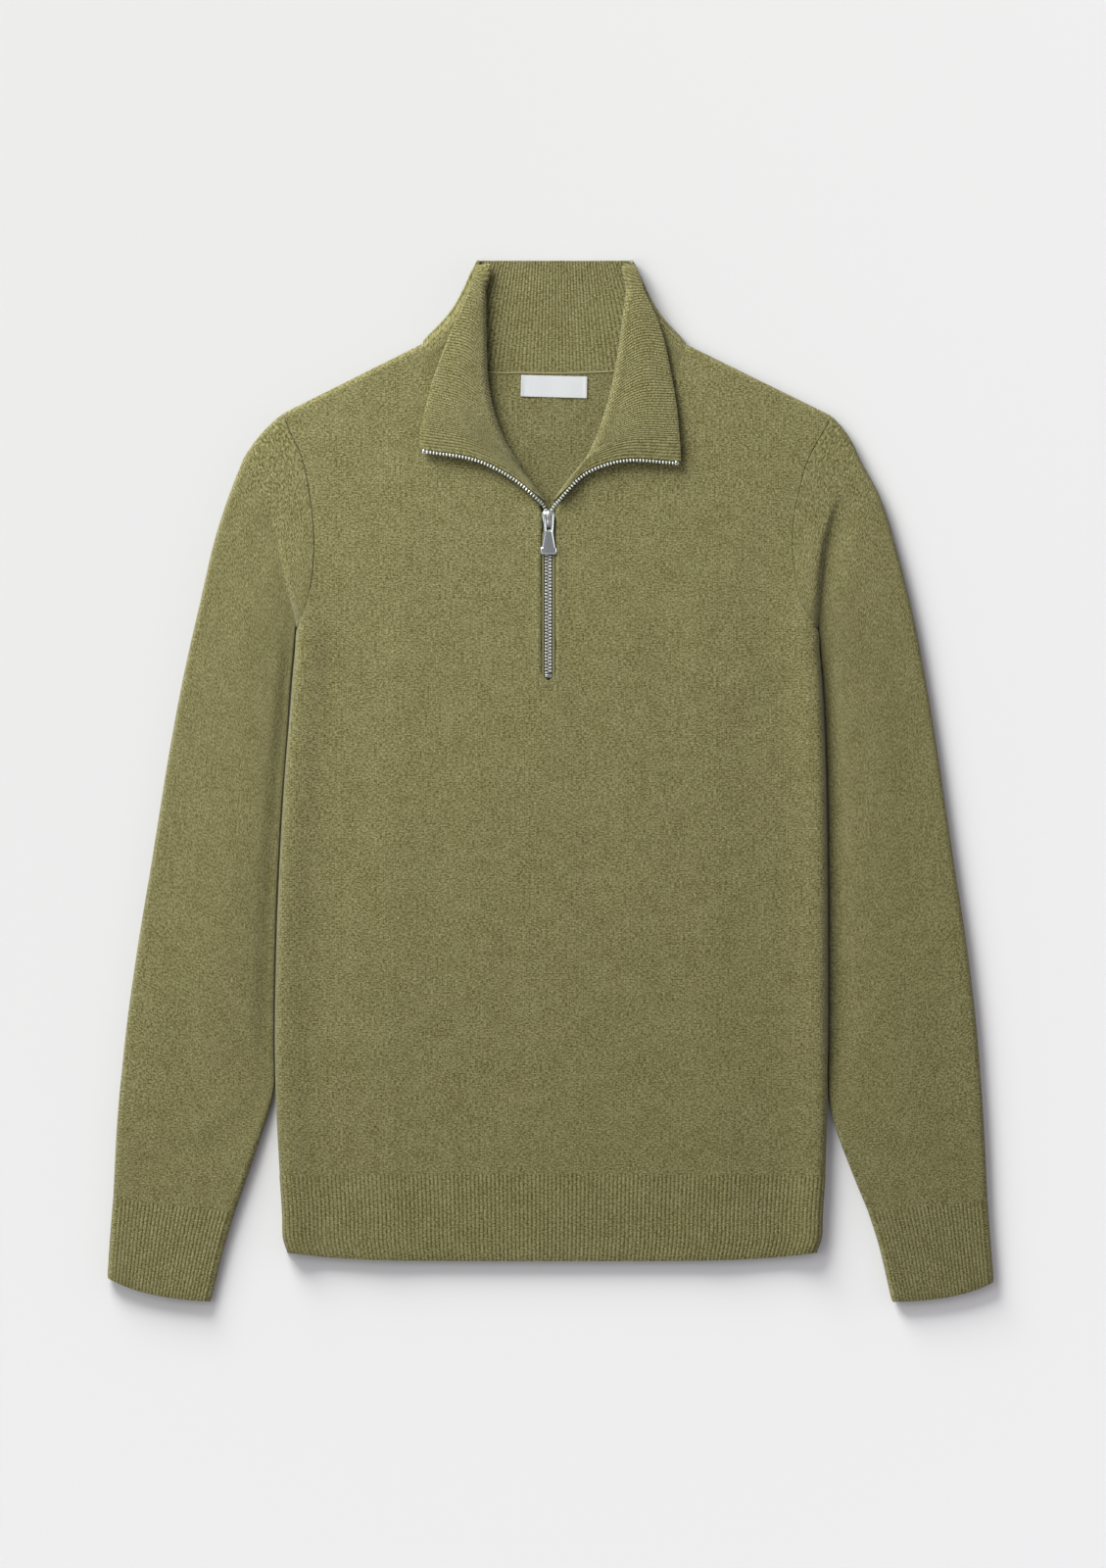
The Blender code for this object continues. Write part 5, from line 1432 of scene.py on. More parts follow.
    def zip_line(self, side: Side, room: float, raise_by: float = 0.0, stations: int = 200) -> np.ndarray:
        """Line beside or on the collar's zip edge, from near the slider outwards.

        Args:
            side: Half of the collar.
            room: Distance off the edge in mm, negative on the collar.
            raise_by: Height above the wall's middle in mm.
            stations: Number of points.

        Returns:
            Points in mm.
        """
        last = self.knots[-1]
        at = np.array([0.0, 3.0]) if side is Side.LEFT else np.array([last, last - 3.0])
        first = int(round(self.control_shares[4] * (self.row_shares - 1)))
        edge, inside = self.middle(at)[:, first:]
        steps = run_lengths(edge)
        where = np.linspace(0.0, steps[-1], stations)
        line = interp_rows(where, steps, edge)
        depth = interp_rows(where, steps, inside)
        spread = 4
        kernel = np.ones(2 * spread + 1) / (2 * spread + 1)
        ways = unit_rows(np.gradient(line[:, :2], axis=0))
        off = line[:, :2] - depth[:, :2]
        off = unit_rows(off - ways * (off * ways).sum(axis=1, keepdims=True))
        padded = np.pad(off, ((spread, spread), (0, 0)), mode="edge")
        off = unit_rows(np.stack([np.convolve(column, kernel, mode="valid") for column in padded.T], axis=1))
        line[:, :2] += off * room
        line[:, 2] += raise_by
        return line


# --------------------------------------------------------------------------
# Cloth pieces
# --------------------------------------------------------------------------


def spaced(line: np.ndarray, count: int) -> np.ndarray:
    """A number of evenly spaced points along a line, its ends included."""
    steps = run_lengths(line)
    return interp_rows(np.linspace(0.0, steps[-1], count), steps, line)


@dataclass(frozen=True)
class BackForm:
    """Outline of the flat back panel and of the hem's flat back."""

    body: BodyForm
    hem: HemForm
    collar: CollarForm
    seam_room: float = 0.1
    neck_ends: tuple = ((-95.6, 326.6), (101.4, 324.6))
    columns: int = 120
    rows: int = 90
    neck_stations: int = 60
    hem_levels: int = 14
    hem_rib_stations: int = 4

    def inset(self, row: float) -> float:
        """How far the back keeps in from the front's edge at a row of the body."""
        if row <= self.body.armpit_row:
            radius = self.body.side_radius
            return radius * (1.0 - math.cos(math.radians(under_angle(radius)))) + 0.2
        near_armpit = 1.4 * max(0.0, 1.0 - (row - self.body.armpit_row) / 2.0)
        return self.body.seam_gap + near_armpit + 0.5 * max(0.0, row - self.body.shoulder_row + 1.0)

    def side_line(self, side: Side) -> np.ndarray:
        """The back's side and armhole from the hem up, in mm."""
        rows = np.concatenate([np.linspace(0.0, self.body.armpit_row - 0.4, 40),
                               np.linspace(self.body.armpit_row, self.body.shoulder_row, 60)])
        line = []
        for row in rows:
            point = self.body.boundary(side, "out", row)
            line.append((point[0] - side.sign * self.inset(row), point[1]))
        line[0] = (line[0][0], line[0][1] + 0.5 * self.body.seam_gap)
        return np.array(line)

    def neckline(self) -> np.ndarray:
        """The back's upper edge from the left shoulder point to the right one, in mm."""
        first = len(LEFT_COLLAR) + 1
        knots = self.collar.knots
        at = np.linspace(knots[first], knots[len(knots) - first - 1], self.neck_stations)
        seam = self.collar.middle(at, fine=False)[:, 0, :2]
        neck = np.concatenate([self.neck_ends[:1], seam, self.neck_ends[1:]])
        neck[:, 1] -= self.seam_room
        ends = [self.side_line(side)[-1] for side in Side]
        return np.concatenate([[ends[0]], neck, [ends[1]]])

    def panel(self) -> np.ndarray:
        """Places over the back panel, row by row from the hem up, in mm."""
        left = spaced(self.side_line(Side.LEFT), self.rows)
        right = spaced(self.side_line(Side.RIGHT), self.rows)
        low = spaced(np.array([left[0], right[0]]), self.columns)
        high = spaced(self.neckline(), self.columns)
        up = np.linspace(0.0, 1.0, self.rows)[:, None, None]
        across = np.linspace(0.0, 1.0, self.columns)[None, :, None]
        corners = ((1 - up) * (1 - across) * left[0] + (1 - up) * across * right[0]
                   + up * (1 - across) * left[-1] + up * across * right[-1])
        return ((1 - up) * low[None] + up * high[None]
                + (1 - across) * left[:, None] + across * right[:, None] - corners)

    def hem_strip(self) -> np.ndarray:
        """Places over the back of the hem, level by level from the seam down, in mm."""
        inset = self.inset(0.0)
        lowest = self.hem.line(1.0, np.linspace(0.04, 0.96, 60), np.full(60, self.hem.wall))
        along = np.linspace(0.0, 1.0, self.hem.ribs() * self.hem_rib_stations + 1)
        rows = []
        for level in np.linspace(0.0, 1.0, self.hem_levels):
            left, right, *_ = self.hem.row(min(level, 0.9))
            x = left + inset + (right - left - 2.0 * inset) * along
            seam = HEM_ROWS[0].corner_y - self.body.seam_gap
            end_y = np.interp(x, lowest[:, 0], lowest[:, 1]) + 1.0
            rows.append(np.column_stack([x, seam + (end_y - seam) * level]))
        return np.array(rows)


@dataclass
class Cloth:
    """The sweater's knitted pieces, with the dips at their seams in mm."""

    body: BodyForm
    collar: CollarForm
    knits: "KnitSet"
    slit_dips: tuple[float, float] = (0.5, 0.12)
    armhole_dips: tuple[float, float] = (1.3, 0.5)
    sleeve_seam_shares: tuple[float, float] = (0.5, 0.18)
    hem_fade: tuple[float, float] = (2.0, 8.0)

    def __post_init__(self) -> None:
        """Set up the forms that the hem and the back share."""
        self.hem = HemForm(self.body)
        self.back = BackForm(self.body, self.hem, self.collar)

    def front_rows(self) -> np.ndarray:
        """Rows of the front, close together at the slit's foot and at the shoulder."""
        low, shoulder = self.body.slit_row, self.body.shoulder_row
        return np.unique(np.concatenate([
            np.linspace(0.0, low, 60), low + np.array([0.02, 0.04, 0.08, 0.12, 0.18, 0.25]),
            np.linspace(low + 0.35, shoulder - 0.4, 86), shoulder - 0.34 * np.linspace(1.0, 0.0, 12) ** 1.6,
            shoulder + np.linspace(0.35, 1.0, 3)]))

    @staticmethod
    def front_columns() -> np.ndarray:
        """Columns of the front, close together at the slit, the roll and the side."""
        return np.concatenate([np.linspace(0.0, 0.02, 5)[:-1], np.linspace(0.02, 1.0, 54)[:-1],
                               np.linspace(1.0, 2.0, 12)[:-1], [1.985, 1.993, 2.0]])

    def front_uvs(self, side: Side, outer: np.ndarray, rows: np.ndarray, columns: np.ndarray) -> np.ndarray:
        """Texture positions of half of the front: seen from above, and by distance round its rolls.

        Args:
            side: Half of the front.
            outer: Outer points in mm.
            rows: Row numbers.
            columns: Column positions.

        Returns:
            Texture positions in mm.
        """
        uvs = outer[:, :, :2].copy()
        last = int(np.flatnonzero(columns <= 1.0)[-1])
        steps = np.linalg.norm(np.diff(outer, axis=1), axis=2)
        uvs[:, last + 1:, 0] = uvs[:, last:last + 1, 0] + side.sign * np.cumsum(steps[:, last:], axis=1)
        shoulder = rows > self.body.shoulder_row
        uvs[shoulder, :, 1] += np.linspace(0.5, 1.5, int(shoulder.sum()))[:, None]
        return uvs

    def front_panel(self) -> bpy.types.Object:
        """Front panel: a sheet with a zip slit, rolled round at sides and shoulders."""
        rows, columns = self.front_rows(), self.front_columns()
        beside_slit = rows > self.body.slit_row + 0.1
        unturned = 1.0 - smoothstep(0.0, 0.4, rows - self.body.shoulder_row)
        beside_armhole = (rows > self.body.armpit_row) * unturned
        shell = Shell()
        for side in Side:
            outer, inner = (np.array([self.body.front_row(side, row, columns, depth) for row in rows])
                            for depth in (0.0, self.body.wall))
            for layer in (outer, inner):
                layer[0, :, 1] += 0.5 * self.body.sewn_gap
            uvs = self.front_uvs(side, outer, rows, columns)
            for place in (0, 1):
                outer[:, place, 2] -= beside_slit * self.slit_dips[place]
                outer[:, -1 - place, 2] -= beside_armhole * self.armhole_dips[place]
            shell.add_grid(outer, inner, uvs, flip=side is Side.LEFT)
        return shell.build("front_cloth", self.knits.plain)

    def back_panel(self) -> bpy.types.Object:
        """Back panel: a flat piece that the whole sweater rests on."""
        places = self.back.panel()
        outer = np.dstack([places, np.full(places.shape[:2], self.body.back_wall)])
        inner = np.dstack([places, np.zeros(places.shape[:2])])
        # Its knit is the inside finish, darkened by a painted shade.
        return sheet_of_cloth("back_cloth", outer, inner, places, self.knits.inside)

    def hem_back(self) -> bpy.types.Object:
        """Flat back of the hem, ribbed on its under side."""
        places = self.back.hem_strip()
        wave = rib_wave(np.linspace(0.0, self.hem.ribs(), places.shape[1]))
        from_side = np.minimum(places[:, :, 0] - places[:, :1, 0], places[:, -1:, 0] - places[:, :, 0])
        groove = (1.0 - wave)[None, :] * self.hem.rib_height * smoothstep(*self.hem_fade, from_side)
        outer = np.dstack([places, self.body.back_wall - 0.5 * groove])
        inner = np.dstack([places, groove])
        return sheet_of_cloth("hem_back_cloth", outer, inner, places, self.knits.hem)

    def hem_front(self) -> bpy.types.Object:
        """Ribbed front of the hem, rolled round at its sides."""
        return sheet_of_cloth("hem_front_cloth", *self.hem.grids(), self.knits.hem)

    def sleeve(self, side: Side) -> bpy.types.Object:
        """A sleeve: a flattened tube, sheared at the armhole seam."""
        form = SleeveForm(self.body, side)
        outer, uvs = form.grids(0.0)
        inner, _ = form.grids(self.body.wall)
        for row, share in enumerate(self.sleeve_seam_shares):
            outer[row] += (inner[row] - outer[row]) * share
        return sheet_of_cloth(f"sleeve_{side.word}_cloth", outer, inner, uvs, self.knits.plain, ring=True)

    def cuff(self, side: Side) -> bpy.types.Object:
        """A ribbed cuff below a sleeve."""
        grids = CuffForm(self.body, side).grids()
        return sheet_of_cloth(f"cuff_{side.word}_cloth", *grids, self.knits.hem, ring=True)

    def turned_collar(self) -> bpy.types.Object:
        """The ribbed collar, turned over in front."""
        return sheet_of_cloth("collar_cloth", *self.collar.grids(), self.knits.collar)


# --------------------------------------------------------------------------
# Zip
# --------------------------------------------------------------------------


UP_THE_BODY = (0.0, 1.0, 0.0)
Parts = tuple[np.ndarray, list[tuple]]


@dataclass(frozen=True)
class ZipForm:
    """Sizes of the zip in mm."""

    centre_x: float = -1.5
    pitch: float = 2.45
    tooth_length: float = 1.65
    tooth_width: float = 2.0
    tooth_far: float = 2.7
    tooth_bevel: float = 0.35
    head_length: float = 1.05
    head_width: float = 1.3
    head_height: float = 1.5
    head_bevel: float = 0.25
    head_aside: float = 0.3
    chain_low_y: float = 81.0
    chain_high_y: float = 190.0
    chain_bottom_z: float = 6.3
    chain_height: float = 2.0
    open_width: float = 2.2
    open_length: float = 1.05
    open_bevel: float = 0.35
    open_room: float = 0.8
    open_start: float = 0.9
    open_end_room: float = 1.0
    stop_low_y: float = 78.2
    stop_width: float = 5.0
    stop_length: float = 2.4
    stop_bevel: float = 0.45
    top_stop_radius: float = 1.7
    top_stop_bevel: float = 0.5
    top_stop_room: float = 1.2
    lead_from: tuple[float, float, float] = (2.1, 203.2, 8.2)
    lead_way: tuple[float, float, float] = (0.35, 0.95, 0.1)
    seam_gap: float = 0.3
    tape_width: float = 9.0
    tape_thick: float = 0.6
    tape_top_z: float = 6.0
    tape_low_y: float = 71.0
    tape_high_y: float = 203.0
    tape_mound: float = 2.8
    mound_rise: tuple[float, float] = (2.7, 3.4)
    mound_fall: tuple[float, float] = (4.7, 5.25)
    mound_end: tuple[float, float] = (184.0, 189.5)
    open_tape_room: float = 0.35
    open_tape_half: float = 0.35
    base_half: tuple = ((0.9, 203.9), (2.6, 203.5), (4.5, 201.8), (4.8, 200.6), (4.7, 198.9), (4.2, 196.0),
                        (3.7, 192.6), (3.3, 190.6))
    base_heights: tuple[float, float] = (6.4, 8.4)
    base_bevel: float = 0.35
    shield_half: tuple = ((0.5, 203.3), (2.3, 202.9), (3.9, 201.4), (4.2, 200.4), (4.1, 198.9), (3.6, 196.0),
                          (3.1, 192.9), (2.7, 191.4))
    shield_heights: tuple[float, float] = (8.3, 9.4)
    shield_facet: tuple[float, float] = (0.8, 0.7)
    bail_radius: float = 0.6
    bail_widening: float = 2.5
    bail: tuple = ((191.6, 9.2), (191.9, 10.6), (193.2, 11.5), (196.4, 12.1), (198.6, 13.1), (200.4, 13.4),
                   (202.2, 12.6), (202.9, 11.0), (202.9, 9.5))
    tab_half: tuple = ((2.2, 1.7), (3.2, 1.1), (3.75, 0.1), (3.75, -7.0), (3.5, -10.6), (3.05, -14.0),
                       (4.9, -24.4), (5.9, -25.2), (6.0, -27.9), (5.3, -29.6))
    tab_window: tuple = ((2.05, -0.5), (2.05, -7.0), (1.75, -12.0))
    tab_heights: tuple[float, float] = (-0.7, 0.1)
    tab_facet: tuple[float, float] = (0.68, 0.55)
    tab_axis: tuple[float, float] = (200.1, 11.8)
    tab_fall: float = 1.6
    tab_reach: float = 29.6
    facet_bevel: float = 0.08

    @property
    def chain_z(self) -> float:
        """Height of the closed chain's middle."""
        return self.chain_bottom_z + 0.5 * self.chain_height

    @property
    def open_middle(self) -> float:
        """Distance of the open teeth's middle from the collar's edge."""
        return self.open_room + 0.5 * self.open_width


def soften(obj: bpy.types.Object, width: float, segments: int, degrees: float | None = None) -> None:
    """Round the edges of the active object.

    Args:
        obj: The object.
        width: Width of the rounding in the object's units.
        segments: Steps of the rounding.
        degrees: Only edges sharper than this are rounded, or None for the usual limit.
    """
    bevel = obj.modifiers.new("soften", "BEVEL")
    bevel.width = width
    bevel.segments = segments
    if degrees is not None:
        bevel.angle_limit = math.radians(degrees)
    bpy.ops.object.modifier_apply(modifier=bevel.name)


def take_mesh(obj: bpy.types.Object, place: Sequence[float] = (0.0, 0.0, 0.0)) -> Parts:
    """Points and faces of an object at a place. The object itself is removed."""
    points = np.array([tuple(vertex.co) for vertex in obj.data.vertices]) + np.array(place)
    faces = [tuple(polygon.vertices) for polygon in obj.data.polygons]
    bpy.data.objects.remove(obj, do_unlink=True)
    return points, faces


def bevelled_block(size: Sequence[float], width: float, segments: int = 2) -> Parts:
    """Points and faces of a block with rounded edges, centred on the origin.

    Args:
        size: Lengths along X, Y and Z.
        width: Width of the rounding.
        segments: Steps of the rounding.

    Returns:
        Points and faces.
    """
    bpy.ops.object.select_all(action="DESELECT")
    bpy.ops.mesh.primitive_cube_add(size=1.0)
    cube = bpy.context.object
    cube.scale = size
    bpy.ops.object.transform_apply(location=False, rotation=False, scale=True)
    soften(cube, width, segments)
    return take_mesh(cube)


def axes_along(ways: np.ndarray) -> tuple[np.ndarray, np.ndarray, np.ndarray]:
    """Unit axes along each direction, level beside it and upwards from it."""
    ways = unit_rows(ways)
    asides = unit_rows(np.cross(ways, np.array([0.0, 0.0, 1.0])))
    return ways, asides, np.cross(asides, ways)


def place_copies(block: Parts, centres: np.ndarray, ways: np.ndarray) -> Parts:
    """Copies of a block set along a line.

    Args:
        block: Points and faces; its Y runs along the line and its Z stays up.
        centres: A place for each copy.
        ways: Direction of the line at each place.

    Returns:
        Points and faces of all the copies.
    """
    points, faces = block
    ways, asides, ups = axes_along(ways)
    placed = (centres[:, None] + points[None, :, :1] * asides[:, None] + points[None, :, 1:2] * ways[:, None]
              + points[None, :, 2:] * ups[:, None])
    firsts = [number * len(points) for number in range(len(centres))]
    return placed.reshape(-1, 3), [tuple(first + v for v in face) for first in firsts for face in faces]


def join_parts(parts: Iterable[Parts]) -> Parts:
    """Points and faces of several parts as one."""
    points, faces, count = [], [], 0
    for part, part_faces in parts:
        points.append(part)
        faces += [tuple(v + count for v in face) for face in part_faces]
        count += len(part)
    return np.concatenate(points), faces


def spaced_on(line: np.ndarray, pitch: float, start: float, stop: float) -> tuple[np.ndarray, np.ndarray]:
    """Places at a steady pitch along a line.

    Args:
        line: The line's points in mm.
        pitch: Distance between places in mm.
        start: Distance of the first place from the line's start.
        stop: Room left at the line's end.

    Returns:
        Places and directions.
    """
    steps = run_lengths(line)
    where = np.arange(start, steps[-1] - stop, pitch)
    ahead, behind = (interp_rows(where + step, steps, line) for step in (0.6, -0.6))
    return interp_rows(where, steps, line), ahead - behind


def tube_along(line: np.ndarray, radius: float, sides: int = 8) -> Parts:
    """A closed round cord along a line.

    Args:
        line: The line's points in mm.
        radius: The cord's radius in mm.
        sides: Number of faces round it.

    Returns:
        Points and faces.
    """
    _, asides, ups = axes_along(np.gradient(line, axis=0))
    turns = np.linspace(0.0, 2.0 * math.pi, sides + 1)[:-1][None, :, None]
    ring = (np.cos(turns) * asides[:, None] + np.sin(turns) * ups[:, None]) * radius
    points = (line[:, None] + ring).reshape(-1, 3)
    faces = grid_quads(len(line), sides, ring=True)
    faces += [tuple(reversed(range(sides))), tuple(range(len(points) - sides, len(points)))]
    return points, faces


@dataclass(frozen=True)
class Zip:
    """The zip: tapes, teeth, stops, slider and pull tab."""

    form: ZipForm
    collar: CollarForm
    finishes: "ZipFinishes"

    def closed_teeth(self) -> bpy.types.Object:
        """Two rows of interlocked teeth below the slider."""
        form = self.form
        body = bevelled_block((form.tooth_width, form.tooth_length, form.chain_height), form.tooth_bevel)
        head = bevelled_block((form.head_width, form.head_length, form.head_height), form.head_bevel)
        parts = []
        for side in Side:
            start = form.chain_low_y + 0.5 * form.tooth_length + side.pick(0.0, 0.5 * form.pitch)
            along = np.arange(start, form.chain_high_y - 0.5 * form.tooth_length, form.pitch)
            for block, aside in ((body, form.tooth_far - 0.5 * form.tooth_width), (head, form.head_aside)):
                x = form.centre_x + side.sign * aside
                centres = np.column_stack([np.full(len(along), x), along, np.full(len(along), form.chain_z)])
                parts.append(place_copies(block, centres, np.tile(UP_THE_BODY, (len(along), 1))))
        return new_piece("closed_teeth", *join_parts(parts), None, self.finishes.chain, 40.0)

    def teeth_line(self, side: Side) -> np.ndarray:
        """Line of the open teeth, from the slider's shoulder to the collar's corner, in mm."""
        form = self.form
        line = self.collar.zip_line(side, form.open_middle)
        mirror = np.array([side.sign, 1.0, 1.0])
        start = np.array([form.centre_x, 0.0, 0.0]) + mirror * form.lead_from
        gap = np.linalg.norm(line[0] - start)
        share = np.linspace(0.0, 1.0, 24)[:-1, None]
        away = unit_rows(line[4] - line[0]) * gap
        lead = (start * (1.0 - share) ** 2 * (1.0 + 2.0 * share) + line[0] * share ** 2 * (3.0 - 2.0 * share)
                + mirror * form.lead_way * gap * share * (1.0 - share) ** 2
                - away * share ** 2 * (1.0 - share))
        return np.concatenate([lead, line])

    def open_teeth(self, side: Side) -> bpy.types.Object:
        """A row of open teeth beside the collar's edge."""
        form = self.form
        block = bevelled_block((form.open_width, form.open_length, form.chain_height), form.open_bevel)
        room = 2.0 * form.top_stop_radius + form.seam_gap + form.open_end_room
        teeth = place_copies(block, *spaced_on(self.teeth_line(side), form.pitch, form.open_start, room))
        return new_piece(f"open_teeth_{side.word}", *teeth, None, self.finishes.teeth, 40.0)

    def open_tape(self, side: Side) -> bpy.types.Object:
        """Edge of the tape that the open teeth grip, seen between them and the collar."""
        form = self.form
        beside = self.collar.zip_line(side, form.open_tape_room)
        beyond = self.collar.zip_line(side, form.open_middle)
        rise = np.array([0.0, 0.0, form.open_tape_half])
        middle = np.stack([beside, 0.5 * (beside + beyond), beyond], axis=1)[6:-8]
        uvs = uv_grid(run_lengths(middle[:, 1])[:, None], np.arange(3.0))
        return sheet_of_cloth(f"open_tape_{side.word}", middle + rise, middle - rise, uvs, self.finishes.tape)

    def top_stop(self, side: Side) -> bpy.types.Object:
        """Round stop at the end of a row of open teeth."""
        form = self.form
        line = self.collar.zip_line(side, form.open_middle)
        steps = run_lengths(line)
        centre = interp_rows([steps[-1] - form.top_stop_radius - form.top_stop_room], steps, line)[0]
        bpy.ops.object.select_all(action="DESELECT")
        bpy.ops.mesh.primitive_cylinder_add(vertices=32, radius=form.top_stop_radius, depth=form.chain_height)
        stop = bpy.context.object
        soften(stop, form.top_stop_bevel, 3)
        parts = take_mesh(stop, centre)
        return new_piece(f"top_stop_{side.word}", *parts, None, self.finishes.nickel, 40.0)

    def bottom_stop(self) -> bpy.types.Object:
        """Bar across the bottom of the closed teeth."""
        form = self.form
        block = bevelled_block((form.stop_width, form.stop_length, form.chain_height), form.stop_bevel, 3)
        centre = np.array([[form.centre_x, form.stop_low_y + 0.5 * form.stop_length, form.chain_z]])
        stop = place_copies(block, centre, np.array([UP_THE_BODY]))
        return new_piece("bottom_stop", *stop, None, self.finishes.nickel, 40.0)

    def tape(self, side: Side) -> bpy.types.Object:
        """Half of the woven tape in the slit."""
        form = self.form
        near = form.centre_x + side.sign * 0.5 * form.seam_gap
        far = form.centre_x + side.sign * form.tape_width
        across = np.linspace(near, far, 40)
        along = np.linspace(form.tape_low_y, form.tape_high_y, 60)
        places = np.stack(np.meshgrid(across, along), axis=2)
        aside = np.abs(places[:, :, 0] - form.centre_x)
        mound = form.tape_mound * window(form.mound_rise, form.mound_fall, aside)
        mound *= 1.0 - smoothstep(*form.mound_end, places[:, :, 1])
        outer = np.dstack([places, form.tape_top_z + mound])
        inner = outer - np.array([0.0, 0.0, form.tape_thick])
        return sheet_of_cloth(f"tape_{side.word}", outer, inner, places, self.finishes.tape)

    def extruded(self, name: str, half: Sequence, heights: Sequence[float], bevel: float,
                 hole: Sequence | None = None) -> bpy.types.Object:
        """A plate with rounded edges, with or without a hole.

        Args:
            name: Name of the object.
            half: Corners of its right half in mm, from the zip's middle.
            heights: Heights of its under and upper side in mm.
            bevel: Width of the edges' rounding in mm, or 0.
            hole: Corners of the hole's right half, or None.

        Returns:
            The new object.
        """
        mesh = bmesh.new()
        loops = []
        low, high = heights
        for loop in [half] + ([hole] if hole is not None else []):
            vertices = [mesh.verts.new((x * MM, y * MM, low * MM)) for x, y in self.mirrored(loop)[::-1]]
            loops += [mesh.edges.new((a, b)) for a, b in zip(vertices, vertices[1:] + vertices[:1])]
        bmesh.ops.triangle_fill(mesh, use_beauty=True, edges=loops)
        bmesh.ops.dissolve_limit(mesh, angle_limit=0.01, verts=mesh.verts[:], edges=mesh.edges[:])
        raised = bmesh.ops.extrude_face_region(mesh, geom=mesh.faces[:])
        moved = [item for item in raised["geom"] if isinstance(item, bmesh.types.BMVert)]
        bmesh.ops.translate(mesh, verts=moved, vec=(0.0, 0.0, (high - low) * MM))
        bmesh.ops.recalc_face_normals(mesh, faces=mesh.faces[:])
        data = bpy.data.meshes.new(name)
        mesh.to_mesh(data)
        mesh.free()
        data.materials.append(self.finishes.nickel)
        plate = bpy.data.objects.new(name, data)
        bpy.context.scene.collection.objects.link(plate)
        bpy.ops.object.select_all(action="DESELECT")
        bpy.context.view_layer.objects.active = plate
        plate.select_set(True)
        if bevel:
            soften(plate, bevel * MM, 3, 25.0)
        data.shade_smooth()
        data.set_sharp_from_angle(angle=math.radians(35.0))
        LOG.info("%s: %d faces", name, len(data.polygons))
        return plate

    def faceted(self, name: str, half: Sequence, heights: Sequence[float], facet: Sequence[float],
                hole: Sequence | None = None) -> bpy.types.Object:
        """A plate whose upper edges are cut to sloping facets.

        Args:
            name: Name of the object.
            half: Corners of its right half in mm, from the zip's middle.
            heights: Heights of its under side and of the facets' outer edge in mm.
            facet: Width and rise of the facets in mm.
            hole: Corners of the hole's right half, or None.

        Returns:
            The new object.
        """
        plate = self.extruded(name, half, heights, 0.0, hole)
        mesh = bmesh.new()
        mesh.from_mesh(plate.data)
        top = [face for face in mesh.faces if face.normal.z > 0.9]
        width, rise = facet
        bmesh.ops.inset_region(mesh, faces=top, thickness=width * MM, depth=rise * MM, use_even_offset=True)
        mesh.to_mesh(plate.data)
        mesh.free()
        soften(plate, self.form.facet_bevel * MM, 2, 18.0)
        plate.data.shade_smooth()
        plate.data.set_sharp_from_angle(angle=math.radians(14.0))
        return plate

    def mirrored(self, half: Sequence) -> list[tuple]:
        """Closed outline about the zip's middle from its right half."""
        middle = self.form.centre_x
        return [(middle + x, y) for x, y in half] + [(middle - x, y) for x, y in reversed(half)]

    def slider(self) -> list[bpy.types.Object]:
        """Slider body and the bail that holds the pull tab."""
        form = self.form
        base = self.extruded("slider_base", form.base_half, form.base_heights, form.base_bevel)
        top = self.faceted("slider_top", form.shield_half, form.shield_heights, form.shield_facet)
        loop = np.array([(form.centre_x, y, z) for y, z in form.bail])
        steps = run_lengths(loop)
        line = smooth(loop, steps, np.linspace(0.0, steps[-1], 33))
        points, faces = tube_along(line, form.bail_radius, 12)
        points[:, 0] = form.centre_x + (points[:, 0] - form.centre_x) * form.bail_widening
        bail = new_piece("slider_bail", points, faces, None, self.finishes.chain, 50.0)
        return [base, top, bail]

    def pull_tab(self) -> bpy.types.Object:
        """Pull tab: a waisted plate with a window, rounded at its edges."""
        form = self.form
        tab = self.faceted("pull_tab_plate", form.tab_half, form.tab_heights, form.tab_facet, form.tab_window)
        turn = Matrix.Rotation(math.atan2(form.tab_fall, form.tab_reach), 4, "X")
        axis_y, axis_z = form.tab_axis
        tab.data.transform(Matrix.Translation((0.0, axis_y * MM, axis_z * MM)) @ turn)
        return tab


# --------------------------------------------------------------------------
# Sewing and label
# --------------------------------------------------------------------------


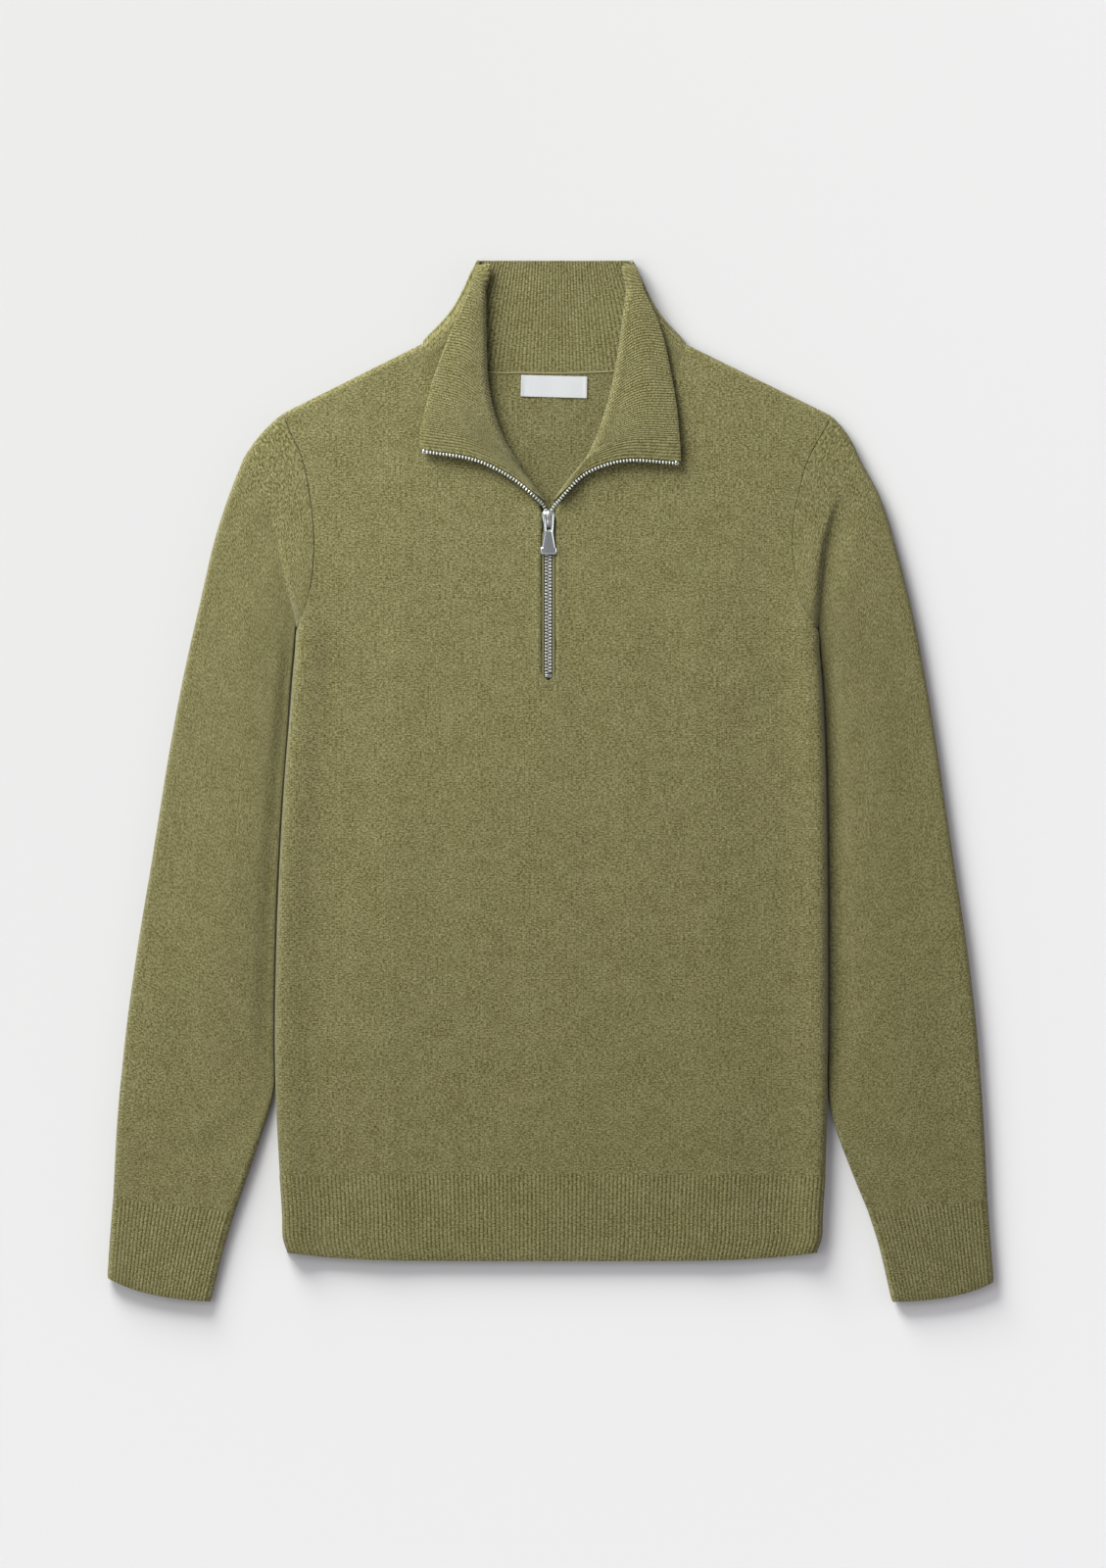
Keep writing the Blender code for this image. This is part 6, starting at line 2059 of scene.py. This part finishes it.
@dataclass(frozen=True)
class Sewing:
    """Stitches on the knit, with sizes in mm."""

    collar: CollarForm
    body: BodyForm
    thread: bpy.types.Material
    edge_room: float = 7.0
    stitch: float = 2.4
    stitch_gap: float = 0.8
    stitch_ends: tuple[float, float] = (1.5, 2.0)
    thread_radius: float = 0.24
    flap_start: float = 0.44
    tack_stitches: int = 13
    tack_x: tuple[float, float] = (-5.2, 2.2)
    tack_y: float = 73.2
    tack_zigzag: float = 0.35
    tack_block: tuple[float, float, float] = (0.55, 2.2, 0.4)
    slit_x: float = -1.5
    slit_foot_y: float = 72.0
    seam_radius: float = 0.75
    seam_room: float = 4.0

    def flap_stitches(self, side: Side) -> bpy.types.Object:
        """Row of stitches along the collar's zip edge, sunk a little into the knit."""
        last = self.collar.knots[-1]
        at = self.edge_room if side is Side.LEFT else last - self.edge_room
        middle = self.collar.middle(np.array([at - 0.5, at, at + 0.5]))
        normals = grid_normals(middle)
        line = middle[1] - normals[1] * (0.5 * self.collar.wall + 0.02)
        first = int(self.flap_start * len(line))
        return self.stitches(f"flap_stitches_{side.word}", line[first:-1])

    def stitches(self, name: str, line: np.ndarray) -> bpy.types.Object:
        """Separate thread stitches along a line.

        Args:
            name: Name of the object.
            line: The line's points in mm.

        Returns:
            The new object.
        """
        block = bevelled_block((2.0 * self.thread_radius, self.stitch, 2.0 * self.thread_radius), 0.2)
        places, ways = spaced_on(line, self.stitch + self.stitch_gap, *self.stitch_ends)
        points, faces = place_copies(block, places, ways)
        return new_piece(name, points, faces, None, self.thread)

    def bar_tack(self) -> bpy.types.Object:
        """Close stitches across the foot of the zip's slit."""
        count = self.tack_stitches
        x = np.linspace(*self.tack_x, count)
        y = self.tack_y + self.tack_zigzag * np.cos(np.arange(count) * math.pi)
        sides = [Side.LEFT if place < self.slit_x else Side.RIGHT for place in x]
        foot = np.array([self.slit_foot_y])
        z = np.array([self.body.top(side, x[place:place + 1], foot)[0] for place, side in enumerate(sides)])
        centres = np.column_stack([x, y, z + 0.05])
        ways = np.tile(UP_THE_BODY, (count, 1))
        stitches = place_copies(bevelled_block(self.tack_block, 0.18), centres, ways)
        return new_piece("bar_tack", *stitches, None, self.thread)

    def neck_seam(self) -> bpy.types.Object:
        """Linked seam where the collar's back joins the back panel."""
        first = len(LEFT_COLLAR) + 1
        knots = self.collar.knots
        at = np.linspace(knots[first] + self.seam_room, knots[len(knots) - first - 1] - self.seam_room, 200)
        seam = self.collar.middle(at, fine=False)[:, 0]
        line = np.column_stack([seam[:, 0], seam[:, 1] - 0.4, np.full(len(seam), self.body.back_wall - 0.1)])
        return new_piece("neck_seam", *tube_along(line, self.seam_radius, 10), None, self.thread)


@dataclass(frozen=True)
class Label:
    """The blank woven label sewn inside the back of the neck, in mm."""

    finish: bpy.types.Material
    thread: bpy.types.Material
    corners: tuple = ((-22.05, 305.0), (27.4, 303.7), (27.1, 287.6), (-22.4, 289.0))
    size: tuple[float, float] = (49.4, 16.2)
    low: float = 2.9
    high: float = 3.5
    thick: float = 0.6
    wave: float = 0.12
    sewn_dip: float = 0.22
    sewn_share: float = 0.022
    end_stitches: int = 8
    stitch_block: tuple[float, float, float] = (0.35, 1.5, 0.3)

    def build(self) -> list[bpy.types.Object]:
        """The label and the stitches at its ends."""
        top_left, top_right, low_right, low_left = (np.array(corner) for corner in self.corners)
        shares, drops = np.meshgrid(np.linspace(0.0, 1.0, 49), np.linspace(0.0, 1.0, 17))
        share, drop = shares[..., None], drops[..., None]
        places = ((1 - drop) * ((1 - share) * top_left + share * top_right)
                  + drop * ((1 - share) * low_left + share * low_right))
        wave = self.wave * np.sin(shares * 9.0 + 0.8) * np.sin(math.pi * shares)
        dip = self.sewn_dip * smoothstep(0.035, 0.05, np.minimum(shares, 1.0 - shares))
        upper = np.dstack([places, self.high + wave - dip + 0.1])
        lower = np.dstack([places, np.maximum(self.low, upper[:, :, 2] - self.thick)])
        uvs = np.dstack([shares * self.size[0], drops * -self.size[1]])
        label = sheet_of_cloth("neck_label_woven", upper[::-1], lower[::-1], uvs[::-1], self.finish)
        centres = []
        for place in (self.sewn_share, 1.0 - self.sewn_share):
            high_place = top_left + (top_right - top_left) * place
            low_place = low_left + (low_right - low_left) * place
            for step in np.linspace(0.08, 0.92, self.end_stitches):
                centres.append((*(high_place + (low_place - high_place) * step), self.high + 0.16))
        ways = np.tile(UP_THE_BODY, (len(centres), 1))
        stitches = place_copies(bevelled_block(self.stitch_block, 0.12), np.array(centres), ways)
        return [label, new_piece("label_stitches", *stitches, None, self.thread)]


# --------------------------------------------------------------------------
# Finishes
# --------------------------------------------------------------------------


def linear(hex_colour: str, shade: float = 1.0) -> tuple[float, float, float, float]:
    """Linear colour of an sRGB hex colour.

    Args:
        hex_colour: Six hex digits after a hash sign.
        shade: Factor on the linear value.

    Returns:
        Red, green, blue and alpha.
    """
    channels = [int(hex_colour[start:start + 2], 16) / 255.0 for start in (1, 3, 5)]
    values = [value / 12.92 if value <= 0.04045 else ((value + 0.055) / 1.055) ** 2.4 for value in channels]
    return tuple(min(value * shade, 1.0) for value in values) + (1.0,)


class Nodes:
    """A material's node tree under construction."""

    def __init__(self, name: str) -> None:
        """Make a new material with its surface shader."""
        self.material = bpy.data.materials.new(name)
        self.material.use_nodes = True
        self.tree = self.material.node_tree
        self.shader = self.tree.nodes["Principled BSDF"]

    def add(self, kind: str, inputs: dict | None = None, **settings: str) -> bpy.types.Node:
        """Add a node, set its properties and feed its inputs.

        Args:
            kind: Type of the node.
            inputs: Value or socket for each input, by name or number.
            settings: Properties of the node.

        Returns:
            The new node.
        """
        node = self.tree.nodes.new(kind)
        for key, value in settings.items():
            setattr(node, key, value)
        for key, value in (inputs or {}).items():
            if isinstance(value, Socket):
                self.tree.links.new(value, node.inputs[key])
            else:
                node.inputs[key].default_value = value
        return node

    def math(self, operation: str, *values: Feed) -> Socket:
        """Result of a math node."""
        return self.add("ShaderNodeMath", dict(enumerate(values)), operation=operation).outputs[0]

    def total(self, *values: Feed) -> Socket:
        """Sum of two or more values."""
        return functools.reduce(functools.partial(self.math, "ADD"), values)

    def product(self, *values: Feed) -> Socket:
        """Product of two or more values."""
        return functools.reduce(functools.partial(self.math, "MULTIPLY"), values)

    def sine(self, value: Feed, half_period: float) -> Socket:
        """Sine wave along a position, with a zero at each half period."""
        return self.math("SINE", self.product(value, math.pi / half_period))

    def vector(self, operation: str, first: Feed, second: Feed, output: int = 0) -> Socket:
        """Result of a vector math node."""
        return self.add("ShaderNodeVectorMath", {0: first, 1: second}, operation=operation).outputs[output]

    def grey(self, value: Feed) -> Socket:
        """Colour with one value in all its channels."""
        return self.add("ShaderNodeCombineXYZ", {0: value, 1: value, 2: value}).outputs[0]

    def bump(self, height: Feed, strength: float, distance: float) -> Socket:
        """Surface direction of a relief, its depth given in mm."""
        settings = {"Height": height, "Strength": strength, "Distance": distance * MM}
        return self.add("ShaderNodeBump", settings).outputs[0]

    def mix(self, share: Feed, first: Feed, second: Feed, blend: str = "MIX") -> Socket:
        """Mix of two colours."""
        colours = {0: share, 6: first, 7: second}
        return self.add("ShaderNodeMix", colours, data_type="RGBA", blend_type=blend).outputs[2]

    def spread(self, value: Feed, low: float, high: float, out_low: float = 0.0, out_high: float = 1.0
               ) -> Socket:
        """A value mapped from one range to another, kept inside it."""
        return self.add("ShaderNodeMapRange", {0: value, 1: low, 2: high, 3: out_low, 4: out_high}).outputs[0]

    def noise(self, scale: Sequence[float], detail: float, roughness: float) -> Socket:
        """Smooth noise on the cloth, about half on average.

        Args:
            scale: Periods per mm across and along the wales.
            detail: Number of finer octaves.
            roughness: Share of the finer octaves.

        Returns:
            The noise's socket.
        """
        place = self.add("ShaderNodeMapping", {"Vector": self.uv(), "Scale": (*scale, 1.0)}).outputs[0]
        settings = {"Vector": place, "Scale": 1.0, "Detail": detail, "Roughness": roughness}
        return self.add("ShaderNodeTexNoise", settings).outputs[0]

    def about_half(self, value: Feed, factor: float) -> Socket:
        """How far a value is from a half, scaled."""
        return self.product(self.math("SUBTRACT", value, 0.5), factor)

    def uv(self) -> Socket:
        """The cloth's texture position in mm."""
        return self.add("ShaderNodeUVMap", uv_map="knit").outputs[0]

    def across_and_along(self) -> tuple[Socket, Socket]:
        """The cloth's two texture positions apart, in mm."""
        split = self.add("ShaderNodeSeparateXYZ", {0: self.uv()})
        return split.outputs[0], split.outputs[1]

    def set(self, **inputs: Feed) -> None:
        """Set inputs of the surface by name, with underscores for spaces."""
        for key, value in inputs.items():
            socket = self.shader.inputs[key.replace("_", " ")]
            if isinstance(value, Socket):
                self.tree.links.new(value, socket)
            else:
                socket.default_value = value


@dataclass(frozen=True)
class KnitFinish:
    """Marled wool-mix knit: loops in wales, with light and dark flecks of the mixed yarn."""

    name: str
    colour: str = "#68643E"
    shade: float = 1.0
    wale: float = 1.76
    course: float = 1.3
    wale_depth: float = 1.0
    fleck: tuple[float, float] = (2.1, 1.1)
    fleck_contrast: float = 3.3
    fine_contrast: float = 2.5
    soft_contrast: float = 0.52
    broad_contrast: float = 0.26
    greying: tuple[float, float, float] = (1.0, 1.05, 1.7)
    rib_pitch: float = 0.0
    rib_shade: float = 0.42
    rib_light: float = 0.14
    # Painted shade: between these two distances round the collar the knit is darkened by the factor below,
    # faded in at each end, as where the flaps and front shade the collar's back.
    inside: tuple[float, float] = (0.0, 0.0)
    painted_shade: float = 1.0
    painted_shade_fade: float = 8.0

    def build(self) -> bpy.types.Material:
        """Make the material. Loops are V shaped: each wale's two legs lean towards its middle."""
        nodes = Nodes(self.name)
        u, v = nodes.across_and_along()
        loops = self.loops(nodes, u, v)
        fleck = nodes.noise((1.0 / self.fleck[0], 1.0 / self.fleck[1]), 2.0, 0.55)
        fine = nodes.noise((0.8, 1.0), 2.0, 0.7)
        soft = nodes.noise((0.11, 0.12), 1.5, 0.6)
        broad = nodes.noise((0.035, 0.035), 1.0, 0.5)
        # Flecks of the mixed yarn in four sizes, plus the loops' height as painted shade in the grooves
        # between loops.
        parts = ((fleck, self.fleck_contrast), (fine, self.fine_contrast), (soft, self.soft_contrast),
                 (broad, self.broad_contrast), (loops, 0.42 * self.wale_depth))
        tone = nodes.total(*(nodes.about_half(value, contrast) for value, contrast in parts))
        # Painted shade in the grooves between the ribs and a painted highlight on their crowns.
        if self.rib_pitch:
            wave = nodes.math("ABSOLUTE", nodes.sine(u, self.rib_pitch))
            tone = nodes.total(tone, nodes.spread(wave, 0.0, 0.8, -self.rib_shade, self.rib_light))
        channels = [nodes.spread(tone, -0.6, 0.9, 1.0 - 0.6 * share, 1.0 + 0.9 * share)
                    for share in self.greying]
        factor = nodes.add("ShaderNodeCombineXYZ", dict(enumerate(channels))).outputs[0]
        colour = nodes.mix(1.0, linear(self.colour, self.shade), factor, "MULTIPLY")
        # Painted shade on the collar's back, darker between the two given distances round it.
        if self.painted_shade < 1.0:
            enters = nodes.spread(u, self.inside[0], self.inside[0] + self.painted_shade_fade)
            leaves = nodes.spread(u, self.inside[1], self.inside[1] - self.painted_shade_fade)
            darker = nodes.mix(1.0, colour, (*(self.painted_shade,) * 3, 1.0), "MULTIPLY")
            colour = nodes.mix(nodes.product(enters, leaves), colour, darker)
        height = nodes.total(nodes.product(loops, 0.4 * self.wale_depth), nodes.product(fine, 0.3))
        nodes.set(Base_Color=colour, Roughness=0.92, Sheen_Weight=0.14, Sheen_Roughness=0.6,
                  Normal=nodes.bump(height, 0.7, 0.6), Specular_IOR_Level=0.15)
        return nodes.material

    def loops(self, nodes: Nodes, u: Socket, v: Socket) -> Socket:
        """Height of the knit's loops, 0 to 1.

        Args:
            nodes: The material's nodes.
            u: Position across the wales in mm.
            v: Position along the wales in mm.

        Returns:
            The height's socket.
        """
        wobble = nodes.noise((0.12, 0.35), 1.0, 0.5)
        u = nodes.total(u, nodes.about_half(wobble, 0.9))
        wale_phase = nodes.math("FRACT", nodes.math("DIVIDE", u, self.wale))
        from_middle = nodes.math("ABSOLUTE", nodes.math("SUBTRACT", wale_phase, 0.5))
        leg_phase = nodes.total(nodes.math("DIVIDE", v, self.course), nodes.product(from_middle, 1.6))
        leg = nodes.math("ABSOLUTE", nodes.sine(leg_phase, 1.0))
        groove = nodes.spread(from_middle, 0.5, 0.3)
        middle = nodes.spread(from_middle, 0.0, 0.13, 0.55, 1.0)
        return nodes.product(groove, middle, nodes.math("POWER", leg, 0.6))


class KnitSet:
    """The knit's materials: plain outside, plain inside with a painted shade, hem rib and collar rib, the
    collar's back with a painted shade.
    """

    def __init__(self, collar: CollarForm) -> None:
        """Make the materials; the collar's rib follows its form."""
        # Painted shade: the back panel's knit and the collar's back are darkened by this factor.
        painted_shade = 0.87
        self.plain = KnitFinish("olive_marl_jersey").build()
        self.inside = KnitFinish("olive_marl_jersey_inside_painted_shade", shade=painted_shade).build()
        self.hem = KnitFinish("olive_marl_rib", wale=1.52, wale_depth=0.5, fleck=(2.0, 1.1),
                              rib_pitch=3.05).build()
        # The collar's knit is painted a touch darker throughout, and darker again at its back.
        self.collar = KnitFinish("olive_marl_collar_rib", shade=0.99, wale=1.08, wale_depth=0.4,
                                 fleck=(1.9, 1.0), rib_pitch=collar.knots[-1] / collar.ribs(),
                                 painted_shade=painted_shade,
                                 inside=(collar.left_end, collar.right_start)).build()


class ZipFinishes:
    """Finishes of the zip and the sewing."""

    def __init__(self) -> None:
        """Make the materials."""
        self.nickel = self.polished_nickel("polished_nickel_plate", 0.14, 0.26)
        self.teeth = self.polished_nickel("tumbled_nickel_teeth", 0.3, 0.4, metallic=0.6)
        self.chain = self.polished_nickel("dulled_nickel_chain", 0.36, 0.48, "#BEBFB9")
        self.tape = self.woven("olive_zip_tape", "#625E3C", 0.6)
        self.thread = self.plain("olive_thread", "#6C6842", 0.8)
        self.label = self.woven("white_woven_label", "#B2B4B5", 0.35)
        self.label_thread = self.plain("white_thread", "#B8B8B6", 0.7)

    @staticmethod
    def polished_nickel(name: str, smoothest: float, roughest: float, colour: str = "#DCE3E2",
                        metallic: float = 1.0) -> bpy.types.Material:
        """Bright nickel plate: faint handling marks keep it from looking like a mirror.

        Args:
            name: Name of the material.
            smoothest: Roughness between the marks.
            roughest: Roughness on the marks.
            colour: sRGB hex colour of the metal.
            metallic: Share of the metal that is bare.

        Returns:
            The material.
        """
        nodes = Nodes(name)
        place = nodes.add("ShaderNodeTexCoord").outputs["Object"]
        marks = nodes.add("ShaderNodeTexNoise", {"Vector": place, "Scale": 900.0, "Detail": 3.0}).outputs[0]
        rough = nodes.spread(marks, 0.3, 0.7, smoothest, roughest)
        nodes.set(Base_Color=linear(colour), Metallic=metallic, Roughness=rough)
        return nodes.material

    @staticmethod
    def plain(name: str, colour: str, roughness: float) -> bpy.types.Material:
        """Matt sewing thread."""
        nodes = Nodes(name)
        nodes.set(Base_Color=linear(colour), Roughness=roughness, Sheen_Weight=0.2)
        return nodes.material

    @staticmethod
    def woven(name: str, colour: str, thread: float) -> bpy.types.Material:
        """Close plain weave: warp and weft pass over each other in turn.

        Args:
            name: Name of the material.
            colour: sRGB hex colour.
            thread: Width of a thread in mm.

        Returns:
            The material.
        """
        nodes = Nodes(name)
        weave = nodes.product(*(nodes.sine(place, thread) for place in nodes.across_and_along()))
        tone = nodes.grey(nodes.spread(weave, -1.0, 1.0, 0.93, 1.0))
        nodes.set(Base_Color=nodes.mix(1.0, linear(colour), tone, "MULTIPLY"), Roughness=0.8,
                  Normal=nodes.bump(weave, 0.4, 0.1))
        return nodes.material


# --------------------------------------------------------------------------
# Stage
# --------------------------------------------------------------------------


@dataclass(frozen=True)
class SoftLight:
    """A square soft light that looks at the sweater's middle.

    Its level is the tone that it gives a level white surface at the middle.
    """

    name: str
    place: tuple[float, float, float]
    level: float
    size: float
    colour: tuple[float, float, float] = (1.0, 1.012, 0.985)
    softening: float = 0.56

    @property
    def distance(self) -> float:
        """Distance from the sweater's middle in metres."""
        return Vector(self.place).length

    def build(self) -> bpy.types.Object:
        """Make the light with the power that gives its level."""
        data = bpy.data.lights.new(self.name, "AREA")
        data.energy = self.level * math.pi ** 2 * self.distance ** 3 / self.place[2]
        data.size = self.size
        data.color = self.colour
        light = bpy.data.objects.new(self.name, data)
        light.location = self.place
        light.rotation_euler = (-Vector(self.place)).to_track_quat("-Z", "Y").to_euler()
        bpy.context.scene.collection.objects.link(light)
        return light

    def level_at(self, nodes: Nodes, place: Socket) -> Socket:
        """The light's level at a place on the floor.

        Args:
            nodes: The floor material's nodes.
            place: The place's socket.

        Returns:
            The level's socket.
        """
        distance = nodes.vector("DISTANCE", place, self.place, output=1)
        towards = nodes.vector("SUBTRACT", self.place, place)
        ahead = nodes.vector("DOT_PRODUCT", towards, tuple(Vector(self.place).normalized()), output=1)
        room = (self.softening * self.size) ** 2
        squared = nodes.total(nodes.product(distance, distance), room)
        falloff = nodes.math("POWER", nodes.math("DIVIDE", self.distance ** 2 + room, squared), 1.5)
        return nodes.product(falloff, nodes.math("DIVIDE", ahead, distance), self.level)


@dataclass(frozen=True)
class Stage:
    """Pale floor, soft studio light and the camera above, sizes in metres."""

    floor_tone: float = 0.925
    camera_height: float = 6.53
    lens: float = 200.0
    sensor: float = 36.0
    centre: tuple[float, float] = (0.0018, -0.0015)
    fill_horizon: float = 0.65
    fill_zenith: float = 0.24
    fill_colour: tuple[float, float, float] = (1.0, 0.965, 1.04)
    key: SoftLight = SoftLight("key_light", (-1.0, 1.65, 0.94), 0.92, 1.25)
    side: SoftLight = SoftLight("side_light", (-1.2, 0.0, 1.4), 0.26, 1.3)
    edge: SoftLight = SoftLight("edge_light", (1.9, 0.1, 0.7), 0.03, 1.0)

    @property
    def fill_level(self) -> float:
        """Light that the sky gives a level surface, as the tone of a white one."""
        return (self.fill_horizon + 2.0 * self.fill_zenith) / 3.0

    def floor(self) -> bpy.types.Object:
        """A plain pale floor, graded against the lights' falloff so that it looks even."""
        bpy.ops.object.select_all(action="DESELECT")
        bpy.ops.mesh.primitive_plane_add(size=14.0, location=(0.0, 0.0, -0.0006))
        floor = bpy.context.object
        floor.name = "studio_floor"
        nodes = Nodes("pale_paper_floor")
        place = nodes.add("ShaderNodeTexCoord").outputs["Object"]
        light = self.fill_level
        for lamp in (self.key, self.side, self.edge):
            light = nodes.total(lamp.level_at(nodes, place), light)
        tone = nodes.math("MINIMUM", nodes.math("DIVIDE", self.floor_tone, light), 1.0)
        nodes.set(Base_Color=nodes.grey(tone), Roughness=1.0, Specular_IOR_Level=0.0)
        floor.data.materials.append(nodes.material)
        return floor

    def world(self) -> None:
        """Light from all round, brighter near the horizon as from white studio walls."""
        world = bpy.data.worlds.new("studio_light")
        world.use_nodes = True
        tree = world.node_tree
        background = tree.nodes["Background"]
        background.inputs[0].default_value = (*self.fill_colour, 1.0)
        direction = tree.nodes.new("ShaderNodeTexCoord")
        split = tree.nodes.new("ShaderNodeSeparateXYZ")
        level = tree.nodes.new("ShaderNodeMapRange")
        level.inputs[3].default_value = self.fill_horizon
        level.inputs[4].default_value = self.fill_zenith
        tree.links.new(direction.outputs["Generated"], split.inputs[0])
        tree.links.new(split.outputs[2], level.inputs[0])
        tree.links.new(level.outputs[0], background.inputs[1])
        bpy.context.scene.world = world

    def camera(self) -> bpy.types.Object:
        """A camera that looks straight down."""
        data = bpy.data.cameras.new("camera")
        data.lens = self.lens
        data.sensor_fit = "AUTO"
        data.sensor_width = self.sensor
        data.clip_end = 30.0
        camera = bpy.data.objects.new("camera", data)
        camera.location = (*self.centre, self.camera_height)
        bpy.context.scene.collection.objects.link(camera)
        bpy.context.scene.camera = camera
        return camera

    def build(self) -> None:
        """Make the floor, the lights and the camera."""
        bpy.context.scene.view_settings.view_transform = "Standard"
        self.floor()
        self.world()
        self.key.build()
        self.side.build()
        self.edge.build()
        self.camera()


# --------------------------------------------------------------------------
# The sweater
# --------------------------------------------------------------------------


class Sweater:
    """The sweater: its pieces and the CAD parts that they replace."""

    def __init__(self) -> None:
        """Set up the forms and the finishes."""
        self.body = BodyForm()
        self.collar_form = CollarForm(self.body)
        self.knits = KnitSet(self.collar_form)
        self.finishes = ZipFinishes()
        self.cloth = Cloth(self.body, self.collar_form, self.knits)
        self.zip = Zip(ZipForm(), self.collar_form, self.finishes)
        self.sewing = Sewing(self.collar_form, self.body, self.finishes.thread)

    def ride(self, piece: bpy.types.Object, *nodes: str, body: str = GARMENT, slot: str = "knit"
             ) -> bpy.types.Object:
        """Bind a piece to a body and hide the CAD parts that it replaces.

        Args:
            piece: The piece.
            nodes: CAD nodes that it stands for.
            body: The body that it moves with.
            slot: Name of a material slot; not used.

        Returns:
            The piece.
        """
        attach(piece, body)
        if nodes:
            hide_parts(*nodes)
        return piece

    def build(self) -> None:
        """Make every piece of the sweater."""
        cloth = self.cloth
        front = self.ride(cloth.front_panel(), "front_panel")
        back = self.ride(cloth.back_panel(), "back_panel")
        hem_front = self.ride(cloth.hem_front(), "hem_front")
        hem_back = self.ride(cloth.hem_back(), "hem_back")
        collar = self.ride(cloth.turned_collar(), "collar")
        tack = self.ride(self.sewing.bar_tack())
        seam = self.ride(self.sewing.neck_seam())
        flap_stitches = [self.ride(self.sewing.flap_stitches(side)) for side in Side]
        tapes = [self.ride(self.zip.tape(side), f"zip_tape_{side.word}", slot="zip_tape") for side in Side]
        edges = [self.ride(self.zip.open_tape(side), slot="zip_tape") for side in Side]
        for side in Side:
            sleeve = self.ride(cloth.sleeve(side), f"sleeve_{side.word}")
            cuff = self.ride(cloth.cuff(side), f"cuff_{side.word}")
        self.build_zip()
        label, stitches = Label(self.finishes.label, self.finishes.label_thread).build()
        self.ride(label, "neck_label", slot="woven_label")
        self.ride(stitches, slot="woven_label")

    def build_zip(self) -> None:
        """Make the zip's pieces."""
        self.ride(self.zip.closed_teeth(), "zip_teeth_closed", slot="polished_nickel")
        self.ride(self.zip.bottom_stop(), "zip_bottom_stop", slot="polished_nickel")
        for side in Side:
            self.ride(self.zip.open_teeth(side), f"zip_teeth_{side.word}", slot="polished_nickel")
            self.ride(self.zip.top_stop(side), f"zip_top_stop_{side.word}", slot="polished_nickel")
        base, top, bail = self.zip.slider()
        self.ride(base, "zip_slider", slot="polished_nickel")
        self.ride(top, slot="polished_nickel")
        self.ride(bail, slot="polished_nickel")
        self.ride(self.zip.pull_tab(), "zip_pull_tab", body=PULL_TAB, slot="polished_nickel")


def main() -> None:
    """Build the sweater and its stage."""
    logging.basicConfig(level=logging.INFO, format="%(message)s")
    Sweater().build()
    Stage().build()


if __name__ == "__main__":
    main()
